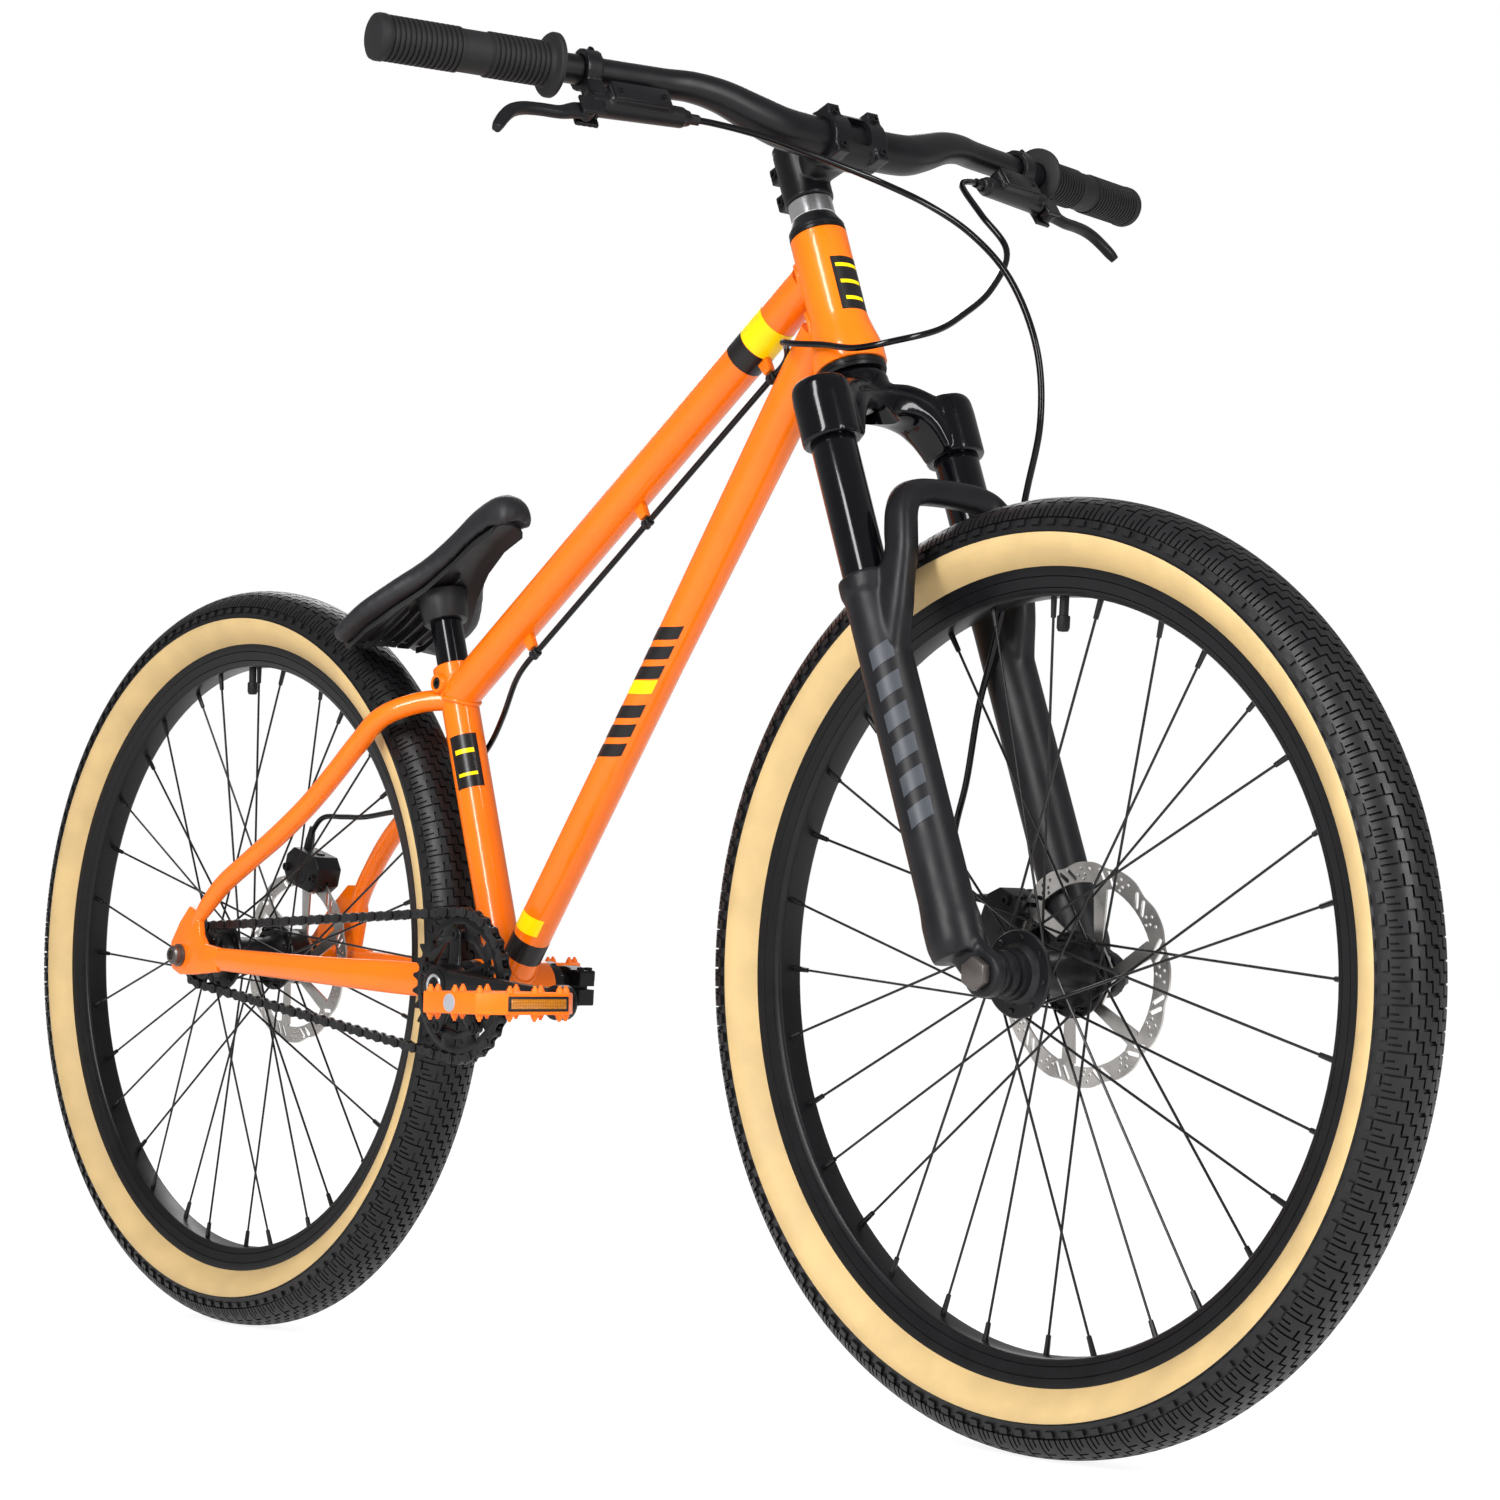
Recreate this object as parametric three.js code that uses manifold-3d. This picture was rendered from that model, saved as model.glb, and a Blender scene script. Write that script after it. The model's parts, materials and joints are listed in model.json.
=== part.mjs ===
// Dirt jump bike: hardtail frame, telescopic fork, two disc brakes and a single gear.
// Millimetres. +X points forward, +Y to the rider's left, +Z up. The origin lies on the ground
// midway between the axles.
import * as THREE from "three";
import { mergeVertices } from "three/addons/utils/BufferGeometryUtils.js";
import Module from "manifold-3d";

const wasm = await Module();
wasm.setup();

// Clearances
const gap = 0.3;
const runningGap = 0.45;
const overrun = 2;
const weld = 0.001;

// Overall geometry, angles in degrees
const wheelbase = 1000;
const rimOuterRadius = 286;
const tyreHeight = 49;
const tyreToBracket = 52.5;
const tyreToRace = 147.4;
const saddleAboveTyre = 4;
const bottomBracketDrop = 20;
const headAngle = 70;
const seatAngle = 72.8;
const forkOffset = 40.5;
const lowerCupStack = 12;
const headTubeLength = 112;

// Frame tubes
const tubeWall = 1.6;
const headTubeTopRadius = 22;
const headTubeBottomRadius = 28;
const headTubeFlareLength = 42;
const headTubeBore = 18.3;
const topTubeRadius = 16.6;
const topTubeBelowHead = 23;
const topTubeBelowSeat = 27;
const downTubeRadius = 15.9;
const downTubeHeadRadius = 18.4;
const downTubeBelowHead = 61;
const seatTubeRadius = 15.9;
const collarRadius = 18;
const collarHeight = 26;
const clampBoltBelowTop = 16;
const clampBossRadius = 8.5;
const clampBossReach = 22;
const clampBoltHeadRadius = 5;
const clampBoltHeadLength = 4;
const clampBoltRadius = 3;
const shellRadius = 22;
const shellWidth = 68;
const shellBore = 17;
const stayEndSpread = 71;
const seatstayRadius = 9;
const seatstayBelowTop = 30;
const dropoutThickness = 7;
const rearHubWidth = 135;
const dropoutReach = 60;
const dropoutWindowRadius = 10;
// The hose hangs below the top tube in three guides, placed as shares of the tube's length
const guideShares = [0.19, 0.505, 0.83];
const hoseBelowTopTube = 33;
const clipWall = 2;
const tabLength = 12;
const tabThickness = 7;

// Headset and bottom bracket
const cupFlange = 3.2;
const cupDepth = 12;
const cupWall = 3.2;
const lowerCupFlangeHeight = 7.5;
const lowerCupRadius = 26.5;
const bracketCupRadius = 21;
const bracketCupWidth = 10;
const bracketCupInsert = 14;

// Fork
const steererRadius = 14.3;
const stanchionSpacing = 127;
const stanchionOffset = 23.3;
const stanchionRadius = 17;
const stanchionWall = 2.6;
const crownBossRadius = 22.4;
const crownBossTop = 19;
const crownBossHeight = 49;
const crownCentreRadius = 25;
const crownCentreHeight = 30;
const crownRaceRadius = 20;
const crownArmDepth = 17;
const crownArmHeight = 11;
const stanchionShown = 108;
const stanchionInsert = 129.8;
const capRadius = 15;
const capHeight = 4.5;
const knobRadius = 9;
const knobHeight = 3;
const axleBelowLegs = 16.4;
const legRadius = 19.6;
const sealRadius = 21.6;
const sealHeight = 13;
const footStep = 33;
const footRadius = 21.2;
const legBottomWall = 9;
const archReach = 33;
const archRise = 56;
const archCrownRadius = 8.5;
const archFootRadius = 10;
const frontHubWidth = 110;
const lugThickness = 12;
const lugRadius = 17;
const frontAxleRadius = 10;
const axleHexRadius = 12.2;
const axleHexWidth = 7;

// Wheels
const roundSides = 12;
const smallSides = 10;
const hexSides = 6;
const spokeSides = 4;
const staySides = 8;
const tyreHalfWidth = 29.5;
const rimDepth = 21;
const rimBedDepth = 9;
const rimHalfWidth = 15.5;
const rimCrownHalfWidth = 11;
const rimWall = 1.9;
const spokeThickness = 2.4;
const spokePlaneStep = 4.5;
const spokeRingRadius = 26;
const spokeCrossAngle = 67.5;
const spokesPerSide = 16;
const wheelSegments = 2 * spokesPerSide;
const spokeRimOffset = 4;
const flangeRadius = 31;
const flangeThickness = 3.4;
const flangeSpacing = 60;
const flangeFootRadius = 21.5;
const hubShellRadius = 17;
const hubEndRadius = 14.5;
const rotorRadius = 80;
const rotorBandWidth = 15.5;
const rotorThickness = 1.8;
const rotorWaves = 12;
const rotorWaveDepth = 2.2;
const rotorHubRadius = 27;
const rotorBore = 17.4;
const rotorArmWidth = 9;
const rotorArms = 6;
const rotorArmLean = 20;
const frontRotorPlane = 39.6;
const rearRotorPlane = 52.2;
const rotorSeatRadius = 24;
const rearAxleRadius = 5;
const rearBoltRadius = 10;
const rearBoltLength = 9;
const driverRadius = 15.5;

// Brakes
const padThickness = 3.4;
const padGap = 0.5;
const padRadialSize = 17;
const padLength = 26;
const caliperLength = 54;
const caliperInnerReach = 66;
const caliperOuterReach = 100;
const caliperHalfWidth = 13;
const caliperBridge = 9;
const frontCaliperAngle = 156;
const rearCaliperAngle = 74;
const hoseRadius = 2.5;
const hoseSides = 8;
const hoseStepLength = 24;

// Drive
const chainPitch = 12.7;
const chainringTeeth = 30;
const cogTeeth = 13;
const chainline = 50;
const chainHalfHeight = 4;
const chainWidth = 8.6;
const chainArcSteps = 18;
const chainringThickness = 3.6;
const chainringBandWidth = 17;
const chainringSlots = 10;
const spiderArms = 5;
const spiderThickness = 4;
const spiderArmWidth = 15;
const spiderTipShare = 0.7;
const crankLength = 169.3;
const crankTilt = 3.4;
const spindleRadius = 12;
const crankBossRadius = 17.5;
const crankBossWidth = 17.5;
const crankBossInner = 57.8;
const crankEndRadius = 14;
const crankEndWidth = 14;
const crankEndInner = 72.5;
const pinchSlit = 2.4;
const pedalLength = 100;
const pedalWidth = 94;
const pedalThickness = 16.5;
const pedalChamfer = 17;
const pedalCentreFromCrank = 54;
const pedalBar = 10;
const pedalSpindleRadius = 5;
const pedalThreadRadius = 7;
const pedalThreadLength = 12;
const pedalWasherRadius = 8.5;
const pedalWasherWidth = 3;

// Seat
const seatpostRadius = 13.6;
const seatpostWall = 2.6;
const seatpostInsert = 110;
const seatpostShown = 56;
const saddleLength = 215;
const saddleHalfWidth = 68;
const saddleHeight = 104;
const saddleTailBack = 106;
const saddlePadThickness = 26;
const saddleBaseThickness = 5;
const saddleSocketRadius = 19;
const saddleSocketHeight = 30;

// Cockpit
const coverHeight = 12;
const coverTopRadius = 17.5;
const spacerHeight = 14;
const spacerRadius = 17.2;
const stemReach = 48.5;
const stemRise = 55.8;
const stemClampHeight = 46;
const stemClampRadius = 19.2;
const stemNeckHalfWidth = 15;
const stemNeckHalfHeight = 14;
const barClampRadius = 15.9;
const barEndRadius = 11.1;
const barWall = 2.2;
const barHalfWidth = 386;
const barRise = 21;
const barSweep = 64;
const barClampHalfWidth = 27;
const stemBarWall = 4.6;
const faceplateWindow = 20;
const topCapHeight = 4;
const gripLength = 138;
const gripRadius = 16.2;
const gripFlangeRadius = 23.5;
const gripFlangeWidth = 5;
const gripEndWall = 5;

// Brake levers
const leverDrop = 58;
const leverClampFromGrip = 26.8;
const leverClampWidth = 13;
const leverClampRadius = 15.5;
const masterDistance = 33;
const masterRadius = 9.5;
const masterInboard = 76;
const reservoirHeight = 9;
const leverPivotDistance = 42;
const leverPivotOutboard = 12;
const leverThickness = 9;
const leverPinRadius = 3;
const leverEyeRadius = 7;
const leverLength = 82;
const leverHook = 30;
const masterEarWall = 3.5;

// Directions and joints of the frame
const v3 = (x, y, z) => new THREE.Vector3(x, y, z);
// A faceted bore whose flats clear a shaft that turns in it
const runningBore = (radius) => (radius + gap) / Math.cos(Math.PI / roundSides);
const ORIGIN = v3(0, 0, 0);
const FORWARD = v3(1, 0, 0);
const LEFT = v3(0, 1, 0);
const radians = THREE.MathUtils.degToRad;
const steeringUp = v3(-Math.cos(radians(headAngle)), 0, Math.sin(radians(headAngle)));
const steeringForward = v3(Math.sin(radians(headAngle)), 0, Math.cos(radians(headAngle)));
const seatUp = v3(-Math.cos(radians(seatAngle)), 0, Math.sin(radians(seatAngle)));
const tyreRadius = rimOuterRadius + tyreHeight;
const rimInnerRadius = rimOuterRadius - rimDepth;
const rimBedRadius = rimOuterRadius - rimBedDepth;
const chainstayLength = tyreRadius + tyreToBracket;
const seatTubeLength = tyreRadius + saddleAboveTyre - seatpostShown;
const forkLength = tyreRadius + tyreToRace;
const raceToHead = lowerCupStack + headTubeLength;
const frontAxle = v3(wheelbase / 2, 0, tyreRadius);
const rearAxle = v3(-wheelbase / 2, 0, tyreRadius);
const headTop = frontAxle
  .clone()
  .addScaledVector(steeringForward, -forkOffset)
  .addScaledVector(steeringUp, forkLength + raceToHead);
const bracket = v3(
  rearAxle.x + Math.sqrt(chainstayLength ** 2 - bottomBracketDrop ** 2),
  0,
  tyreRadius - bottomBracketDrop,
);
const seatTop = bracket.clone().addScaledVector(seatUp, seatTubeLength);
const onSteering = (along) => headTop.clone().addScaledVector(steeringUp, along);
const onSeatTube = (below) => seatTop.clone().addScaledVector(seatUp, -below);

// Places in x and z from an axle, by how far out along an angle and how far across it they lie
const cornersAt = (angle) => (reach, along) => [
  reach * Math.cos(radians(angle)) - along * Math.sin(radians(angle)),
  reach * Math.sin(radians(angle)) + along * Math.cos(radians(angle)),
];

// A closed geometry as a solid with its faces outward
function solid(geometry) {
  const bare = geometry.clone();
  for (const name of Object.keys(bare.attributes)) {
    if (name !== "position") bare.deleteAttribute(name);
  }
  const merged = mergeVertices(bare, weld);
  const index = merged.index.array;
  const kept = [];
  for (let i = 0; i < index.length; i += 3) {
    const [a, b, c] = [index[i], index[i + 1], index[i + 2]];
    if (a !== b && b !== c && c !== a) kept.push(a, b, c);
  }
  const vertProperties = merged.attributes.position.array;
  const build = (triVerts) => new wasm.Manifold(new wasm.Mesh({ numProp: 3, vertProperties, triVerts }));
  const made = build(new Uint32Array(kept));
  return made.volume() < 0 ? build(new Uint32Array(kept).reverse()) : made;
}

function geometryOf(shape) {
  const mesh = shape.getMesh();
  const positions = new Float32Array(mesh.numVert * 3);
  for (let i = 0; i < mesh.numVert; i++) {
    positions.set(mesh.vertProperties.subarray(i * mesh.numProp, i * mesh.numProp + 3), i * 3);
  }
  const geometry = new THREE.BufferGeometry();
  geometry.setAttribute("position", new THREE.BufferAttribute(positions, 3));
  geometry.setIndex(new THREE.BufferAttribute(new Uint32Array(mesh.triVerts), 1));
  return geometry;
}

const union = (shapes) => shapes.reduce((whole, next) => whole.add(next));
const moved = (shape, offset) => solid(geometryOf(shape).translate(offset.x, offset.y, offset.z));
const mirrored = (shape) => solid(geometryOf(shape).scale(1, -1, 1));
const onSide = (shape, side) => (side > 0 ? shape : mirrored(shape));

// A round bar between two points, its radius given at each end
function rod(from, to, radius, endRadius = radius, sides = roundSides) {
  const span = to.clone().sub(from);
  const geometry = new THREE.CylinderGeometry(endRadius, radius, span.length(), sides);
  geometry.applyQuaternion(new THREE.Quaternion().setFromUnitVectors(LEFT, span.clone().normalize()));
  const middle = from.clone().add(to).multiplyScalar(0.5);
  geometry.translate(middle.x, middle.y, middle.z);
  return solid(geometry);
}

// A round bar across the bike, between two values of y
const crossRod = (centre, y0, y1, radius, sides = roundSides) =>
  rod(v3(centre.x, y0, centre.z), v3(centre.x, y1, centre.z), radius, radius, sides);

// A profile of [radius, place along the axis] turned about the y axis
function turnedAcross(profile, sides) {
  const points = profile.map(([radius, along]) => new THREE.Vector2(radius, along));
  return solid(new THREE.LatheGeometry([...points, points[0]], sides));
}

// A profile of [radius, height] turned about the z axis
function turnedUp(profile, sides) {
  const points = profile.map(([radius, height]) => new THREE.Vector2(radius, height));
  return solid(new THREE.LatheGeometry([...points, points[0]], sides).rotateX(Math.PI / 2));
}

// A flat plate whose outline lies in x and z, between two values of y
function plate(outline, y0, y1, holes = []) {
  const shape = new THREE.Shape(outline.map(([x, z]) => new THREE.Vector2(x, z)));
  const geometry = new THREE.ExtrudeGeometry(shape, { depth: y1 - y0, bevelEnabled: false });
  const whole = solid(geometry.rotateX(Math.PI / 2).translate(0, y1, 0));
  return holes.reduce((rest, hole) => rest.subtract(plate(hole, y0 - overrun, y1 + overrun)), whole);
}

const circle = (x, z, radius, sides) =>
  Array.from({ length: sides }, (_, i) => {
    const angle = (2 * Math.PI * i) / sides;
    return [x + radius * Math.cos(angle), z + radius * Math.sin(angle)];
  });

const shares = (table, size) => table.map((row) => row.map((share) => share * size));

// A closed skin over rings of equally many points, capped at both ends
function skin(rings) {
  const positions = [];
  const face = (...corners) => corners.forEach((corner) => positions.push(...corner.toArray()));
  const sides = rings[0].length;
  for (let i = 0; i + 1 < rings.length; i++) {
    for (let j = 0; j < sides; j++) {
      const k = (j + 1) % sides;
      face(rings[i][j], rings[i][k], rings[i + 1][k]);
      face(rings[i][j], rings[i + 1][k], rings[i + 1][j]);
    }
  }
  const last = rings[rings.length - 1];
  for (let j = 1; j + 1 < sides; j++) {
    face(rings[0][0], rings[0][j + 1], rings[0][j]);
    face(last[0], last[j], last[j + 1]);
  }
  const geometry = new THREE.BufferGeometry();
  geometry.setAttribute("position", new THREE.Float32BufferAttribute(positions, 3));
  return solid(geometry);
}

// An oval bar along points, with half a width across and half a height at each point
function sweep(points, widths, heights, sides, across = LEFT, phaseShare = 0.5) {
  const rings = points.map((point, i) => {
    const before = points[Math.max(i - 1, 0)];
    const after = points[Math.min(i + 1, points.length - 1)];
    const tangent = after.clone().sub(before).normalize();
    const side = across.clone().addScaledVector(tangent, -across.dot(tangent)).normalize();
    const rise = tangent.clone().cross(side);
    return Array.from({ length: sides }, (_, j) => {
      const angle = (2 * Math.PI * (j + phaseShare)) / sides;
      return point
        .clone()
        .addScaledVector(side, widths[i] * Math.cos(angle))
        .addScaledVector(rise, heights[i] * Math.sin(angle));
    });
  });
  return skin(rings);
}

const rounded = (points, radii, sides, across) => sweep(points, radii, radii, sides, across, 0);

// A box from its middle and its three sizes
function block(middle, x, y, z) {
  return solid(new THREE.BoxGeometry(x, y, z).translate(middle.x, middle.y, middle.z));
}

// A hose of constant radius through points
function hose(points) {
  const outline = new THREE.Shape(
    circle(0, 0, hoseRadius, hoseSides).map(([x, y]) => new THREE.Vector2(x, y)),
  );
  const path = new THREE.CatmullRomCurve3(points.map(([x, y, z]) => v3(x, y, z)), false, "centripetal");
  const steps = Math.round(path.getLength() / hoseStepLength);
  return solid(new THREE.ExtrudeGeometry(outline, { steps, extrudePath: path }));
}

// Finishes
const finish = (color, roughness, metalness = 0) =>
  new THREE.MeshStandardMaterial({ color, roughness, metalness });
const orangePaint = finish(0xf47c10, 0.25);
const glossBlack = finish(0x0b0b0c, 0.15);
const satinBlack = finish(0x18181a, 0.45);
const anodisedBlack = finish(0x101012, 0.35, 0.6);
const tyreRubber = finish(0x1d1d1f, 0.85);
const blackRubber = finish(0x151516, 0.75);
const steel = finish(0x9a9a9c, 0.35, 0.9);
const chainSteel = finish(0x2c2c2e, 0.4, 0.8);
const orangePlastic = finish(0xf06a12, 0.45);
const paddedCover = finish(0x1b1c20, 0.6);
const blackPlastic = finish(0x111112, 0.55);

const bike = new THREE.Group();
const steering = new THREE.Group();
steering.position.copy(headTop);
steering.rotation.y = radians(headAngle - 90);
bike.add(steering);
const cockpit = new THREE.Group();
cockpit.position.set(stemReach, 0, stemRise);
cockpit.rotation.y = -steering.rotation.y;
steering.add(cockpit);

function addPiece(name, shape, material, parent = bike) {
  const mesh = new THREE.Mesh(geometryOf(shape), material);
  mesh.name = name;
  parent.add(mesh);
}

// Centre line of one chainstay or seatstay: shares of the run to the axle, of the spread at the
// dropout and of the drop, then half a width and half a height as shares of the seatstay radius
const chainstayShares = [
  [-0.02, 0.3, 0.75, 1.3],
  [0.09, 0.45, 0.62, 1.5],
  [0.17, 0.535, 0.55, 1.56],
  [0.25, 0.6, 0.62, 1.56],
  [0.4, 0.775, 0.8, 1.4],
  [0.6, 0.88, 0.85, 1.25],
  [0.8, 0.965, 0.7, 1.15],
  [0.9, 1, 0.4, 1.1],
];
const seatstayShares = [
  [0.01, 0.1, 0, 1],
  [0.075, 0.33, 0.01, 1],
  [0.16, 0.62, 0.065, 1],
  [0.247, 0.7, 0.167, 1],
  [0.338, 0.74, 0.276, 1],
  [0.448, 0.785, 0.398, 1],
  [0.578, 0.85, 0.52, 1],
];
const seatstayEndShares = {
  right: [
    [0.7, 0.91, 0.62, 0.97],
    [0.82, 0.955, 0.72, 0.93],
    [0.9, 0.985, 0.82, 0.75],
    [0.945, 1, 0.89, 0.4],
  ],
  left: [
    [0.675, 0.91, 0.638, 0.97],
    [0.74, 0.955, 0.735, 0.93],
    [0.77, 0.985, 0.82, 0.75],
    [0.79, 1, 0.89, 0.4],
  ],
};

// A stay from shares of its run, spread and drop, and of the seatstay radius for its section
function stay(table, start, end, side) {
  const points = table.map(([along, outward, down]) =>
    v3(
      THREE.MathUtils.lerp(start.x, end.x, along),
      side * outward * stayEndSpread,
      THREE.MathUtils.lerp(start.z, end.z, down),
    ),
  );
  const widths = table.map(([, , , width]) => width * seatstayRadius);
  const heights = table.map(([, , , , height]) => height * seatstayRadius);
  return sweep(points, widths, heights, staySides);
}

function chainstay(side) {
  const table = chainstayShares.map(([along, outward, wide, high]) => [along, outward, along, wide, high]);
  return stay(table, bracket, rearAxle, side);
}

function seatstay(side) {
  const ends = side > 0 ? seatstayEndShares.left : seatstayEndShares.right;
  const rows = [...seatstayShares, ...ends];
  const table = rows.map(([along, outward, down, size]) => [along, outward, down, size, size]);
  return stay(table, onSeatTube(seatstayBelowTop), rearAxle, side);
}

const topTubeFrom = onSeatTube(topTubeBelowSeat);
const topTubeTo = onSteering(-topTubeBelowHead);
const downTubeTo = onSteering(-downTubeBelowHead);
const between = (from, to, share) => from.clone().lerp(to, share);
// The down tube widens to its full size by these shares at these shares of its length
const taperShares = [0, 0.5, 0.75, 0.9, 1];
const flareShares = [0, 0, 0.5, 1, 1];

function mainTubes(shrink) {
  const topTubeSkin = topTubeRadius - shrink;
  const topTube = rod(topTubeFrom, topTubeTo, topTubeSkin);
  const downTube = rounded(
    taperShares.map((share) => between(bracket, downTubeTo, share)),
    flareShares.map((share) => THREE.MathUtils.lerp(downTubeRadius, downTubeHeadRadius, share) - shrink),
    roundSides,
  );
  return [topTube, downTube];
}

const topTubeDirection = topTubeTo.clone().sub(topTubeFrom).normalize();
const topTubeBelow = v3(topTubeDirection.z, 0, -topTubeDirection.x);

const guidePlace = (share, below) =>
  between(topTubeFrom, topTubeTo, share).addScaledVector(topTubeBelow, below);

function hoseTab(share) {
  const reach = hoseBelowTopTube - hoseRadius - clipWall - 2 * gap;
  const half = topTubeDirection.clone().multiplyScalar(tabLength / 2);
  const top = guidePlace(share, topTubeRadius - overrun);
  const bottom = guidePlace(share, reach);
  const corners = [
    top.clone().add(half),
    top.clone().sub(half),
    bottom.clone().sub(half),
    bottom.clone().add(half),
  ];
  return plate(corners.map((corner) => [corner.x, corner.z]), -tabThickness / 2, tabThickness / 2);
}

function hoseClip(share) {
  const middle = guidePlace(share, hoseBelowTopTube);
  const lengthOfTube = (length, radius) => {
    const half = topTubeDirection.clone().multiplyScalar(length / 2);
    return rod(middle.clone().sub(half), middle.clone().add(half), radius, radius, smallSides);
  };
  const clipLength = (tabLength * 2) / 3;
  const outer = lengthOfTube(clipLength, hoseRadius + clipWall);
  return outer.subtract(lengthOfTube(clipLength + 2 * overrun, hoseRadius + gap));
}

// Dropout outlines as shares of the dropout's reach, from the axle
const rightDropoutShares = [
  [-0.29, -0.04],
  [-0.24, 0.21],
  [-0.02, 0.5],
  [0.24, 0.74],
  [0.48, 0.6],
  [0.54, 0.3],
  [0.66, 0.17],
  [1, 0.12],
  [1, -0.24],
  [0.33, -0.29],
  [0, -0.29],
  [-0.2, -0.21],
];
const leftDropoutShares = [
  [-0.28, 0.02],
  [-0.2, 0.22],
  [0.05, 0.34],
  [0.42, 0.7],
  [0.95, 1.1],
  [1.3, 1.1],
  [1.36, 0.7],
  [1.22, 0.16],
  [1.5, 0.12],
  [1.5, -0.2],
  [0.33, -0.3],
  [0, -0.29],
  [-0.2, -0.2],
];
const dropoutWindowShares = [0.7, 0.2];

function dropout(side) {
  const outline = shares(side > 0 ? leftDropoutShares : rightDropoutShares, dropoutReach);
  const inner = rearHubWidth / 2 + gap;
  const placed = outline.map(([x, z]) => [rearAxle.x + x, rearAxle.z + z]);
  const [windowX, windowZ] = dropoutWindowShares.map((share) => share * dropoutReach);
  const window = circle(rearAxle.x + windowX, rearAxle.z + windowZ, dropoutWindowRadius, roundSides);
  const [y0, y1] = side > 0 ? [inner, inner + dropoutThickness] : [-inner - dropoutThickness, -inner];
  const axleHole = circle(rearAxle.x, rearAxle.z, rearAxleRadius + gap, roundSides);
  return plate(placed, y0, y1, side > 0 ? [axleHole, window] : [axleHole]);
}

const clampBoltPlace = onSeatTube(clampBoltBelowTop);

function frame() {
  const headOuter = turnedUp(
    [
      [0, 0],
      [headTubeTopRadius, 0],
      [headTubeTopRadius, headTubeFlareLength - headTubeLength],
      [(headTubeTopRadius + headTubeBottomRadius) / 2, headTubeFlareLength / 2 - headTubeLength],
      [headTubeBottomRadius, headTubeFlareLength / 5 - headTubeLength],
      [headTubeBottomRadius, -headTubeLength],
      [0, -headTubeLength],
    ],
    roundSides,
  );
  const lowerBore = lowerCupRadius - cupWall;
  const headBore = turnedUp(
    [
      [0, overrun],
      [headTubeBore, overrun],
      [headTubeBore, -headTubeLength / 2],
      [lowerBore, headTubeFlareLength / 2 - headTubeLength],
      [lowerBore, -headTubeLength - overrun],
      [0, -headTubeLength - overrun],
    ],
    roundSides,
  );
  const toSteering = new THREE.Matrix4().makeRotationY(steering.rotation.y).setPosition(headTop);
  const inPlace = (shape) => solid(geometryOf(shape).applyMatrix4(toSteering));
  const collarTop = onSeatTube(0);
  const skinParts = [
    ...mainTubes(0),
    inPlace(headOuter),
    rod(bracket, seatTop, seatTubeRadius, seatTubeRadius, roundSides),
    rod(onSeatTube(collarHeight), collarTop, collarRadius, collarRadius, roundSides),
    crossRod(clampBoltPlace, -clampBossReach, 0, clampBossRadius, roundSides),
    crossRod(bracket, -shellWidth / 2, shellWidth / 2, shellRadius, roundSides),
    chainstay(1),
    chainstay(-1),
    seatstay(1),
    seatstay(-1),
    dropout(1),
    dropout(-1),
    ...guideShares.map(hoseTab),
  ];
  const boreRadius = seatpostRadius + gap;
  const bores = [
    ...mainTubes(tubeWall),
    inPlace(headBore),
    rod(bracket, seatTop.clone().addScaledVector(seatUp, overrun), boreRadius, boreRadius, roundSides),
    crossRod(bracket, -shellWidth / 2 - overrun, shellWidth / 2 + overrun, shellBore, roundSides),
    crossRod(clampBoltPlace, -clampBossReach - overrun, 0, clampBoltRadius + gap, smallSides),
    crossRod(
      clampBoltPlace,
      -clampBossReach - overrun,
      -clampBossReach + clampBoltHeadLength,
      clampBoltHeadRadius + gap,
      roundSides,
    ),
  ];
  return union(skinParts).subtract(union(bores));
}

addPiece("frame", frame(), orangePaint);

function seatClampBolt() {
  const headOuter = -clampBossReach + gap;
  const headInner = headOuter + clampBoltHeadLength - 2 * gap;
  const head = crossRod(clampBoltPlace, headOuter, headInner, clampBoltHeadRadius, roundSides);
  const shank = crossRod(clampBoltPlace, headInner - gap, -seatpostRadius - gap, clampBoltRadius, smallSides);
  return head.add(shank);
}

addPiece("seat_clamp_bolt", seatClampBolt(), glossBlack);
guideShares.forEach((share, i) => {
  addPiece(["hose_clip_rear", "hose_clip_middle", "hose_clip_front"][i], hoseClip(share), blackPlastic);
});

// Headset
const cupBore = runningBore(steererRadius);

function headsetUpperCup() {
  return turnedUp(
    [
      [cupBore, cupFlange],
      [headTubeTopRadius, cupFlange],
      [headTubeTopRadius, gap],
      [headTubeBore - gap, gap],
      [headTubeBore - gap, -cupDepth],
      [cupBore, -cupDepth],
    ],
    roundSides,
  );
}

function headsetLowerCup() {
  const seat = lowerCupRadius - cupWall - gap;
  return turnedUp(
    [
      [cupBore, cupDepth - headTubeLength],
      [seat, cupDepth - headTubeLength],
      [seat, -headTubeLength - gap],
      [lowerCupRadius, -headTubeLength - gap],
      [lowerCupRadius, -headTubeLength - lowerCupFlangeHeight],
      [cupBore, -headTubeLength - lowerCupFlangeHeight],
    ],
    roundSides,
  );
}

const coverBottom = cupFlange + gap;
const coverTop = coverBottom + coverHeight;
const spacerTop = coverTop + gap + spacerHeight;
const stemBottom = spacerTop + gap;
const stemTop = stemBottom + stemClampHeight;

const ring = (inner, outer, bottom, top, sides) =>
  turnedUp(
    [
      [inner, bottom],
      [outer, bottom],
      [outer, top],
      [inner, top],
    ],
    sides,
  );

function headsetCover() {
  return turnedUp(
    [
      [steererRadius + gap, coverBottom],
      [headTubeTopRadius - gap, coverBottom],
      [headTubeTopRadius - gap, coverBottom + coverHeight / 4],
      [coverTopRadius, coverTop],
      [steererRadius + gap, coverTop],
    ],
    roundSides,
  );
}

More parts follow.
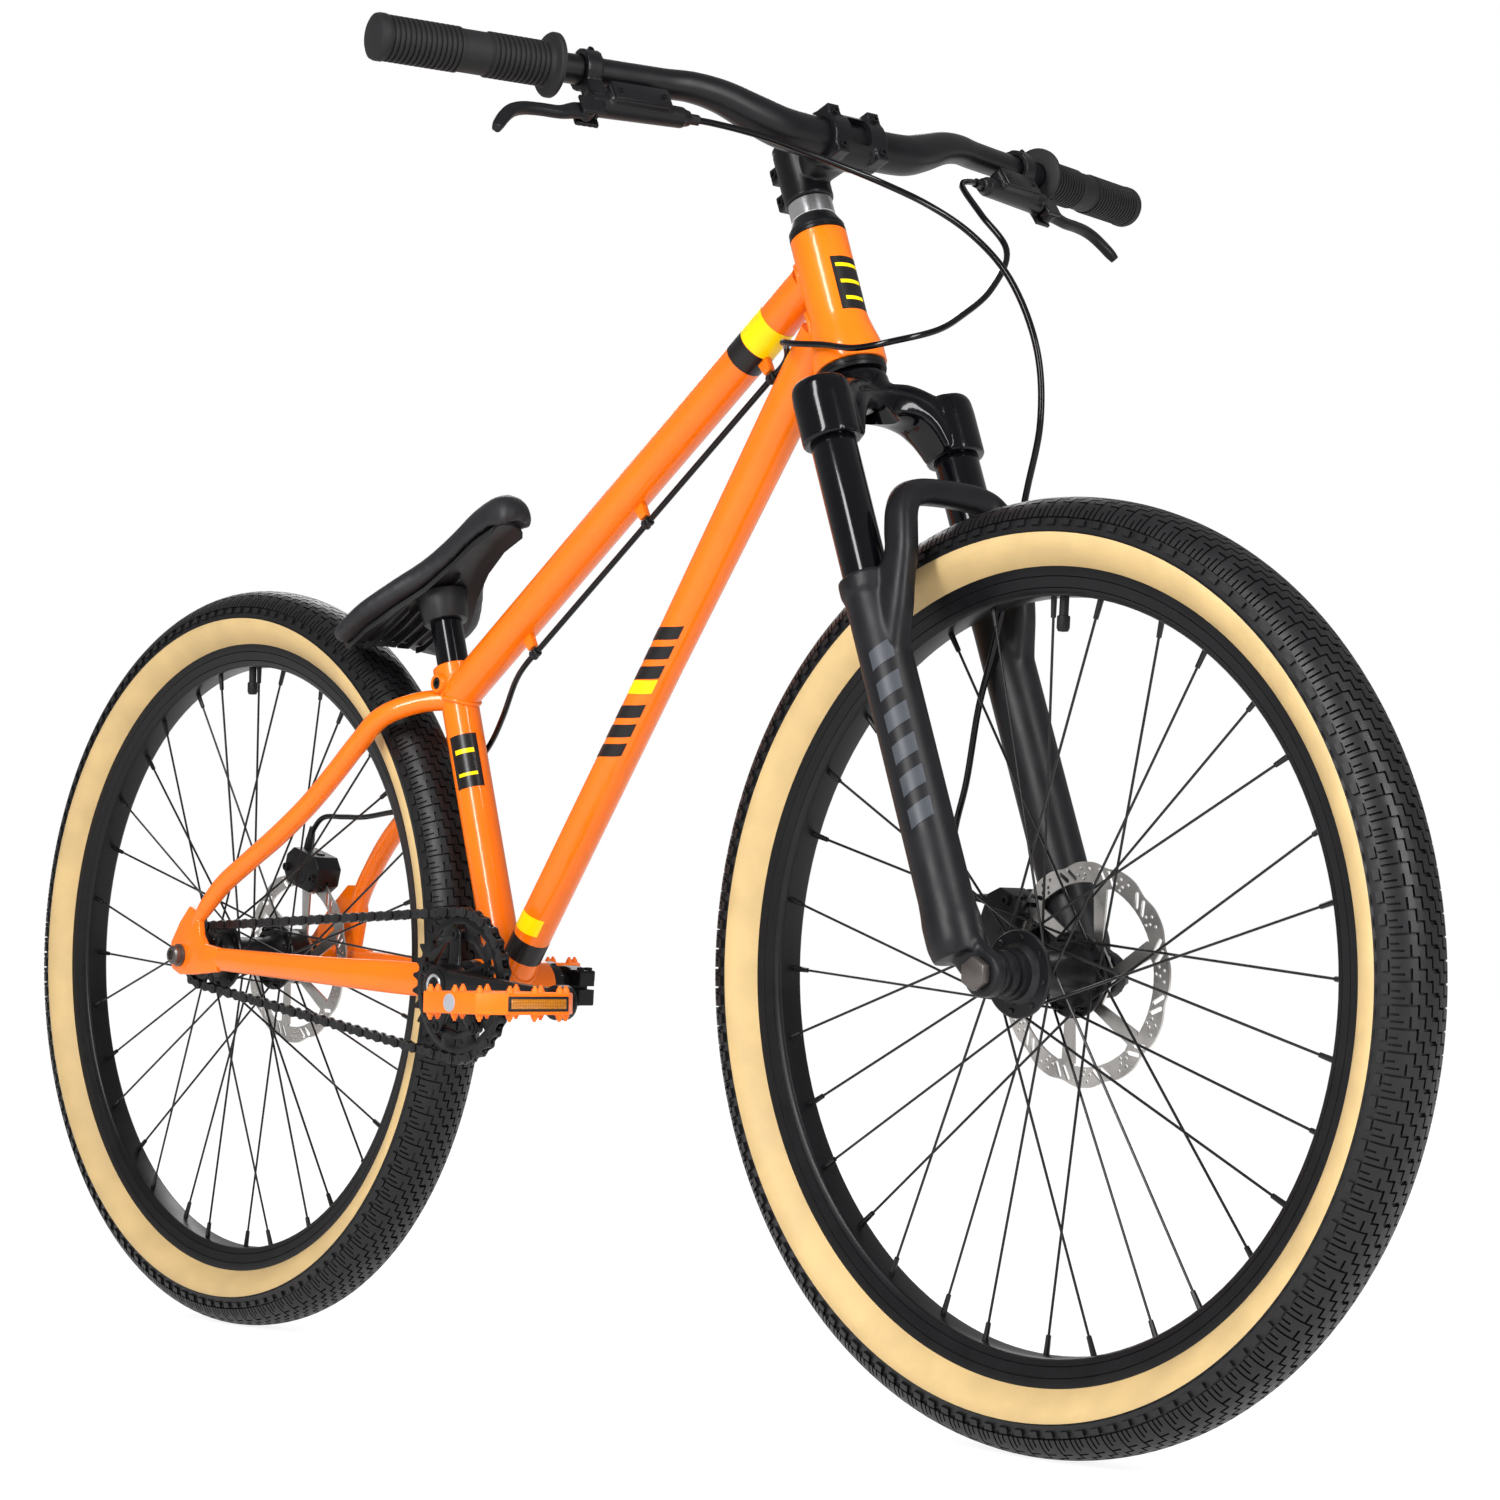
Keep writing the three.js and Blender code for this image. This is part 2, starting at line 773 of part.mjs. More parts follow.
addPiece("headset_upper_cup", headsetUpperCup(), glossBlack, steering);
addPiece("headset_lower_cup", headsetLowerCup(), glossBlack, steering);
addPiece("headset_top_cover", headsetCover(), glossBlack, steering);
addPiece(
  "stem_spacer",
  ring(steererRadius + gap, spacerRadius, coverTop + gap, spacerTop, roundSides),
  steel,
  steering,
);

// Bottom bracket cups, each with its flange outside the shell
function bracketCup(side) {
  const bore = runningBore(spindleRadius);
  const face = shellWidth / 2;
  const cup = turnedAcross(
    [
      [bore, face - bracketCupInsert],
      [shellBore - gap, face - bracketCupInsert],
      [shellBore - gap, face + gap],
      [bracketCupRadius, face + gap],
      [bracketCupRadius, face + bracketCupWidth],
      [bore, face + bracketCupWidth],
    ],
    roundSides,
  );
  return moved(onSide(cup, side), bracket);
}

addPiece("bottom_bracket_cup_right", bracketCup(-1), glossBlack);
addPiece("bottom_bracket_cup_left", bracketCup(1), glossBlack);

// Fork, in the steering group: x forward from the steering axis, z along it
const legPlace = (side, z) => v3(stanchionOffset, (side * stanchionSpacing) / 2, z);
const raceZ = -raceToHead;
const crownBottom = raceZ - crownBossTop - crownBossHeight;
const stanchionTop = raceZ - crownBossTop - capHeight - gap;
const sealTop = crownBottom - stanchionShown;
const stanchionBottom = sealTop - stanchionInsert;

function legTurned(profile, side, sides) {
  return moved(turnedUp(profile, sides), legPlace(side, 0));
}

// Crown arm: shares of the leg's place across and of the boss height down
const crownArmShares = [
  [0, 0.2, 1.15],
  [0.35, 0.24, 1.1],
  [0.7, 0.42, 1.05],
  [1, 0.62, 1],
];

function forkCrown() {
  const raceTop = -headTubeLength - lowerCupFlangeHeight - runningGap;
  const centre = turnedUp(
    [
      [0, stemTop - gap],
      [steererRadius, stemTop - gap],
      [steererRadius, raceTop],
      [crownRaceRadius, raceTop],
      [crownRaceRadius, raceZ],
      [crownCentreRadius, raceZ - crownCentreHeight / 5],
      [crownCentreRadius, raceZ - crownCentreHeight],
      [0, raceZ - crownCentreHeight],
    ],
    roundSides,
  );
  const bossTop = raceZ - crownBossTop;
  const bosses = [-1, 1].map((side) =>
    rod(legPlace(side, bossTop), legPlace(side, crownBottom), crownBossRadius, crownBossRadius, roundSides),
  );
  const otherHalf = crownArmShares.slice(1).map(([y, z, size]) => [-y, z, size]);
  const across = [...otherHalf.reverse(), ...crownArmShares];
  const arm = sweep(
    across.map(([y, z]) =>
      v3(stanchionOffset * Math.abs(y) ** 2, (y * stanchionSpacing) / 2, raceZ - z * crownBossHeight),
    ),
    across.map(([, , size]) => size * crownArmDepth),
    across.map(([, , size]) => size * crownArmHeight),
    roundSides,
    FORWARD,
  );
  const bore = stanchionRadius + gap;
  const sockets = [-1, 1].map((side) =>
    rod(legPlace(side, raceZ), legPlace(side, crownBottom - overrun), bore, bore, roundSides),
  );
  return union([centre, ...bosses, arm]).subtract(union(sockets));
}

function stanchion(side) {
  const inner = stanchionRadius - stanchionWall;
  return legTurned(
    [
      [inner, stanchionBottom],
      [stanchionRadius, stanchionBottom],
      [stanchionRadius, stanchionTop],
      [capRadius, stanchionTop + capHeight],
      [0, stanchionTop + capHeight],
      [0, stanchionTop],
      [inner, stanchionTop],
    ],
    side,
    roundSides,
  );
}

function forkKnob() {
  const bottom = stanchionTop + capHeight + gap;
  return legTurned(
    [
      [0, bottom],
      [knobRadius, bottom],
      [knobRadius, bottom + knobHeight],
      [0, bottom + knobHeight],
    ],
    1,
    roundSides,
  );
}

addPiece("fork_crown", forkCrown(), glossBlack, steering);
addPiece("stanchion_right", stanchion(-1), glossBlack, steering);
addPiece("stanchion_left", stanchion(1), glossBlack, steering);
addPiece("fork_knob", forkKnob(), satinBlack, steering);

// Lowers
const axleZ = -(forkLength + raceToHead);
const legBottom = axleZ + axleBelowLegs;
const footTop = legBottom + footStep;

function lowerLeg(side) {
  const bore = stanchionRadius + gap;
  return legTurned(
    [
      [bore, sealTop],
      [sealRadius, sealTop],
      [sealRadius, sealTop - sealHeight],
      [legRadius, sealTop - sealHeight - archFootRadius / 2],
      [legRadius, footTop],
      [footRadius, footTop - overrun],
      [footRadius, legBottom + legBottomWall],
      [legRadius, legBottom],
      [0, legBottom],
      [0, legBottom + legBottomWall],
      [bore, legBottom + legBottomWall],
    ],
    side,
    roundSides,
  );
}

// Arch in front of the legs: shares of the half spacing across, of its reach and of its rise
const archShares = [
  [1, 0.3, -1],
  [0.98, 0.78, -0.55],
  [0.9, 1.02, 0.1],
  [0.68, 1.04, 0.8],
  [0.35, 1.04, 1],
  [0, 1.04, 1.02],
];
const archCrownShare = 0.9;

function forkArch() {
  const across = [...archShares.map(([y, x, z]) => [-y, x, z]), ...archShares.slice(0, -1).reverse()];
  return rounded(
    across.map(([y, x, z]) =>
      v3(stanchionOffset + x * archReach, (y * stanchionSpacing) / 2, sealTop + z * archRise),
    ),
    across.map(([, x]) => (x > archCrownShare ? archCrownRadius : archFootRadius)),
    smallSides,
    FORWARD,
  );
}

function lug(side) {
  const inner = frontHubWidth / 2 + gap;
  const [y0, y1] = side > 0 ? [inner, inner + lugThickness] : [-inner - lugThickness, -inner];
  const eye = rod(v3(forkOffset, y0, axleZ), v3(forkOffset, y1, axleZ), lugRadius, lugRadius, roundSides);
  const web = plate(
    [
      [stanchionOffset - legRadius / 2, legBottom + legBottomWall],
      [forkOffset - lugRadius, axleZ],
      [forkOffset + lugRadius, axleZ],
      [stanchionOffset + legRadius, footTop + legRadius / 2],
      [stanchionOffset, footTop],
    ],
    y0,
    y1,
  );
  return eye.add(web);
}

// A caliper's two faces, either side of its rotor's plane
const caliperSpan = (plane) => [plane - caliperHalfWidth, plane + caliperHalfWidth];

function caliperShape(angle, plane) {
  const corner = cornersAt(angle);
  const half = caliperLength / 2;
  const chamfer = caliperBridge;
  const outline = [
    corner(caliperInnerReach, chamfer - half),
    corner(caliperInnerReach, half - chamfer),
    corner(caliperInnerReach + chamfer, half),
    corner(caliperOuterReach - chamfer, half),
    corner(caliperOuterReach, half - chamfer),
    corner(caliperOuterReach, chamfer - half),
    corner(caliperOuterReach - chamfer, -half),
    corner(caliperInnerReach + chamfer, -half),
  ];
  const [y0, y1] = caliperSpan(plane);
  const body = plate(outline, y0, y1);
  const slotHalf = rotorThickness / 2 + padGap + padThickness + gap;
  const slot = plate(
    [
      corner(caliperInnerReach - overrun, -padLength / 2 - gap),
      corner(caliperInnerReach - overrun, padLength / 2 + gap),
      corner(caliperOuterReach - caliperBridge, padLength / 2 + gap),
      corner(caliperOuterReach - caliperBridge, -padLength / 2 - gap),
    ],
    plane - slotHalf,
    plane + slotHalf,
  );
  const kerf = rotorThickness / 2 + padGap;
  const passageRadius = rotorRadius + rotorWaveDepth + padGap;
  const passage = crossRod(ORIGIN, plane - kerf, plane + kerf, passageRadius, wheelSegments);
  return body.subtract(slot).subtract(passage);
}

function brakePad(angle, plane, side) {
  const corner = cornersAt(angle);
  const inner = rotorRadius - padRadialSize + padGap;
  const outer = caliperOuterReach - caliperBridge - gap;
  const outline = [
    corner(inner, -padLength / 2),
    corner(inner, padLength / 2),
    corner(outer, padLength / 2),
    corner(outer, -padLength / 2),
  ];
  const near = plane + side * (rotorThickness / 2 + padGap);
  const far = near + side * padThickness;
  return plate(outline, Math.min(near, far), Math.max(near, far));
}

// Rotation that carries a shape about the wheel's axle from bike directions into the steering group
const uprightInSteering = -steering.rotation.y;
const frontWheel = new THREE.Group();
frontWheel.position.copy(frontAxle);
bike.add(frontWheel);
const rearWheel = new THREE.Group();
rearWheel.position.copy(rearAxle);
bike.add(rearWheel);

const aboutFrontAxle = (shape) =>
  solid(geometryOf(shape).rotateY(uprightInSteering).translate(forkOffset, 0, axleZ));

// The brake mount reaches back from the left leg to the caliper's outer face
function brakeMount() {
  const outer = caliperSpan(frontRotorPlane)[1] + gap;
  const corner = cornersAt(frontCaliperAngle);
  const half = caliperLength / 2;
  const outline = [
    corner(rotorSeatRadius, -half),
    corner(rotorSeatRadius, half / 2),
    corner(caliperOuterReach - caliperBridge, half - caliperBridge),
    corner(caliperOuterReach - caliperBridge, -half),
  ];
  return aboutFrontAxle(plate(outline, outer, outer + lugThickness));
}

function forkLowers() {
  const whole = union([lowerLeg(-1), lowerLeg(1), forkArch(), lug(-1), lug(1), brakeMount()]);
  const bore = stanchionRadius + gap;
  const bores = [-1, 1].map((side) =>
    rod(legPlace(side, sealTop + archRise), legPlace(side, legBottom + legBottomWall), bore),
  );
  const axleBore = runningBore(frontAxleRadius);
  const axleHole = crossRod(v3(forkOffset, 0, axleZ), -frontHubWidth, frontHubWidth, axleBore);
  return whole.subtract(union([...bores, axleHole]));
}

addPiece("fork_lowers", forkLowers(), satinBlack, steering);

function frontAxleShape() {
  const reach = frontHubWidth / 2 + lugThickness + 2 * gap;
  const shaft = crossRod(ORIGIN, -reach, reach, frontAxleRadius, roundSides);
  const heads = [-1, 1].map((side) =>
    crossRod(ORIGIN, side * reach, side * (reach + axleHexWidth), axleHexRadius, hexSides),
  );
  return union([shaft, ...heads]);
}

addPiece("front_axle", frontAxleShape(), steel, frontWheel);

// Wheels, each about its own axle. Tyre profile as shares of its half width and of its height
// above the rim bed
const tyreOuterShares = [
  [0, 0.44],
  [0.16, 0.455],
  [0.45, 1],
  [0.72, 0.93],
  [1, 0.28],
];
const tyreInnerShares = [
  [0.93, 0.27],
  [0.6, 0.87],
  [0, 0.2],
];

function tyre() {
  const foot = rimBedRadius + gap;
  const height = tyreRadius - foot;
  const outer = tyreOuterShares.map(([up, out]) => [foot + up * height, out * tyreHalfWidth]);
  const inner = tyreInnerShares.map(([up, out]) => [foot + up * height, out * tyreHalfWidth]);
  const other = (points) => points.map(([radius, out]) => [radius, -out]).reverse();
  return turnedAcross([...outer, ...other(outer), ...other(inner), ...inner], wheelSegments);
}

function rim() {
  const inner = rimHalfWidth - rimWall;
  return turnedAcross(
    [
      [rimOuterRadius, -rimHalfWidth],
      [rimInnerRadius, -rimCrownHalfWidth],
      [rimInnerRadius, rimCrownHalfWidth],
      [rimOuterRadius, rimHalfWidth],
      [rimOuterRadius, inner],
      [rimBedRadius, inner],
      [rimBedRadius, -inner],
      [rimOuterRadius, -inner],
    ],
    wheelSegments,
  );
}

// One side's spokes, in two planes that never touch, start from the ring of their heads.
// The right side's spokes lie halfway between the left side's.
function spokes(side) {
  const half = spokeThickness / 2;
  const outerPlane = flangeSpacing / 2 - flangeThickness - half - runningGap;
  const innerPlane = outerPlane - spokePlaneStep;
  const heads = turnedAcross(
    [
      [spokeRingRadius - half, innerPlane - half],
      [spokeRingRadius + half, innerPlane - half],
      [spokeRingRadius + half, outerPlane + half],
      [spokeRingRadius - half, outerPlane + half],
    ],
    spokesPerSide,
  );
  const rimReach = rimInnerRadius - 2 * gap;
  const at = (radius, angle, y) =>
    v3(radius * Math.cos(radians(angle)), y, radius * Math.sin(radians(angle)));
  const lacing = Array.from({ length: spokesPerSide }, (_, i) => {
    const leading = i % 2 === 0;
    const hubAngle = (360 / spokesPerSide) * i;
    const rimAngle = hubAngle + (leading ? spokeCrossAngle : -spokeCrossAngle);
    const from = at(spokeRingRadius, hubAngle, leading ? outerPlane : innerPlane);
    return sweep([from, at(rimReach, rimAngle, spokeRimOffset)], [half, half], [half, half], spokeSides);
  });
  const laced = union([heads, ...lacing]);
  const halfSpacing = 180 / spokesPerSide;
  return onSide(side > 0 ? laced : laced.rotate([0, halfSpacing, 0]), side);
}

function rotor() {
  const wavePoints = rotorWaves * 3;
  const outline = Array.from({ length: wavePoints }, (_, i) => {
    const angle = (2 * Math.PI * i) / wavePoints;
    const radius = rotorRadius - (rotorWaveDepth * (1 - Math.cos(rotorWaves * angle))) / 2;
    return [radius * Math.cos(angle), radius * Math.sin(angle)];
  });
  const bandInner = rotorRadius - rotorBandWidth;
  const holes = Array.from({ length: rotorArms }, (_, i) => {
    const lean = radians(rotorArmLean);
    const sector = (2 * Math.PI) / rotorArms;
    const start = sector * i;
    const trim = (radius) => rotorArmWidth / 2 / radius;
    const at = (radius, angle) => [radius * Math.cos(angle), radius * Math.sin(angle)];
    const inner = rotorHubRadius;
    return [
      at(inner, start + trim(inner)),
      at(inner, start + sector - trim(inner)),
      at(bandInner, start + sector - trim(bandInner) + lean),
      at(bandInner, start + sector / 2 + lean),
      at(bandInner, start + trim(bandInner) + lean),
    ];
  });
  const bore = circle(0, 0, rotorBore, roundSides);
  return plate(outline, -rotorThickness / 2, rotorThickness / 2, [bore, ...holes]);
}

// Hub profile between its two end faces, with the rotor's seat on the left
function hub(width, axleRadius, rotorPlane, endRadius, rightRadius) {
  const end = width / 2 - gap;
  const outerFace = flangeSpacing / 2;
  const innerFace = outerFace - flangeThickness;
  const seat = rotorPlane - rotorThickness / 2 - gap;
  const bore = runningBore(axleRadius);
  const throat = rotorBore - gap;
  return turnedAcross(
    [
      [bore, -end],
      [rightRadius, -end],
      [rightRadius, -outerFace],
      [flangeRadius, -outerFace],
      [flangeRadius, -innerFace],
      [flangeFootRadius, -innerFace],
      [hubShellRadius, -innerFace + flangeThickness],
      [hubShellRadius, innerFace - flangeThickness],
      [flangeFootRadius, innerFace],
      [flangeRadius, innerFace],
      [flangeRadius, outerFace],
      [rotorSeatRadius, outerFace],
      [rotorSeatRadius, seat],
      [throat, seat],
      [throat, rotorPlane + rotorThickness / 2],
      [endRadius, rotorPlane + rotorThickness],
      [endRadius, end],
      [bore, end],
    ],
    roundSides,
  );
}

function addWheel(name, group, hubShape, rotorPlane) {
  addPiece(`${name}_tyre`, tyre(), tyreRubber, group);
  addPiece(`${name}_rim`, rim(), anodisedBlack, group);
  addPiece(`${name}_hub`, hubShape, anodisedBlack, group);
  addPiece(`${name}_spokes_right`, spokes(-1), satinBlack, group);
  addPiece(`${name}_spokes_left`, spokes(1), satinBlack, group);
  addPiece(`${name}_rotor`, moved(rotor(), v3(0, rotorPlane, 0)), steel, group);
}

addWheel(
  "front",
  frontWheel,
  hub(frontHubWidth, frontAxleRadius, frontRotorPlane, hubEndRadius, hubEndRadius),
  frontRotorPlane,
);
addWheel(
  "rear",
  rearWheel,
  hub(rearHubWidth, rearAxleRadius, rearRotorPlane, hubEndRadius, driverRadius),
  rearRotorPlane,
);

function rearAxleShape() {
  const reach = rearHubWidth / 2 + dropoutThickness + 2 * gap;
  const shaft = crossRod(ORIGIN, -reach, reach, rearAxleRadius, roundSides);
  const bolts = [-1, 1].map((side) =>
    crossRod(ORIGIN, side * reach, side * (reach + rearBoltLength), rearBoltRadius, roundSides),
  );
  return union([shaft, ...bolts]);
}

addPiece("rear_axle", rearAxleShape(), satinBlack, rearWheel);

// Calipers and pads stay upright beside their wheels
addPiece("front_caliper", caliperShape(frontCaliperAngle, frontRotorPlane), satinBlack, frontWheel);
addPiece("front_pad_inner", brakePad(frontCaliperAngle, frontRotorPlane, -1), steel, frontWheel);
addPiece("front_pad_outer", brakePad(frontCaliperAngle, frontRotorPlane, 1), steel, frontWheel);
addPiece("rear_caliper", caliperShape(rearCaliperAngle, rearRotorPlane), satinBlack, rearWheel);
addPiece("rear_pad_inner", brakePad(rearCaliperAngle, rearRotorPlane, -1), steel, rearWheel);
addPiece("rear_pad_outer", brakePad(rearCaliperAngle, rearRotorPlane, 1), steel, rearWheel);

// Drive
const pitchRadius = (teeth) => chainPitch / (2 * Math.sin(Math.PI / teeth));
const ringPitch = pitchRadius(chainringTeeth);
const cogPitch = pitchRadius(cogTeeth);

function chainOutline(offset) {
  const span = bracket.clone().sub(rearAxle);
  const distance = span.length();
  const base = Math.atan2(span.z, span.x);
  const open = Math.acos((cogPitch - ringPitch) / distance);
  const points = [];
  const arc = (centre, radius, from, to) => {
    for (let i = 0; i <= chainArcSteps; i++) {
      const angle = from + ((to - from) * i) / chainArcSteps;
      points.push([centre.x + radius * Math.cos(angle), centre.z + radius * Math.sin(angle)]);
    }
  };
  arc(bracket, ringPitch + offset, base - open, base + open);
  arc(rearAxle, cogPitch + offset, base + open, base + 2 * Math.PI - open);
  return points;
}

function chain() {
  const y0 = -chainline - chainWidth / 2;
  const [outer, inner] = [1, -1].map((side) => chainOutline(side * chainHalfHeight));
  return plate(outer, y0, y0 + chainWidth, [inner]);
}

addPiece("chain", chain(), chainSteel);

function sprocketRing(pitch, bore, thickness, slots) {
  const outer = pitch - chainHalfHeight - runningGap;
  const outline = circle(0, 0, outer, wheelSegments);
  const middle = outer - chainringBandWidth / 2;
  const holes = Array.from({ length: slots }, (_, i) => {
    const angle = (2 * Math.PI * (i + 0.5)) / slots;
    const sweepAngle = (Math.PI / slots) * 0.55;
    const at = (radius, turn) => [radius * Math.cos(angle + turn), radius * Math.sin(angle + turn)];
    const depth = chainringBandWidth / 5;
    return [
      at(middle - depth, -sweepAngle),
      at(middle - depth, sweepAngle),
      at(middle + depth, sweepAngle),
      at(middle + depth, -sweepAngle),
    ];
  });
  const middleHole = circle(0, 0, bore, roundSides);
  return plate(outline, -chainline - thickness / 2, -chainline + thickness / 2, [middleHole, ...holes]);
}

const crankset = new THREE.Group();
crankset.position.copy(bracket);
bike.add(crankset);

const ringBore = ringPitch - chainHalfHeight - runningGap - chainringBandWidth;
const chainring = sprocketRing(ringPitch, ringBore, chainringThickness, chainringSlots);
addPiece("chainring", chainring, anodisedBlack, crankset);
const cog = sprocketRing(cogPitch, runningBore(driverRadius), chainringThickness, 0);
addPiece("rear_cog", cog, chainSteel, rearWheel);

const tilt = radians(crankTilt);

// A crank arm along +x from the spindle, on the left side of the bike
function crankArm() {
  const middle = (inner, width) => inner + width / 2;
  const alongShares = [0, 0.3, 0.65, 1];
  const bossY = middle(crankBossInner, crankBossWidth);
  const endY = middle(crankEndInner, crankEndWidth);
  const lerp = THREE.MathUtils.lerp;
  const path = alongShares.map((share) => v3(share * crankLength, lerp(bossY, endY, share), 0));
  const widths = alongShares.map((share) => lerp(crankBossWidth, crankEndWidth, share) / 2 - gap);
  const heightShares = [0.85, 0.72, 0.72, 0.85];
  const heights = heightShares.map((share, i) => share * (i < 2 ? crankBossRadius : crankEndRadius));
  const arm = sweep(path, widths, heights, smallSides);
  const boss = crossRod(ORIGIN, crankBossInner, crankBossInner + crankBossWidth, crankBossRadius, roundSides);
  const end = crossRod(path[3], crankEndInner, crankEndInner + crankEndWidth, crankEndRadius, roundSides);
  const endOuter = crankEndInner + crankEndWidth;
  const hole = crossRod(path[3], crankEndInner - overrun, endOuter + overrun, pedalThreadRadius + gap);
  return union([arm, boss, end]).subtract(hole);
}

function spider() {
  const reach = ringBore + spiderArmWidth / 2;
  const face = -chainline - chainringThickness / 2 - gap;
  const arms = Array.from({ length: spiderArms }, (_, i) => {
    const angle = (2 * Math.PI * i) / spiderArms + Math.PI / 2;
    const tip = v3(Math.cos(angle), 0, Math.sin(angle));
    const out = (share) => tip.clone().multiplyScalar(reach * share).setY(face - spiderThickness / 2);
    const half = spiderArmWidth / 2;
    const deep = spiderThickness / 2;
    return sweep([out(0), out(1)], [deep, deep], [half, half * spiderTipShare], hexSides);
  });
  const middle = crossRod(ORIGIN, -crankBossInner - overrun, face, crankBossRadius, roundSides);
  return union([...arms, middle]);
}

function rightCrank() {
  const arm = mirrored(crankArm());
  const outer = crankBossInner + crankBossWidth;
  const spindle = crossRod(ORIGIN, -outer, outer, spindleRadius, roundSides);
  return union([arm, spider(), spindle]);
}

function leftCrank() {
  const bore = crossRod(ORIGIN, 0, crankBossInner * 2, spindleRadius + gap, roundSides);
  const slit = block(
    v3(-crankBossRadius, crankBossInner + crankBossWidth / 2, 0),
    crankBossRadius,
    crankBossWidth + overrun,
    pinchSlit,
  );
  return crankArm().subtract(bore).subtract(slit);
}

const turned = (shape, angle) => solid(geometryOf(shape).rotateY(angle));
addPiece("right_crank", turned(rightCrank(), tilt), glossBlack, crankset);
addPiece("left_crank", turned(leftCrank(), tilt + Math.PI), glossBlack, crankset);

// Pedals stay level at the ends of the cranks
function pedalSpindle() {
  const face = crankEndInner + crankEndWidth;
  const centre = face + pedalCentreFromCrank;
  const thread = crossRod(ORIGIN, face - pedalThreadLength, face, pedalThreadRadius);
  const washer = crossRod(ORIGIN, face + gap, face + gap + pedalWasherWidth, pedalWasherRadius);
  const neck = crossRod(ORIGIN, face - gap, face + 2 * gap, pedalSpindleRadius);
  const shaft = crossRod(ORIGIN, face, centre + pedalWidth / 2 - pedalBar / 2, pedalSpindleRadius);
  return union([thread, washer, neck, shaft]);
}

function pedal() {
  const centre = crankEndInner + crankEndWidth + pedalCentreFromCrank;
  const [halfX, halfY] = [pedalLength / 2, pedalWidth / 2];
  const corner = pedalChamfer;
  const outline = [
    [halfX, halfY - corner],
    [halfX - corner, halfY],
    [corner - halfX, halfY],
    [-halfX, halfY - corner],
    [-halfX, corner - halfY],
    [corner - halfX, -halfY],
    [halfX - corner, -halfY],
    [halfX, corner - halfY],
  ];
  const slab = (corners, below, above) => {
    const shape = new THREE.Shape(corners.map(([x, y]) => new THREE.Vector2(x, y)));
    const geometry = new THREE.ExtrudeGeometry(shape, { depth: above - below, bevelEnabled: false });
    return solid(geometry.translate(0, centre, below));
  };
  const window = (sideX, sideY) => {
    const [x0, x1] = [pedalBar * 1.1, halfX - pedalBar];
    const [y0, y1] = [pedalBar * 0.3, halfY - pedalBar];
    const corners = [
      [x0, y0],
      [x1, y0],
      [x1, y1 - corner / 2],
      [x1 - corner / 2, y1],
      [x0, y1],
    ];
    const placed = corners.map(([x, y]) => [sideX * x, sideY * y]);
    return slab(placed, -pedalThickness, pedalThickness);
  };
  const windows = [-1, 1].flatMap((sideX) => [-1, 1].map((sideY) => window(sideX, sideY)));
  const body = slab(outline, -pedalThickness / 2, pedalThickness / 2).subtract(union(windows));
  const bore = crossRod(
    ORIGIN,
    centre - pedalWidth,
    centre + pedalWidth / 2 - pedalBar / 2 + gap,
    runningBore(pedalSpindleRadius),
    roundSides,
  );
  return body.subtract(bore);
}

for (const side of [-1, 1]) {
  const label = side > 0 ? "left" : "right";
  const pedalGroup = new THREE.Group();
  const reach = -side * crankLength;
  pedalGroup.position.set(
    bracket.x + reach * Math.cos(tilt),
    0,
    bracket.z - reach * Math.sin(tilt),
  );
  bike.add(pedalGroup);
  addPiece(`pedal_spindle_${label}`, onSide(pedalSpindle(), side), steel, pedalGroup);
  addPiece(`pedal_${label}`, onSide(pedal(), side), orangePlastic, pedalGroup);
}

// Seatpost and saddle
const postTop = seatTop.clone().addScaledVector(seatUp, seatpostShown);

function seatpost() {
  const bottom = onSeatTube(seatpostInsert);
  const outer = rod(bottom, postTop, seatpostRadius, seatpostRadius, roundSides);
  const inner = seatpostRadius - seatpostWall;
  const end = postTop.clone().addScaledVector(seatUp, -seatpostWall);
  return outer.subtract(rod(bottom.clone().addScaledVector(seatUp, -overrun), end, inner, inner, roundSides));
}

addPiece("seatpost", seatpost(), glossBlack);

// Saddle stations from tail to nose: shares of the length forward, of the height for the crown,
// of the half width, and of the pad thickness at the rim
const saddleShares = [
  [0, 0.09, 0.42, 0.42],
  [0.06, 0.115, 0.72, 0.72],
  [0.17, 0.15, 0.96, 1],
  [0.3, 0.27, 1, 1],
  [0.42, 0.42, 0.82, 1],
  [0.54, 0.58, 0.56, 1],
  [0.66, 0.76, 0.4, 1],
  [0.78, 0.92, 0.34, 1],
  [0.9, 1, 0.32, 0.95],
  [0.97, 0.94, 0.26, 0.75],
  [1, 0.84, 0.14, 0.4],
];
// Cross-section of the pad: shares of the half width and of the pad thickness below the crown
const saddleSectionShares = [
  [0, 0],
  [0.35, -0.04],
  [0.68, -0.2],
  [0.9, -0.5],
  [1, -0.9],
  [0.95, -1.25],
  [0.78, -1.3],
  [0.5, -1],
  [0.2, -0.92],
];

const saddleFoot = v3(postTop.x, 0, postTop.z);
const saddlePlace = ([along, high]) =>
  v3(
    saddleFoot.x - saddleTailBack + along * saddleLength,
    0,
    saddleFoot.z + high * saddleHeight - saddlePadThickness / 2,
  );

function saddleSection(station, section, thickness) {
  const [, , wide, thick] = station;
  const centre = saddlePlace(station);
  const half = section.map(([out, down]) => [out * wide * saddleHalfWidth, down * thick * thickness]);
  const other = half
    .filter(([out]) => out > 0)
    .map(([out, down]) => [-out, down])
    .reverse();
  return [...half, ...other].map(([y, z]) => v3(centre.x, y, centre.z + z));
}

function saddlePad() {
  return skin(saddleShares.map((station) => saddleSection(station, saddleSectionShares, saddlePadThickness)));
}

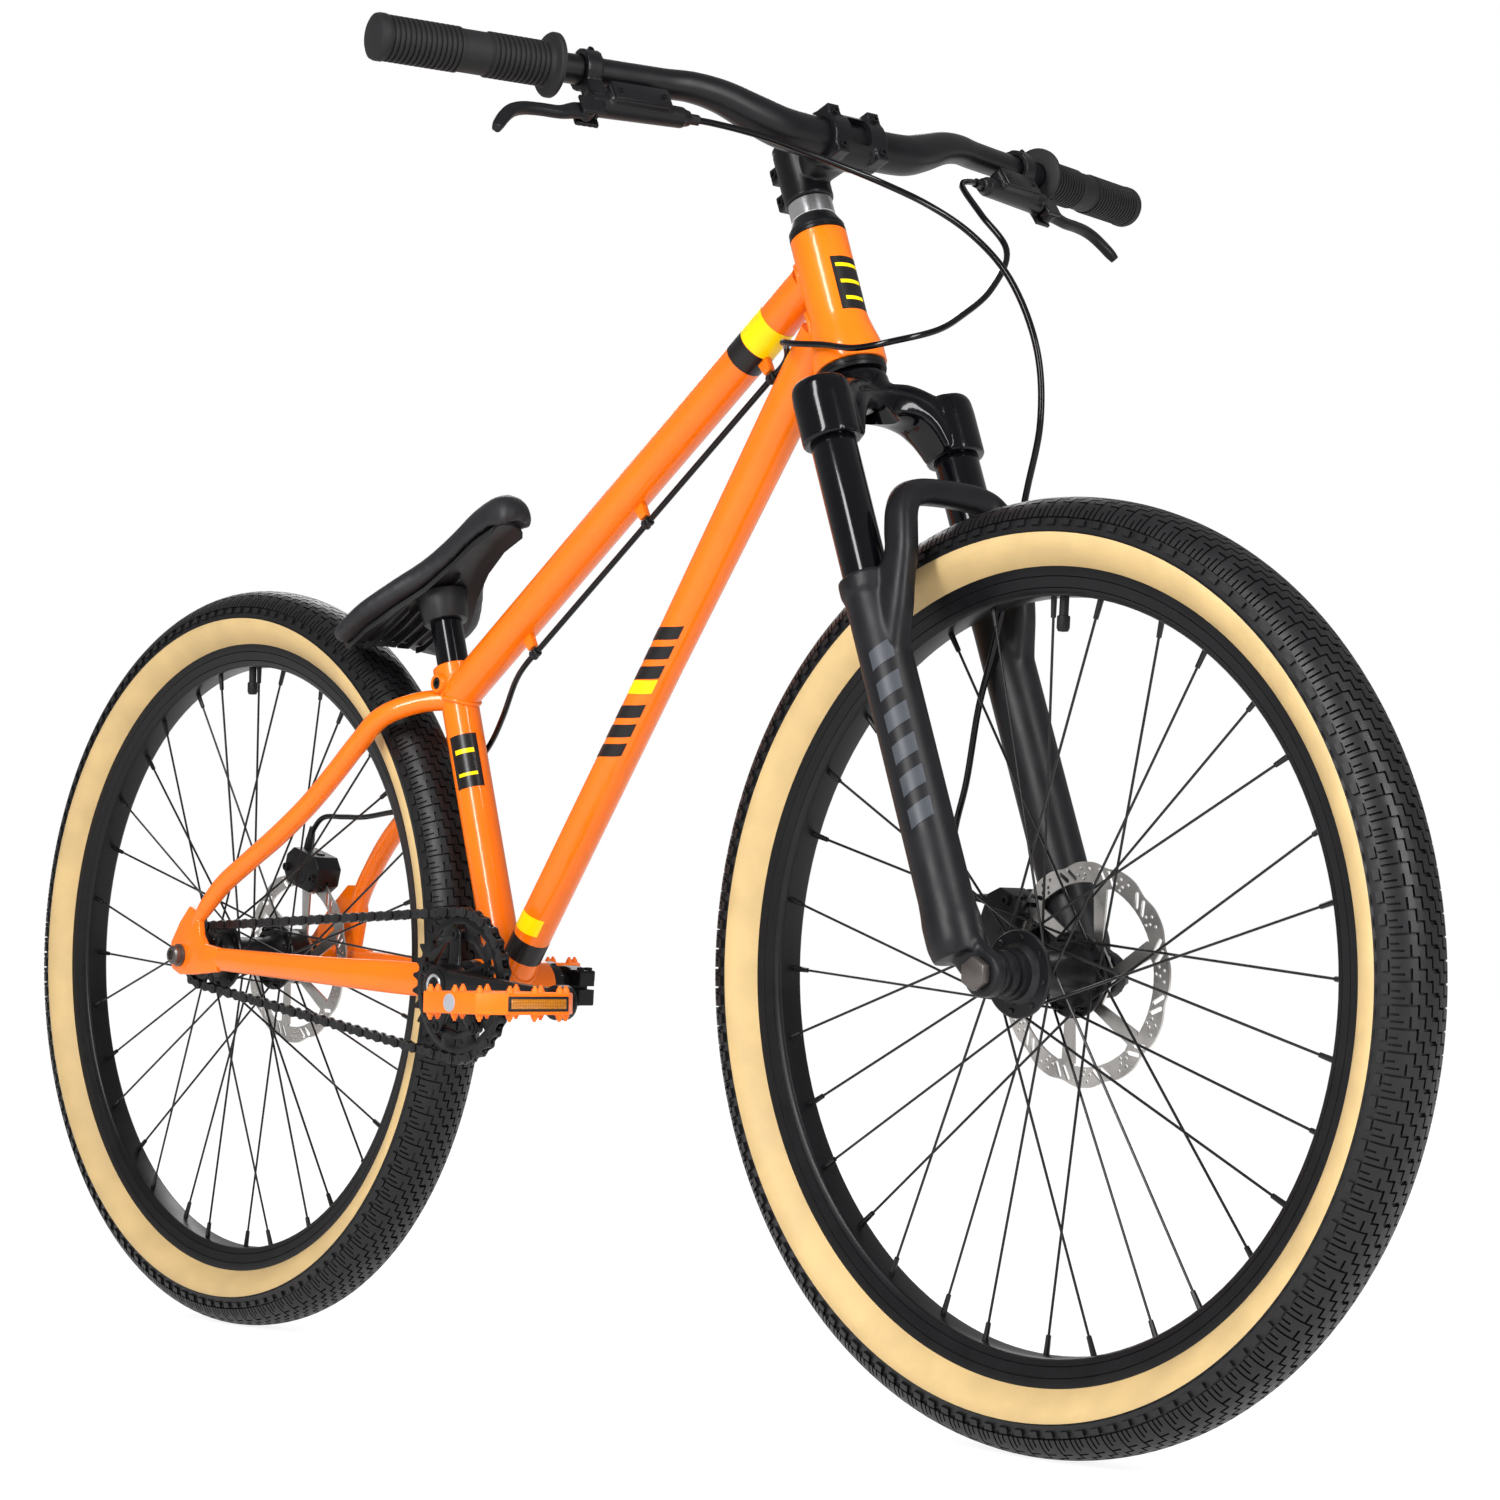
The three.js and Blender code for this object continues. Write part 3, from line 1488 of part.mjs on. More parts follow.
// The base follows the hollow under the pad and carries the socket for the seatpost
const baseTopShares = [
  [0.2, -0.93],
  [0.49, -1.01],
  [0.76, -1.31],
];

function saddleBase() {
  const stations = saddleShares.slice(1, -2);
  const rings = stations.map((station) => {
    const centre = saddlePlace(station);
    const [, , wide, thick] = station;
    const top = baseTopShares.map(([out, down]) => [
      out * wide * saddleHalfWidth,
      down * thick * saddlePadThickness - gap,
    ]);
    const lower = top.map(([out, down]) => [out, down - saddleBaseThickness]).reverse();
    const right = [...top, ...lower];
    const left = right.map(([out, down]) => [-out, down]).reverse();
    return [...right, ...left].map(([y, z]) => v3(centre.x, y, centre.z + z));
  });
  const plateShape = skin(rings);
  const socketBottom = postTop.clone().addScaledVector(seatUp, -saddleSocketHeight / 2);
  const socketTop = postTop.clone().addScaledVector(seatUp, saddleSocketHeight / 3);
  const socket = rod(socketBottom, socketTop, saddleSocketRadius, saddleSocketRadius * 1.2, roundSides);
  const bore = seatpostRadius + gap;
  const hole = rod(
    socketBottom.clone().addScaledVector(seatUp, -overrun),
    postTop.clone().addScaledVector(seatUp, gap),
    bore,
    bore,
    roundSides,
  );
  return plateShape.add(socket).subtract(hole);
}

addPiece("saddle_pad", saddlePad(), paddedCover);
addPiece("saddle_base", saddleBase().subtract(saddlePad()), blackPlastic);

// Stem
function stem() {
  const clamp = rod(v3(0, 0, stemBottom), v3(0, 0, stemTop), stemClampRadius, stemClampRadius, roundSides);
  const neck = sweep(
    [v3(0, 0, (stemBottom + stemTop) / 2), v3(stemReach, 0, stemRise)],
    [stemNeckHalfWidth, stemNeckHalfWidth],
    [stemNeckHalfHeight, stemNeckHalfHeight],
    8,
  );
  const barPlace = v3(stemReach, 0, stemRise);
  const outer = barClampRadius + gap + stemBarWall;
  const cradle = crossRod(barPlace, -barClampHalfWidth, barClampHalfWidth, outer, roundSides);
  const front = block(v3(stemReach + outer, 0, stemRise), 2 * outer, 3 * barClampHalfWidth, 3 * outer);
  const bore = runningBore(barClampRadius);
  const barBore = crossRod(barPlace, -2 * barClampHalfWidth, 2 * barClampHalfWidth, bore, roundSides);
  const steererBore = rod(
    v3(0, 0, stemBottom - overrun),
    v3(0, 0, stemTop + overrun),
    steererRadius + gap,
    steererRadius + gap,
    roundSides,
  );
  return union([clamp, neck, cradle]).subtract(union([front, barBore, steererBore]));
}

function stemFaceplate() {
  const barPlace = v3(stemReach, 0, stemRise);
  const outer = barClampRadius + gap + stemBarWall;
  const cover = crossRod(barPlace, -barClampHalfWidth, barClampHalfWidth, outer, roundSides);
  const backPlace = v3(stemReach - outer + 2 * gap, 0, stemRise);
  const back = block(backPlace, 2 * outer, 3 * barClampHalfWidth, 3 * outer);
  const bore = runningBore(barClampRadius);
  const barBore = crossRod(barPlace, -2 * barClampHalfWidth, 2 * barClampHalfWidth, bore, roundSides);
  const windowPlace = v3(stemReach + outer, 0, stemRise);
  const window = block(windowPlace, 1.2 * outer, faceplateWindow, 1.5 * barClampRadius);
  return cover.subtract(union([back, barBore, window]));
}

addPiece("stem", stem(), satinBlack, steering);
addPiece("stem_faceplate", stemFaceplate(), satinBlack, steering);
const capBottom = stemTop + gap;
addPiece(
  "stem_top_cap",
  rod(
    v3(0, 0, capBottom),
    v3(0, 0, capBottom + topCapHeight),
    stemClampRadius - gap,
    stemClampRadius - 2 * gap,
  ),
  satinBlack,
  steering,
);

// Handlebar, in the cockpit group: shares of the half width, of the sweep back and of the rise
const barShares = [
  [0, 0, 0, 1],
  [0.12, 0, 0, 1],
  [0.17, 0.01, 0.08, 0.96],
  [0.22, 0.06, 0.34, 0.8],
  [0.3, 0.16, 0.82, 0.35],
  [0.36, 0.25, 1, 0.1],
  [0.42, 0.347, 1, 0],
  [1, 1, 1, 0],
];

const barPoint = ([out, back, up], side) => v3(-back * barSweep, side * out * barHalfWidth, up * barRise);

// The bar's skin shrunk by a wall; its straight outer parts run on to a share of the half width
function barSkin(shrink, endShare, sides) {
  const [bendOut, bendBack] = barShares[barShares.length - 2];
  const sweepPerOut = (1 - bendBack) / (1 - bendOut);
  const half = [...barShares.slice(0, -1), [endShare, 1 + (endShare - 1) * sweepPerOut, 1, 0]];
  const row = [
    ...half.slice(1).reverse().map((share) => [share, -1]),
    ...half.map((share) => [share, 1]),
  ];
  return rounded(
    row.map(([share, side]) => barPoint(share, side)),
    row.map(([[, , , thick]]) => THREE.MathUtils.lerp(barEndRadius, barClampRadius, thick) - shrink),
    sides,
    FORWARD,
  );
}

function handlebar() {
  return barSkin(0, 1, roundSides).subtract(barSkin(barWall, 1 + overrun / barHalfWidth, smallSides));
}

addPiece("handlebar", handlebar(), satinBlack, cockpit);

// A place on the straight outer part of the bar, by its distance from the middle
const barBendShare = barShares[barShares.length - 2];
const barBend = barPoint(barBendShare, 1);
const barEnd = barPoint([1, 1, 1], 1);
const barOutward = barEnd.clone().sub(barBend).normalize();
const onBar = (across) =>
  barEnd.clone().addScaledVector(barOutward, (across - barHalfWidth) / barOutward.y);

// Turns a shape made about +y so that +y runs outward along the bar
function alongBar(shape, across, side) {
  const turn = new THREE.Quaternion().setFromUnitVectors(LEFT, barOutward);
  const place = onBar(across);
  const geometry = geometryOf(shape).applyQuaternion(turn).translate(place.x, place.y, place.z);
  return onSide(solid(geometry), side);
}

function grip() {
  const bore = barEndRadius + gap;
  return turnedAcross(
    [
      [bore, -gripLength],
      [gripFlangeRadius, -gripLength],
      [gripFlangeRadius, gripFlangeWidth - gripLength],
      [gripRadius, gripFlangeWidth * 1.4 - gripLength],
      [gripRadius, gripEndWall / 2],
      [gripRadius * 0.85, gripEndWall],
      [0, gripEndWall],
      [0, gap],
      [bore, gap],
    ],
    roundSides,
  );
}

// Brake lever assembly: x away from the bar, y outward along it
function leverFrame(shape, side) {
  const drop = radians(leverDrop);
  const away = v3(Math.cos(drop), 0, -Math.sin(drop));
  const outward = barOutward;
  const level = away.clone().addScaledVector(outward, -away.dot(outward)).normalize();
  const third = level.clone().cross(outward);
  const place = onBar(barHalfWidth - (gripLength + leverClampFromGrip) * barOutward.y);
  const matrix = new THREE.Matrix4().makeBasis(level, outward, third).setPosition(place);
  return onSide(solid(geometryOf(shape).applyMatrix4(matrix)), side);
}

const pivot = v3(leverPivotDistance, leverPivotOutboard, 0);

function brakeMaster() {
  const clampOuter = crossRod(ORIGIN, -leverClampWidth / 2, leverClampWidth / 2, leverClampRadius);
  const neck = block(
    v3(masterDistance / 2, 0, 0),
    masterDistance,
    leverClampWidth,
    masterRadius * 1.4,
  );
  const barrel = rod(
    v3(masterDistance, -masterInboard, 0),
    v3(masterDistance, leverClampWidth / 2, 0),
    masterRadius * 0.8,
    masterRadius,
    roundSides,
  );
  const reservoir = block(
    v3(masterDistance - masterRadius / 2, -masterInboard * 0.42, masterRadius * 0.6),
    masterRadius * 1.9,
    masterInboard * 0.66,
    reservoirHeight * 1.5,
  );
  const earHeight = leverThickness + 2 * gap + 2 * masterEarWall;
  const ears = block(
    v3(leverPivotDistance - gap, (leverPivotOutboard + leverEyeRadius) / 2, 0),
    leverEyeRadius * 2.2,
    leverPivotOutboard + leverEyeRadius,
    earHeight,
  );
  const mouth = block(
    v3(leverPivotDistance + overrun, leverPivotOutboard + leverEyeRadius / 2, 0),
    leverEyeRadius * 4,
    leverEyeRadius * 3.4,
    leverThickness + 2 * gap,
  );
  const pin = rod(
    v3(pivot.x, pivot.y, -earHeight / 2),
    v3(pivot.x, pivot.y, earHeight / 2),
    leverPinRadius,
    leverPinRadius,
    roundSides,
  );
  const bore = runningBore(barEndRadius);
  const barHole = rod(v3(0, -masterInboard * 2, 0), v3(0, masterInboard * 2, 0), bore, bore, roundSides);
  return union([clampOuter, neck, barrel, reservoir, ears]).subtract(mouth).add(pin).subtract(barHole);
}

// Lever blade outline: shares of its length outward and of its hook away from the bar
const leverOutlineShares = [
  [0.06, -0.2],
  [0.3, 0.02],
  [0.6, 0.0],
  [0.8, 0.16],
  [0.93, 0.5],
  [1, 0.95],
  [0.94, 1.1],
  [0.85, 0.75],
  [0.7, 0.42],
  [0.5, 0.32],
  [0.28, 0.34],
  [0.06, 0.24],
];

function brakeLever() {
  const shape = new THREE.Shape(
    leverOutlineShares.map(
      ([out, away]) => new THREE.Vector2(pivot.x + away * leverHook, pivot.y + out * leverLength),
    ),
  );
  const half = leverThickness / 2;
  const geometry = new THREE.ExtrudeGeometry(shape, { depth: leverThickness, bevelEnabled: false });
  const blade = solid(geometry.translate(0, 0, -half));
  const eye = rod(v3(pivot.x, pivot.y, -half), v3(pivot.x, pivot.y, half), leverEyeRadius);
  const bore = runningBore(leverPinRadius);
  const hole = rod(
    v3(pivot.x, pivot.y, -leverThickness),
    v3(pivot.x, pivot.y, leverThickness),
    bore,
    bore,
    roundSides,
  );
  return blade.add(eye).subtract(hole);
}

for (const side of [-1, 1]) {
  const label = side > 0 ? "left" : "right";
  addPiece(`grip_${label}`, alongBar(grip(), barHalfWidth, side), blackRubber, cockpit);
  addPiece(`brake_master_${label}`, leverFrame(brakeMaster(), side), satinBlack, cockpit);
  addPiece(`brake_lever_${label}`, leverFrame(brakeLever(), side), satinBlack, cockpit);
}

// Brake hoses. The front one runs from the right lever down ahead of the crown, inside the left leg
// and behind it to the caliper. The rear one runs from the left lever under the top tube.
const frontHoseRoute = [
  [278.3, -152.1, 952.9],
  [282, -132, 952.5],
  [292, -95, 948],
  [305, -50, 938],
  [326, 0, 922],
  [352, 22, 905],
  [385, 34, 880],
  [419, 40, 843],
  [446, 41, 787],
  [449, 42, 735],
  [436, 42, 685],
  [420, 40, 620],
  [406, 39, 568],
  [393, 39, 530],
  [377, 43, 475],
  [363, 45, 435],
  [366, 44, 408],
  [383.4, 42, 390.8],
  [412.2, 41, 387.3],
];
const rearHoseRoute = [
  [278.3, 152.1, 952.9],
  [281.1, 136.8, 952.4],
  [291.9, 116.6, 945.2],
  [323.9, 105.9, 915.3],
  [348.5, 108.7, 885.2],
  [365, 75, 847],
  [371, 40, 823],
  [374, 10, 807],
  [362, -20, 797],
  [335, -34, 793],
  [297, -33.6, 799.9],
  [269, -36.7, 803.7],
  [250.6, -31.6, 807.7],
  [234.5, -13.6, 809.2],
  [224.2, -3, 803],
  [216, 0, 797.4],
  [208, 0, 792],
  [196.2, 0, 783.9],
  [57.8, 0, 688.8],
  [-76, 0, 596.9],
  [-98, 0, 581.8],
  [-114.7, 3.7, 570.2],
  [-146, 15, 542],
  [-176, 25, 520],
  [-215, 33, 498],
  [-262, 38, 480],
  [-305, 42, 469],
  [-350, 45, 465],
  [-393.8, 49, 462],
  [-430, 53, 463],
  [-465.1, 54, 462.6],
  [-478.4, 54, 453.1],
  [-484.5, 54, 442.5],
  [-486.6, 54, 435.8],
];
addPiece("front_brake_hose", hose(frontHoseRoute), blackRubber);
addPiece("rear_brake_hose", hose(rearHoseRoute), blackRubber);

export default bike;
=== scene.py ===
# Dirt jump bike: looks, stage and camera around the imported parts.
# Sizes below are in millimetres and turned into metres by at(), MM or the helpers.
import json
import math

import bmesh
import bpy
from mathutils import Matrix, Quaternion, Vector

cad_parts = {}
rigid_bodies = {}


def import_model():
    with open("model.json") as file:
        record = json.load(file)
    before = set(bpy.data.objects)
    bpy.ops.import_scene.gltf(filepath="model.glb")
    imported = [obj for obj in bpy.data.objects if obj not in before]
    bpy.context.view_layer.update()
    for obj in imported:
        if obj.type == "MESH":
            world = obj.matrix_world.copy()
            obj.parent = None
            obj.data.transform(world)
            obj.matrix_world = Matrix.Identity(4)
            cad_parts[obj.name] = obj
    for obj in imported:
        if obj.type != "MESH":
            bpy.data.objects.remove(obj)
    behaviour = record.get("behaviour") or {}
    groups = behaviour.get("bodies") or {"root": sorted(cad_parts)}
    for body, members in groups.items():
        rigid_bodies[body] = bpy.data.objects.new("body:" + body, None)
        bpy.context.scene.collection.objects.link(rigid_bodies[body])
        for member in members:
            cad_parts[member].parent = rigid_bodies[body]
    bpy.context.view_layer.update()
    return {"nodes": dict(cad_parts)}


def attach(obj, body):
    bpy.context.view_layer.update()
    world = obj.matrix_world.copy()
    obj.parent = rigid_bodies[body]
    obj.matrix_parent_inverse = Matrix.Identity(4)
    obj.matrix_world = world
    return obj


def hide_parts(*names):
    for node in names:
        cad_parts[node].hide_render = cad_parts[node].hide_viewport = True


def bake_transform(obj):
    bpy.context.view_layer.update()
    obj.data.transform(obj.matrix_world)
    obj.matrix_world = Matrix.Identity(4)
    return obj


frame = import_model()

bl_info = {
    "name": "Dirt jump bike",
    "version": (1, 0, 0),
    "blender": (4, 5, 0),
    "location": "View3D > Sidebar > Bike",
    "description": "Builds the detailed pieces of a dirt jump bike on its frame of parts",
    "category": "Object",
}

MM = 0.001
LEFT = Vector((0, 1, 0))
FORWARD = Vector((1, 0, 0))
UP = Vector((0, 0, 1))
ORIGIN = Vector((0, 0, 0))
QUARTER = math.pi / 2
WHOLE = 2 * math.pi


def at(x, y, z):
    """A place in metres from one in millimetres."""
    return Vector((x, y, z)) * MM


def around(angle):
    """The direction at an angle in radians in the bike's own plane, from forward towards up."""
    return Vector((math.cos(angle), 0, math.sin(angle)))


# Directions and joints shared by the pieces, in millimetres unless they are directions
STEERING_UP = Vector((-math.cos(math.radians(70)), 0, math.sin(math.radians(70))))
STEERING_FORWARD = Vector((math.sin(math.radians(70)), 0, math.cos(math.radians(70))))
SEAT_UP = Vector((-math.cos(math.radians(72.8)), 0, math.sin(math.radians(72.8))))
AXLE_HEIGHT = 335
FRONT_AXLE = Vector((500, 0, AXLE_HEIGHT))
REAR_AXLE = Vector((-500, 0, AXLE_HEIGHT))
FORK_OFFSET = 40.5
FORK_LENGTH = 482.4
RACE_TO_HEAD = 124
HEAD_TOP = FRONT_AXLE - STEERING_FORWARD * FORK_OFFSET + STEERING_UP * (FORK_LENGTH + RACE_TO_HEAD)
BRACKET = Vector((-113.016, 0, 315))
SEAT_TUBE_LENGTH = 283
SEAT_TOP = BRACKET + SEAT_UP * SEAT_TUBE_LENGTH
COCKPIT = HEAD_TOP + STEERING_FORWARD * 48.5 + STEERING_UP * 55.8


def on_steering(x, y, z):
    """A place in metres from one beside the steering axis, in millimetres from the head tube's top."""
    return (HEAD_TOP + STEERING_FORWARD * x + LEFT * y + STEERING_UP * z) * MM


def on_seat_tube(below, y=0):
    return (SEAT_TOP - SEAT_UP * below + LEFT * y) * MM


# Editing helpers


def deselect():
    bpy.ops.object.select_all(action="DESELECT")


def select(*pieces):
    deselect()
    for piece in pieces:
        piece.select_set(True)
    bpy.context.view_layer.objects.active = pieces[-1]


def named(name):
    piece = bpy.context.object
    piece.name = name
    piece.data.name = name
    return piece


def settle(piece):
    """Puts a piece's place, turn and scale into its mesh."""
    select(piece)
    bpy.ops.object.transform_apply(location=True, rotation=True, scale=True)
    return piece


def edit(piece):
    select(piece)
    bpy.ops.object.mode_set(mode="EDIT")
    bpy.ops.mesh.select_all(action="SELECT")


def leave_edit():
    bpy.ops.object.mode_set(mode="OBJECT")


def face_outwards(piece):
    edit(piece)
    bpy.ops.mesh.normals_make_consistent(inside=False)
    leave_edit()
    return piece


def tidy_normals(piece, merge=0.01 * MM):
    """Merges doubled points and turns all faces outwards."""
    edit(piece)
    bpy.ops.mesh.remove_doubles(threshold=merge)
    leave_edit()
    return face_outwards(piece)


def rod(name, start, end, radius, end_radius=None, sides=48):
    """A round bar between two places in metres, with its radius in millimetres."""
    span = end - start
    deselect()
    bpy.ops.mesh.primitive_cone_add(
        vertices=sides,
        radius1=radius * MM,
        radius2=(radius if end_radius is None else end_radius) * MM,
        depth=span.length,
        location=(start + end) / 2,
        rotation=span.to_track_quat("Z", "Y").to_euler(),
    )
    return settle(named(name))


def cross_rod(name, centre, y0, y1, radius, end_radius=None, sides=48):
    """A rod across the bike, through the x and z of a place in millimetres."""
    return rod(name, at(centre.x, y0, centre.z), at(centre.x, y1, centre.z), radius, end_radius, sides)


def block(name, centre, size, turn=None):
    """A box with its middle in metres and its size in millimetres."""
    deselect()
    bpy.ops.mesh.primitive_cube_add(size=1, location=centre)
    piece = named(name)
    piece.scale = Vector(size) * MM
    if turn is not None:
        piece.rotation_mode = "QUATERNION"
        piece.rotation_quaternion = turn
    return settle(piece)


def lathe(name, profile, origin, axis, steps=64, closed=False):
    """A profile of [radius, distance along the axis] in millimetres, spun about an axis."""
    deselect()
    bpy.ops.mesh.primitive_plane_add(size=MM)
    piece = named(name)
    bpy.ops.object.mode_set(mode="EDIT")
    bpy.ops.mesh.merge(type="CENTER")
    bpy.ops.transform.translate(value=(profile[0][0] * MM, 0, profile[0][1] * MM))
    for (radius, along), (next_radius, next_along) in zip(profile, profile[1:]):
        step = ((next_radius - radius) * MM, 0, (next_along - along) * MM)
        bpy.ops.mesh.extrude_region_move(TRANSFORM_OT_translate={"value": step})
    leave_edit()
    if closed:
        mesh = bmesh.new()
        mesh.from_mesh(piece.data)
        ends = [vertex for vertex in mesh.verts if len(vertex.link_edges) == 1]
        mesh.edges.new(ends)
        mesh.to_mesh(piece.data)
        mesh.free()
    edit(piece)
    bpy.ops.mesh.spin(steps=steps, angle=2 * math.pi, center=(0, 0, 0), axis=(0, 0, 1))
    leave_edit()
    tidy_normals(piece)
    piece.rotation_mode = "QUATERNION"
    piece.rotation_quaternion = axis.to_track_quat("Z", "Y")
    piece.location = origin
    return settle(piece)


def plate(name, outline, y0, y1):
    """A plate across the bike whose outline gives x and z in millimetres."""
    deselect()
    bpy.ops.mesh.primitive_circle_add(vertices=len(outline), fill_type="NGON")
    piece = named(name)
    for vertex, (x, z) in zip(piece.data.vertices, outline):
        vertex.co = at(x, y0, z)
    edit(piece)
    bpy.ops.mesh.extrude_region_move(TRANSFORM_OT_translate={"value": (0, (y1 - y0) * MM, 0)})
    leave_edit()
    return face_outwards(piece)


def loft(name, rings):
    """A closed skin over rings of equally many places in metres, filled at both ends."""
    around_ring, along = len(rings[0]), len(rings)
    deselect()
    bpy.ops.mesh.primitive_grid_add(x_subdivisions=around_ring, y_subdivisions=along - 1)
    piece = named(name)
    for i, vertex in enumerate(piece.data.vertices):
        vertex.co = rings[i // (around_ring + 1)][i % (around_ring + 1) % around_ring]
    edit(piece)
    bpy.ops.mesh.remove_doubles(threshold=0.001 * MM)
    bpy.ops.mesh.select_all(action="SELECT")
    bpy.ops.mesh.fill_holes(sides=0)
    leave_edit()
    return face_outwards(piece)


def oval(centre, across, rise, half_width, half_height, sides=24, squareness=2.0):
    """A ring of places in metres, its half sizes in millimetres; squareness 2 is an ellipse."""
    ring = []
    for i in range(sides):
        angle = WHOLE * i / sides
        c, s = math.cos(angle), math.sin(angle)
        x = math.copysign(abs(c) ** (2 / squareness), c) * half_width * MM
        y = math.copysign(abs(s) ** (2 / squareness), s) * half_height * MM
        ring.append(centre + across * x + rise * y)
    return ring


def bar(name, stations, across=LEFT, sides=24, squareness=2.0):
    """A skin over ovals: stations hold a place in metres and the half width and height in millimetres."""
    places = [place for place, _, _ in stations]
    rings = []
    for i, (place, wide, high) in enumerate(stations):
        tangent = (places[min(i + 1, len(places) - 1)] - places[max(i - 1, 0)]).normalized()
        side = (across - tangent * across.dot(tangent)).normalized()
        rings.append(oval(place, side, tangent.cross(side), wide, high, sides, squareness))
    return loft(name, rings)


def smooth_path(points, steps):
    """Places on one smooth curve through points (centripetal), all values of a point blended alike."""
    places = [Vector(point) for point in points]
    places = [places[0] * 2 - places[1], *places, places[-1] * 2 - places[-2]]

    def span(before, after):
        return (after - before).length ** 0.5

    path = []
    for p0, p1, p2, p3 in zip(places, places[1:], places[2:], places[3:]):
        t1 = span(p0, p1)
        t2 = t1 + span(p1, p2)
        t3 = t2 + span(p2, p3)
        for k in range(steps):
            t = t1 + (t2 - t1) * k / steps
            a1 = p0.lerp(p1, t / t1)
            a2 = p1.lerp(p2, (t - t1) / (t2 - t1))
            a3 = p2.lerp(p3, (t - t2) / (t3 - t2))
            path.append(a1.lerp(a2, t / t2).lerp(a2.lerp(a3, (t - t1) / (t3 - t1)), (t - t1) / (t2 - t1)))
    return path + [places[-2]]


def tube(name, places, radii, sides=24, cyclic=False):
    """A round tube through places in metres, its radius in millimetres at each."""
    deselect()
    bpy.ops.curve.primitive_nurbs_path_add()
    piece = named(name)
    curve = piece.data
    curve.splines.clear()
    spline = curve.splines.new("POLY")
    spline.points.add(len(places) - 1)
    for point, place, radius in zip(spline.points, places, radii):
        point.co = (*place, 1)
        point.radius = radius
    spline.use_cyclic_u = cyclic
    curve.dimensions = "3D"
    curve.bevel_depth = MM
    curve.bevel_resolution = (sides - 4) // 2
    curve.use_fill_caps = not cyclic
    select(piece)
    bpy.ops.object.convert(target="MESH")
    return tidy_normals(named(name))


def join(name, *pieces):
    select(*pieces)
    bpy.ops.object.join()
    return named(name)


def duplicate(piece, name):
    select(piece)
    bpy.ops.object.duplicate()
    return named(name)


def turned(piece, angle, axis=LEFT, centre=ORIGIN):
    piece.matrix_world = (
        Matrix.Translation(centre)
        @ Matrix.Rotation(angle, 4, axis)
        @ Matrix.Translation(-centre)
        @ piece.matrix_world
    )
    return settle(piece)


def shifted(piece, offset):
    piece.location = offset
    return settle(piece)


def ring_of(name, piece, count, axis=LEFT, centre=ORIGIN):
    """Copies of a piece spread evenly about an axis, joined with it."""
    copies = [piece]
    for i in range(1, count):
        copies.append(turned(duplicate(piece, name), WHOLE * i / count, axis, centre))
    return join(name, *copies)


def mirror(piece, name):
    """A copy of a piece on the other side of the bike."""
    copy = duplicate(piece, name)
    copy.scale = (1, -1, 1)
    return face_outwards(settle(copy))


def apply_modifier(piece, kind, **values):
    modifier = piece.modifiers.new(kind.lower(), kind)
    for key, value in values.items():
        setattr(modifier, key, value)
    select(piece)
    bpy.ops.object.modifier_apply(modifier=modifier.name)
    return piece


def cut(piece, *tools):
    for tool in tools:
        apply_modifier(piece, "BOOLEAN", operation="DIFFERENCE", object=tool, solver="EXACT")
        bpy.data.objects.remove(tool)
    return piece


def bevel(piece, width, segments=2, angle=35):
    return apply_modifier(
        piece,
        "BEVEL",
        width=width * MM,
        segments=segments,
        limit_method="ANGLE",
        angle_limit=math.radians(angle),
        use_clamp_overlap=True,
    )


def cast(piece, voxel, smoothing=6):
    """Melts overlapping solids into one cast body with soft inner corners."""
    apply_modifier(piece, "REMESH", mode="VOXEL", voxel_size=voxel * MM)
    return apply_modifier(piece, "SMOOTH", factor=0.5, iterations=smoothing)


def copy_of_node(node, name):
    """A merged copy of a CAD node, free to be refined."""
    piece = duplicate(frame["nodes"][node], name)
    bpy.ops.object.parent_clear(type="CLEAR_KEEP_TRANSFORM")
    for key in list(piece.keys()):
        del piece[key]
    piece.data.materials.clear()
    edit(piece)
    bpy.ops.mesh.remove_doubles(threshold=0.01 * MM)
    bpy.ops.mesh.dissolve_limited(angle_limit=math.radians(0.5))
    leave_edit()
    return piece


SMOOTH_ANGLE = 32


def smooth(piece, angle):
    select(piece)
    bpy.ops.object.shade_smooth_by_angle(angle=math.radians(angle))


def dress(piece, body, finish, slot, *nodes, angle=SMOOTH_ANGLE):
    """Gives a finished piece its finish and body, shades it smooth, and hides the nodes that it stands for."""
    if not piece.data.materials:
        piece.data.materials.append(FINISHES[finish])
    smooth(piece, angle)
    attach(piece, body)
    if nodes:
        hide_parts(*nodes)


# Finishes


def shader(name, color, roughness, metallic=0.0, **sockets):
    """A new material with its own base values, and its surface to add detail to."""
    material = bpy.data.materials.new(name)
    material.use_nodes = True
    material.diffuse_color = (*color, 1)
    surface = material.node_tree.nodes["Principled BSDF"]
    sockets.update(Base_Color=(*color, 1), Roughness=roughness, Metallic=metallic)
    for key, value in sockets.items():
        surface.inputs[key.replace("_", " ")].default_value = value
    return material, surface


def add_node(tree, kind, **values):
    """A new shader node, its inputs set by their names."""
    made = tree.nodes.new("ShaderNode" + kind)
    for key, value in values.items():
        made.inputs[key.replace("_", " ")].default_value = value
    return made


def pattern(tree, kind, **values):
    """A new node that reads Object coordinates."""
    made = add_node(tree, kind, **values)
    tree.links.new(add_node(tree, "TexCoord").outputs["Object"], made.inputs["Vector"])
    return made


def maths(tree, operation, *values):
    """The result of a Math node on values that are outputs or numbers."""
    made = add_node(tree, "Math")
    made.operation = operation
    for inlet, value in zip(made.inputs, values):
        if isinstance(value, bpy.types.NodeSocket):
            tree.links.new(value, inlet)
        else:
            inlet.default_value = value
    return made.outputs[0]


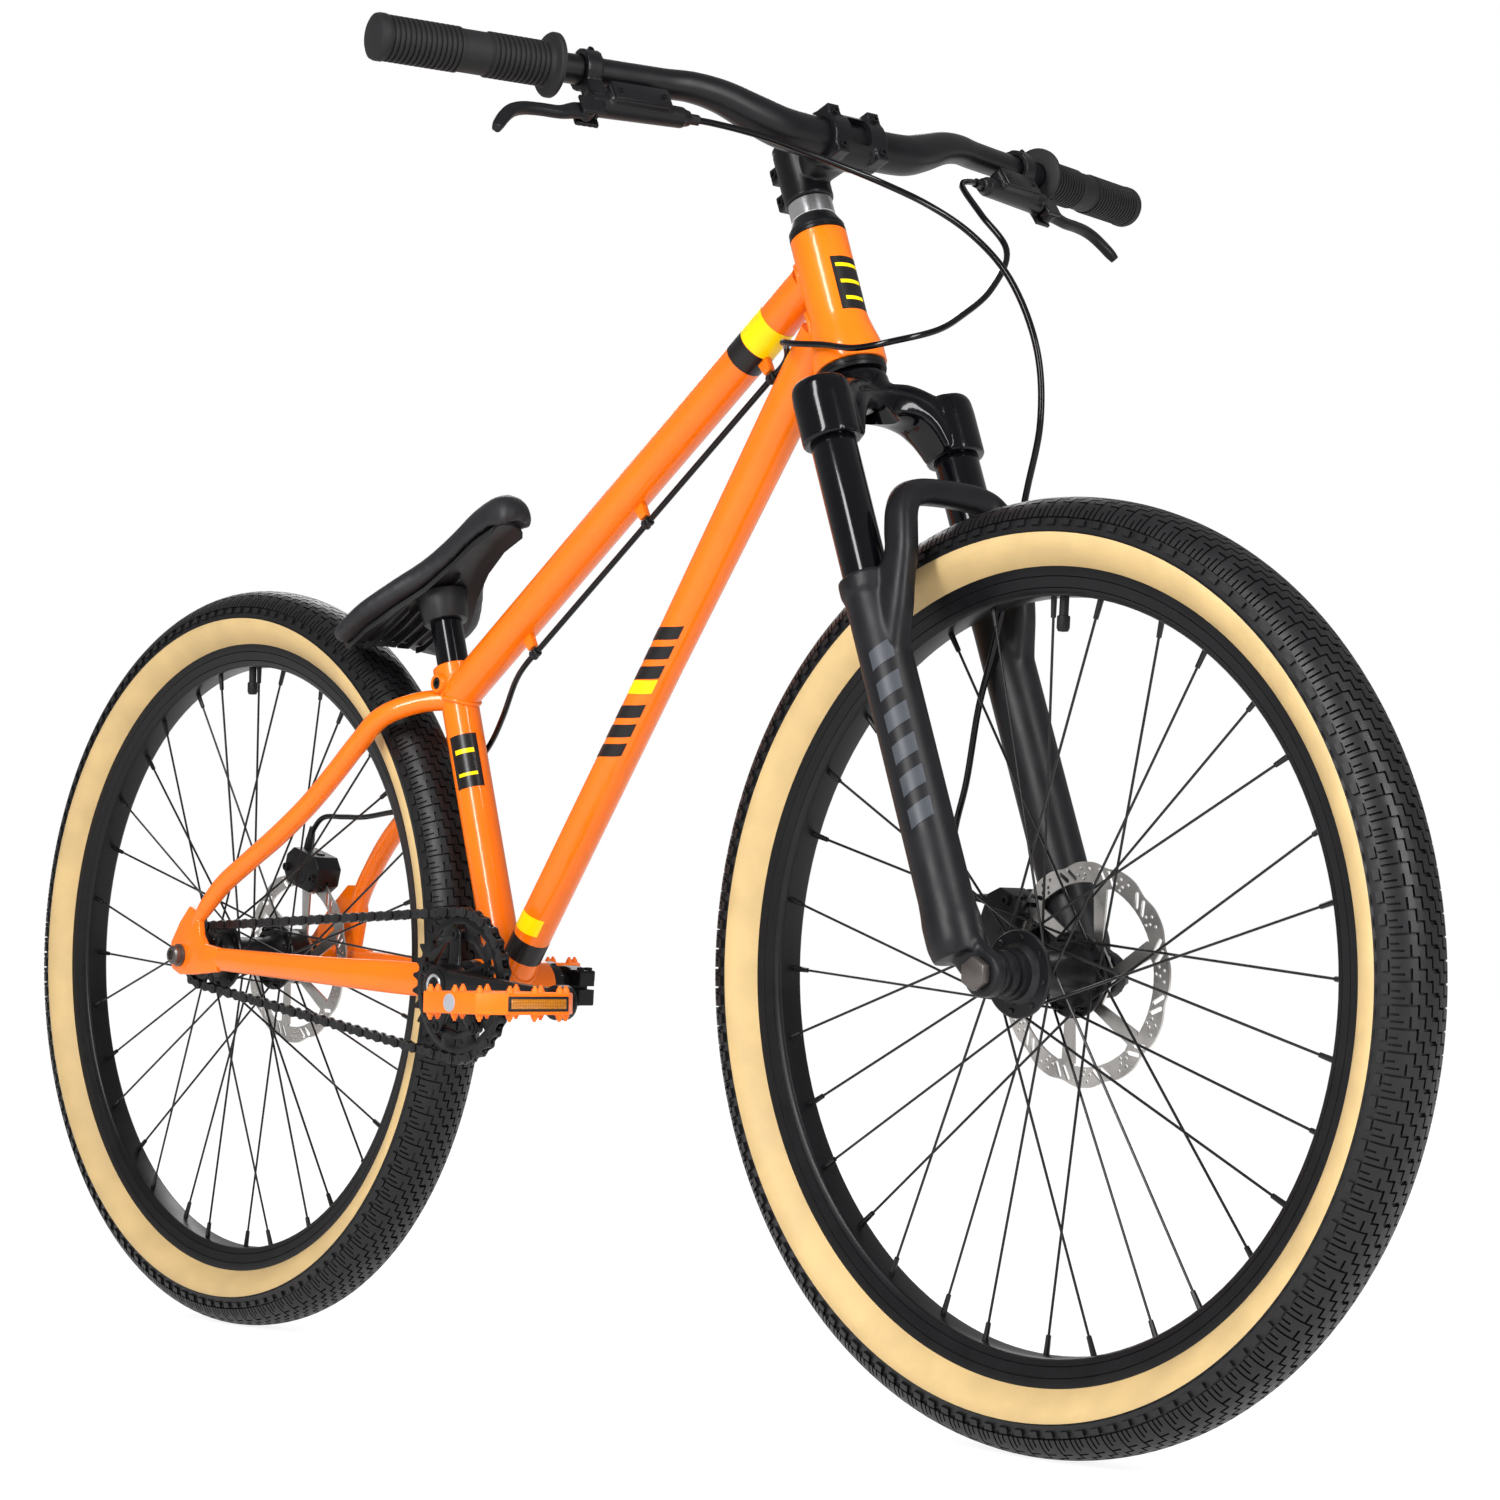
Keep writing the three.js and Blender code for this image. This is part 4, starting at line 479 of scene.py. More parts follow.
def color_by(surface, source, positions, colors):
    """Colours a surface between two colours by a pattern's value."""
    links = surface.id_data.links
    ramp = add_node(surface.id_data, "ValToRGB")
    for stop, position, color in zip(ramp.color_ramp.elements, positions, colors):
        stop.position = position
        stop.color = (*color, 1)
    links.new(source, ramp.inputs["Fac"])
    links.new(ramp.outputs["Color"], surface.inputs["Base Color"])


def raise_by(surface, source, height, strength):
    """Raises a surface by a pattern's value, over the bump that it already has."""
    links, normal = surface.id_data.links, surface.inputs["Normal"]
    bump = add_node(surface.id_data, "Bump", Strength=strength, Distance=height * MM)
    links.new(source, bump.inputs["Height"])
    if normal.links:
        links.new(normal.links[0].from_socket, bump.inputs["Normal"])
    links.new(bump.outputs["Normal"], normal)


def grain(surface, color, scale, change, bump_scale, bump_height, roughness_range):
    """Mottles the colour and roughness and adds a fine bump, all on Object coordinates."""
    tree = surface.id_data
    blotches = pattern(tree, "TexNoise", Scale=scale, Detail=5).outputs["Fac"]
    dark, bright = [c * (1 - change) for c in color], [min(c * (1 + change), 1) for c in color]
    color_by(surface, blotches, (0.35, 0.65), (dark, bright))
    low, high = roughness_range
    spread = add_node(tree, "MapRange", From_Min=0.3, From_Max=0.7, To_Min=low, To_Max=high)
    tree.links.new(blotches, spread.inputs["Value"])
    tree.links.new(spread.outputs["Result"], surface.inputs["Roughness"])
    pores = pattern(tree, "TexNoise", Scale=bump_scale, Detail=3)
    raise_by(surface, pores.outputs["Fac"], bump_height, 0.6)


def plain(name, color, roughness, metallic=0.0, change=0.08, bump_scale=1500, bump_height=0.02, **sockets):
    material, surface = shader(name, color, roughness, metallic, **sockets)
    grain(surface, color, 45, change, bump_scale, bump_height, (roughness * 0.9, min(roughness * 1.15, 1)))
    return material


def tan_rubber(name, color):
    """A tan tyre sidewall with its crossed threads showing through."""
    material, surface = shader(name, color, 0.62)
    grain(surface, color, 28, 0.07, 900, 0.05, (0.5, 0.72))
    tree = surface.id_data
    turn = pattern(tree, "Mapping", Rotation=(math.radians(90), math.radians(45), 0))
    threads = add_node(tree, "TexBrick", Scale=260, Mortar_Size=0.05)
    tree.links.new(turn.outputs["Vector"], threads.inputs["Vector"])
    raise_by(surface, threads.outputs["Fac"], 0.1, 0.25)
    return material


def reflector_plastic(name, color):
    """Amber plastic with the small cells of a reflector."""
    material, surface = shader(name, color, 0.2, Coat_Weight=0.6, Coat_Roughness=0.1)
    cells = pattern(surface.id_data, "TexVoronoi", Scale=420, Randomness=0.0).outputs["Distance"]
    color_by(surface, cells, (0, 1), ([c * 1.3 for c in color], [c * 0.5 for c in color]))
    raise_by(surface, cells, 0.3, 1)
    return material


FINISHES = {}


def make_finishes(paint, tan):
    FINISHES.update(
        paint=plain("orange_paint", paint, 0.3, change=0.02, bump_scale=700, bump_height=0.008,
                    Specular_IOR_Level=0.2, Coat_Weight=0.45, Coat_Roughness=0.04),
        gloss=plain("gloss_black", (0.002, 0.002, 0.003), 0.14, change=0.1, bump_height=0.006,
                    Specular_IOR_Level=0.16, Coat_Weight=0.2, Coat_Roughness=0.04),
        satin=plain("satin_black", (0.0045, 0.0045, 0.0055), 0.33, change=0.12, bump_height=0.015,
                    Specular_IOR_Level=0.24),
        matt=plain("matt_black", (0.0055, 0.0055, 0.007), 0.42, change=0.12, bump_scale=2200, bump_height=0.03,
                   Specular_IOR_Level=0.26),
        anodised=plain("anodised_black", (0.016, 0.016, 0.018), 0.34, metallic=0.6, bump_height=0.01),
        hard_black=plain("spoke_black", (0.012, 0.012, 0.013), 0.3, metallic=0.5),
        rubber=plain("black_rubber", (0.008, 0.008, 0.009), 0.6, bump_scale=1800, bump_height=0.05,
                     Specular_IOR_Level=0.28),
        tread=plain("tread_rubber", (0.006, 0.006, 0.007), 0.42, bump_scale=1300, bump_height=0.08,
                    Specular_IOR_Level=0.34),
        sidewall=tan_rubber("tan_sidewall", tan),
        steel=plain("machined_steel", (0.56, 0.54, 0.52), 0.3, metallic=0.95, change=0.12,
                    bump_scale=900, bump_height=0.02),
        grey_steel=plain("grey_nut", (0.13, 0.115, 0.11), 0.36, metallic=0.8, change=0.15),
        chain_steel=plain("chain_black", (0.022, 0.022, 0.024), 0.36, metallic=0.6, change=0.25),
        silver=plain("silver_metal", (0.6, 0.6, 0.61), 0.2, metallic=0.9),
        plastic=plain("orange_plastic", paint, 0.4, change=0.05, bump_scale=1200, bump_height=0.05,
                      Specular_IOR_Level=0.3),
        amber=reflector_plastic("amber_reflector", (0.42, 0.14, 0.005)),
        cover=plain("saddle_cover", (0.011, 0.011, 0.013), 0.5, change=0.15, bump_scale=1600, bump_height=0.08,
                    Specular_IOR_Level=0.35),
        black_plastic=plain("black_plastic", (0.009, 0.009, 0.01), 0.48, bump_scale=1400, bump_height=0.05,
                            Specular_IOR_Level=0.35),
        yellow_film=plain("yellow_film", (0.95, 0.68, 0.0), 0.3, change=0.03, Specular_IOR_Level=0.25),
        black_film=plain("black_film", (0.01, 0.008, 0.008), 0.3, change=0.05, Specular_IOR_Level=0.3),
        grey_film=plain("grey_film", (0.045, 0.05, 0.06), 0.4, change=0.05, Specular_IOR_Level=0.3),
        disc=plain("grey_disc", (0.33, 0.34, 0.38), 0.4, change=0.05),
    )


# Wheels

WHEELS = {
    "front": {"axle": FRONT_AXLE, "body": "front_wheel", "rotor_plane": 39.6, "valve_angle": 87},
    "rear": {"axle": REAR_AXLE, "body": "rear_wheel", "rotor_plane": 52.2, "valve_angle": 91},
}
TYRE_RADIUS = 335
TYRE_HALF_WIDTH = 29.5
TYRE_WIDEST = 303.5
TYRE_SQUARENESS = 2.3
TREAD_DEPTH = 2.2
TREAD_TILES = 138
TREAD_EDGE_ANGLE = 9.0
# One tile of the tread from its left edge to its middle: how wide each row is in millimetres, into how
# many strips it is divided, and which of the tile's ten columns are raised. Two raised squares never
# meet at a corner alone.
TREAD_HALF = [
    (3.4, 1, ".........."),
    (4.0, 1, "#####....."),
    (1.2, 1, ".........."),
    (5.6, 2, "###.##.##."),
    (2.6, 1, "######.##."),
    (3.0, 1, "#########."),
    (1.4, 1, "####......"),
    (3.2, 1, "#########."),
    (1.4, 1, ".....####."),
    (3.2, 1, "####.#####"),
    (1.4, 1, "####......"),
    (3.2, 1, "#########."),
    (1.4, 1, ".....####."),
]
TREAD_ROWS = [*TREAD_HALF, (4.8, 2, "####..####")]
TREAD_ROWS += [(width, strips, row[::-1]) for width, strips, row in reversed(TREAD_HALF)]
# The sidewall from the tread's edge to the bead, then round inside: [radius, half width]
SIDEWALL = [
    (308.2, 28.7), (305.6, 29.5), (301.0, 29.0), (296.0, 26.4), (290.5, 21.6), (286.2, 16.6), (284.6, 14.2),
]
TYRE_INSIDE = [(284.6, 12.8), (303.0, 25.5), (328.0, 12.0)]


def tyre_surface(angle, depth):
    """[radius, place across] of the tyre's outside, by an angle from its widest place over the crown."""
    c, s = math.cos(angle), math.sin(angle)
    power = 2 / TYRE_SQUARENESS
    half = math.copysign(abs(c) ** power, c) * (TYRE_HALF_WIDTH - depth)
    return TYRE_WIDEST + abs(s) ** power * (TYRE_RADIUS - TYRE_WIDEST - depth), half


def tread_angles():
    """The angles over the crown at which the tread's strips begin and end, evenly spread by distance."""
    steps = 2000
    first, last = math.radians(TREAD_EDGE_ANGLE), math.pi - math.radians(TREAD_EDGE_ANGLE)
    angles = [first + (last - first) * i / steps for i in range(steps + 1)]
    places = [Vector(tyre_surface(angle, 0)) for angle in angles]
    lengths = [0.0]
    for before, after in zip(places, places[1:]):
        lengths.append(lengths[-1] + (after - before).length)
    total = sum(width for width, _, _ in TREAD_ROWS)
    wanted, reached = [0.0], 0.0
    for width, strips, _ in TREAD_ROWS:
        wanted += [reached + width * (k + 1) / strips for k in range(strips)]
        reached += width
    found, k = [], 0
    for want in wanted:
        while k < steps and lengths[k] < want / total * lengths[-1]:
            k += 1
        found.append(angles[k])
    return found


def tread_tile(name):
    """One tile of a tyre, right round its section, with the tread's bars raised."""
    angles = tread_angles()
    base = [tyre_surface(angle, TREAD_DEPTH) for angle in angles]
    left = SIDEWALL + TYRE_INSIDE
    section = left[::-1] + base + [(radius, -half) for radius, half in left]
    columns = len(TREAD_ROWS[0][2])
    deselect()
    bpy.ops.mesh.primitive_grid_add(x_subdivisions=columns, y_subdivisions=len(section))
    piece = named(name)
    for i, vertex in enumerate(piece.data.vertices):
        radius, across = section[i // (columns + 1) % len(section)]
        angle = WHOLE / TREAD_TILES * (i % (columns + 1)) / columns
        vertex.co = (around(angle) * radius + LEFT * across) * MM
    piece.data.materials.append(FINISHES["tread"])
    piece.data.materials.append(FINISHES["sidewall"])
    strips = [row for _, count, row in TREAD_ROWS for _ in range(count)]
    first = len(left)
    tan_rows = range(len(TYRE_INSIDE), len(left) - 1)
    bpy.ops.object.mode_set(mode="EDIT")
    bpy.ops.mesh.select_all(action="DESELECT")
    bpy.ops.mesh.select_mode(type="FACE")
    mesh = bmesh.from_edit_mesh(piece.data)
    mesh.faces.ensure_lookup_table()
    for face in mesh.faces:
        row, column = face.index // columns, face.index % columns
        face.select_set(0 <= row - first < len(strips) and strips[row - first][column] == "#")
        face.material_index = int(min(row, len(section) - 2 - row) in tan_rows)
    bmesh.update_edit_mesh(piece.data)
    bpy.ops.mesh.extrude_region_move(TRANSFORM_OT_translate={"value": (0, 0, 0)})
    mesh = bmesh.from_edit_mesh(piece.data)
    for vertex in mesh.verts:
        if vertex.select:
            radius = math.hypot(vertex.co.x, vertex.co.z)
            place = Vector((radius, vertex.co.y)) / MM
            k = min(range(len(base)), key=lambda k: (Vector(base[k]) - place).length)
            high, across = tyre_surface(angles[k], 0)
            grown = high * MM / radius
            vertex.co = Vector((vertex.co.x * grown, across * MM, vertex.co.z * grown))
    bmesh.update_edit_mesh(piece.data)
    bpy.ops.mesh.select_mode(type="VERT")
    leave_edit()
    edit(piece)
    bpy.ops.mesh.remove_doubles(threshold=0.001 * MM)
    leave_edit()
    return piece


def make_tyre(name):
    """A tyre: its tile repeated right round by an array that a turned empty steers."""
    tile = tread_tile(name)
    deselect()
    bpy.ops.object.empty_add(location=(0, 0, 0))
    turner = bpy.context.object
    turner.rotation_euler = (0, -WHOLE / TREAD_TILES, 0)
    bpy.context.view_layer.update()
    apply_modifier(
        tile,
        "ARRAY",
        count=TREAD_TILES,
        use_relative_offset=False,
        use_object_offset=True,
        offset_object=turner,
    )
    bpy.data.objects.remove(turner)
    return tidy_normals(tile, 0.02 * MM)


# The rim's left half from its edge to its inner side, then the whole section: [radius, place across]
RIM_HALF = [
    (286.0, 15.5), (284.4, 15.5), (279.0, 14.6), (278.6, 13.9), (278.2, 14.4), (271.0, 12.9), (270.6, 12.2),
    (270.2, 12.7), (267.0, 11.6), (265.4, 10.0), (265.0, 8.6),
]
RIM_PROFILE = RIM_HALF + [(radius, -y) for radius, y in reversed(RIM_HALF)]
RIM_PROFILE += [(286.0, -13.6), (277.0, -13.6), (277.0, 13.6), (286.0, 13.6)]


def make_rim(name):
    return lathe(name, RIM_PROFILE, ORIGIN, LEFT, steps=144, closed=True)


SPOKE_RADIUS = 1.0
SPOKE_HEAD_CIRCLE = 26
SPOKE_END_CIRCLE = 264
SPOKE_CROSS_ANGLE = 67.5
SPOKES_A_SIDE = 16
SPOKE_SIDES = 8
SPOKE_PLANES = (24.95, 20.45)
SPOKE_END_PLANE = 4
NIPPLE_LENGTH = 13
ELBOW_REACH = 7


def make_spoke(name, hub_angle, rim_angle, plane):
    """One spoke with its head on the flange and its nipple at the rim; angles in degrees."""
    out = around(math.radians(hub_angle)) * SPOKE_HEAD_CIRCLE
    start = (out + LEFT * plane) * MM
    end = (around(math.radians(rim_angle)) * SPOKE_END_CIRCLE + LEFT * SPOKE_END_PLANE) * MM
    along = (end - start).normalized()
    head = (out + LEFT * (plane + ELBOW_REACH)) * MM
    return join(
        name,
        rod(name, start, end, SPOKE_RADIUS, sides=SPOKE_SIDES),
        rod(name, end - along * NIPPLE_LENGTH * MM, end + along * 1.5 * MM, 1.9, 2.3, sides=SPOKE_SIDES),
        rod(name, start - along * 0.6 * MM, head, SPOKE_RADIUS, sides=SPOKE_SIDES),
        rod(name, head - LEFT * MM, head, 2.1, 1.3, sides=SPOKE_SIDES),
    )


def make_spokes(name):
    """The left side's spokes, half of them leading and half trailing."""
    step = 360 / SPOKES_A_SIDE
    leading = make_spoke(name, 0, SPOKE_CROSS_ANGLE, SPOKE_PLANES[0])
    trailing = make_spoke(name, step, step - SPOKE_CROSS_ANGLE, SPOKE_PLANES[1])
    return ring_of(name, join(name, leading, trailing), SPOKES_A_SIDE // 2)


ROTOR_RADIUS = 80
ROTOR_WAVES = 12
ROTOR_THICKNESS = 1.8
ROTOR_ARMS = 6
ROTOR_BAND = 65.5
ROTOR_BOLT_CIRCLE = 21.5
# The holes of one wave: [radius from the axle, angle in radians]
ROTOR_HOLES = [(71.0, 0), (75.2, 0.05), (75.0, -0.055), (70.6, 0.09), (67.6, 0.02)]
ROTOR_HOLE_RADIUS = 1.35
ROTOR_SLOT_ANGLES = (0.19, 0.30)
ROTOR_SLOT_HALF_WIDTH = 1.7


def make_rotor(name, plane):
    """A wave disc with slots and holes in its band, on six leaning arms."""
    def polar(radius, angle):
        return Vector((radius * math.cos(angle), radius * math.sin(angle)))

    count = ROTOR_WAVES * 14
    outline = []
    for i in range(count):
        wave = (1 - math.cos(WHOLE * i * ROTOR_WAVES / count)) / 2
        outline.append(polar(ROTOR_RADIUS - 2.4 * wave**2, WHOLE * i / count))
    y0, y1 = plane - ROTOR_THICKNESS / 2, plane + ROTOR_THICKNESS / 2
    over = (y0 - 1, y1 + 1)
    disc = plate(name, outline, y0, y1)
    sector = WHOLE / ROTOR_ARMS
    window = [polar(27, 0.17), polar(27, sector - 0.17)]
    window += [polar(ROTOR_BAND - 2, sector + 0.26 - 0.07), polar(ROTOR_BAND, sector + 0.26 - 0.14)]
    window += [polar(ROTOR_BAND, 0.36 + (sector - 0.24) * (1 - k / 8)) for k in range(1, 9)]
    window += [polar(ROTOR_BAND - 2, 0.36 + 0.03)]
    parts = [
        cross_rod(name + "_hole", around(angle) * radius, *over, ROTOR_HOLE_RADIUS, sides=10)
        for radius, angle in ROTOR_HOLES
    ]
    for angle in ROTOR_SLOT_ANGLES:
        inner, outer = polar(68.4, angle - 0.05), polar(75.2, angle + 0.03)
        along = (outer - inner).normalized()
        side = Vector((-along.y, along.x))
        slot = []
        for end, turn in ((outer, -QUARTER), (inner, QUARTER)):
            for k in range(6):
                a = turn + math.pi * k / 5
                slot.append(end + (along * math.cos(a) + side * math.sin(a)) * ROTOR_SLOT_HALF_WIDTH)
        parts.append(plate(name + "_slot", slot, *over))
    cut(
        disc,
        ring_of(name + "_windows", plate(name + "_window", window, *over), ROTOR_ARMS),
        cross_rod(name + "_bore", ORIGIN, *over, 17.4),
        ring_of(name + "_cuts", join(name + "_cut", *parts), ROTOR_WAVES),
    )
    places = [around(sector * (i + 0.5)) * ROTOR_BOLT_CIRCLE for i in range(ROTOR_ARMS)]
    bolts = [cross_rod(name + "_bolt", place, y0, y1 + 2.2, 3.6, 3.1, sides=16) for place in places]
    return join(name, disc, *bolts)


# The hubs: [radius, place across]. Both share the flanges and the waist between them.
HUB_FLANGE = [(17, 16), (18.4, 22), (22.5, 26.6), (30.2, 26.6), (31, 27.4), (31, 29.2), (30.2, 30)]
HUB_MIDDLE = [(radius, -y) for radius, y in reversed(HUB_FLANGE)] + HUB_FLANGE + [(24, 30.6)]
HUB_PROFILES = {
    "front": [
        (10.6, -54.6), (14.5, -54.6), (14.5, -50), (16.6, -49.4), (16.6, -44), (15.2, -43.4), (15.2, -41),
        (18.4, -40.4), (18.4, -34), (20.5, -32), (22, -30), *HUB_MIDDLE, (24, 38.3), (17, 38.3), (17, 40.6),
        (14.5, 41.4), (14.5, 54.6), (10.6, 54.6),
    ],
    "rear": [
        (5.6, -67), (15.5, -67), (15.5, -58), (15, -57.4), (15, -40), (18, -38), (20, -34), (21, -30),
        *HUB_MIDDLE, (24, 50.9), (17, 50.9), (17, 53.2), (14.5, 54), (14.5, 67), (5.6, 67),
    ],
}


def make_hub(name, which):
    return lathe(name, HUB_PROFILES[which], ORIGIN, LEFT, steps=64, closed=True)


def make_valve(name, angle):
    """A tyre valve through the rim, with its cap."""
    profile = [
        (0, 267), (3.4, 267), (3.4, 252), (4.5, 251.5), (4.7, 250.6), (4.7, 243), (3.6, 240.6), (0, 240.2),
    ]
    return turned(lathe(name, profile, ORIGIN, UP, steps=24), math.radians(90 - angle))


# Frame tubes

TOP_TUBE_FROM = SEAT_TOP - SEAT_UP * 27
TOP_TUBE_TO = HEAD_TOP - STEERING_UP * 23
TOP_TUBE_ALONG = (TOP_TUBE_TO - TOP_TUBE_FROM).normalized()
TOP_TUBE_BELOW = Vector((TOP_TUBE_ALONG.z, 0, -TOP_TUBE_ALONG.x))
DOWN_TUBE_TO = HEAD_TOP - STEERING_UP * 61
DOWN_TUBE_ALONG = (DOWN_TUBE_TO - BRACKET).normalized()
TOP_TUBE_RADIUS = 16.6
DOWN_TUBE_RADIUS = 15.9
DOWN_TUBE_HEAD_RADIUS = 18.4
SEAT_TUBE_RADIUS = 15.9
SHELL_RADIUS = 22
BEAD_RADIUS = 2.1
BEAD_RIPPLE = 1.6
BEAD_SEARCH = 120
STAY_SPREAD = 71
SEATSTAY_RADIUS = 9
DROPOUT_REACH = 60
DROPOUT_FACES = (67.8, 74.8)
GUIDE_SHARES = [0.19, 0.505, 0.83]
HOSE_BELOW_TOP_TUBE = 33
# Stays: shares of the run to the axle, of the spread and of the drop, then half width and half height
# as shares of the seatstay radius
CHAINSTAY_SHARES = [
    (0.02, 0.3, 0.02, 0.75, 1.3), (0.09, 0.45, 0.09, 0.62, 1.5), (0.17, 0.535, 0.17, 0.55, 1.56),
    (0.25, 0.6, 0.25, 0.62, 1.56), (0.4, 0.775, 0.4, 0.8, 1.4), (0.6, 0.88, 0.6, 0.85, 1.25),
    (0.8, 0.965, 0.8, 0.7, 1.15), (0.9, 1, 0.9, 0.4, 1.1),
]
SEATSTAY_SHARES = [
    (0.01, 0.1, 0, 1, 1), (0.075, 0.33, 0.01, 1, 1), (0.16, 0.62, 0.065, 1, 1), (0.247, 0.7, 0.167, 1, 1),
    (0.338, 0.74, 0.276, 1, 1), (0.448, 0.785, 0.398, 1, 1), (0.578, 0.85, 0.52, 1, 1),
]
SEATSTAY_END_SHARES = {
    -1: [
        (0.7, 0.91, 0.62, 0.97, 0.97), (0.82, 0.955, 0.72, 0.93, 0.93), (0.9, 0.985, 0.82, 0.75, 0.75),
        (0.945, 1, 0.89, 0.4, 0.4),
    ],
    1: [
        (0.675, 0.91, 0.638, 0.97, 0.97), (0.74, 0.955, 0.735, 0.93, 0.93), (0.77, 0.985, 0.82, 0.75, 0.75),
        (0.79, 1, 0.89, 0.4, 0.4),
    ],
}
# The dropouts' outlines from the axle, as shares of their reach
DROPOUT_SHARES = {
    -1: [
        (-0.29, -0.04), (-0.24, 0.21), (-0.02, 0.5), (0.24, 0.74), (0.48, 0.6), (0.54, 0.3), (0.66, 0.17),
        (1, 0.12), (1, -0.24), (0.33, -0.29), (0, -0.29), (-0.2, -0.21),
    ],
    1: [
        (-0.28, 0.02), (-0.2, 0.22), (0.05, 0.34), (0.42, 0.7), (0.95, 1.1), (1.3, 1.1), (1.36, 0.7),
        (1.22, 0.16), (1.5, 0.12), (1.5, -0.2), (0.33, -0.3), (0, -0.29), (-0.2, -0.2),
    ],
}


def bent_stay(name, shares, start, end, side):
    """A stay through places worked out from its table of shares, its bends made round."""
    points = []
    for along, outward, down, wide, high in shares:
        x, z = start.x + (end.x - start.x) * along, start.z + (end.z - start.z) * down
        points.append((x, side * outward * STAY_SPREAD, z, wide * SEATSTAY_RADIUS, high * SEATSTAY_RADIUS))
    return bar(name, [(at(*place), wide, high) for *place, wide, high in smooth_path(points, 6)], sides=28)


def weld_bead(name, end, direction, radius, other_start, other_direction, other_radius):
    """The rippled bead where a round tube meets another, found along the tube's own lines."""
    across = direction.orthogonal().normalized()
    rise = direction.cross(across)
    count = round(WHOLE * radius / BEAD_RIPPLE)
    places, radii = [], []
    for i in range(count):
        angle = WHOLE * i / count
        point = end - direction * BEAD_SEARCH + (across * math.cos(angle) + rise * math.sin(angle)) * radius
        offset = point - other_start
        along = direction - other_direction * direction.dot(other_direction)
        away = offset - other_direction * offset.dot(other_direction)
        a, b, c = along.dot(along), 2 * along.dot(away), away.dot(away) - other_radius**2
        reach = (-b - math.sqrt(max(b * b - 4 * a * c, 0))) / (2 * a)
        places.append((point + direction * reach) * MM)
        radii.append(BEAD_RADIUS * (1.12 if i % 2 else 0.85))
    return tube(name, places, radii, sides=10, cyclic=True)


def down_tube_radius(share):
    if share <= 0.5:
        return DOWN_TUBE_RADIUS
    return DOWN_TUBE_RADIUS + (DOWN_TUBE_HEAD_RADIUS - DOWN_TUBE_RADIUS) * min((share - 0.5) / 0.4, 1)


def make_dropout(name, side):
    y0, y1 = sorted(side * y for y in DROPOUT_FACES)
    over = (y0 - 2, y1 + 2)
    outline = [
        (REAR_AXLE.x + x * DROPOUT_REACH, REAR_AXLE.z + z * DROPOUT_REACH) for x, z in DROPOUT_SHARES[side]
    ]
    dropout = plate(name, outline, y0, y1)
    cut(dropout, cross_rod(name + "_hole", REAR_AXLE, *over, 5.3))
    if side > 0:
        cut(dropout, cross_rod(name + "_window", REAR_AXLE + Vector((0.7, 0, 0.2)) * DROPOUT_REACH, *over, 10))
    return bevel(dropout, 1.4, 3, 30)


def make_hose_tab(name, share):
    middle = TOP_TUBE_FROM.lerp(TOP_TUBE_TO, share)
    corners = []
    for along, down in ((6, 14), (-6, 14), (-4, 27.9), (4, 27.9)):
        place = middle + TOP_TUBE_ALONG * along + TOP_TUBE_BELOW * down
        corners.append((place.x, place.z))
    return bevel(plate(name, corners, -3, 3), 1.0, 2, 30)


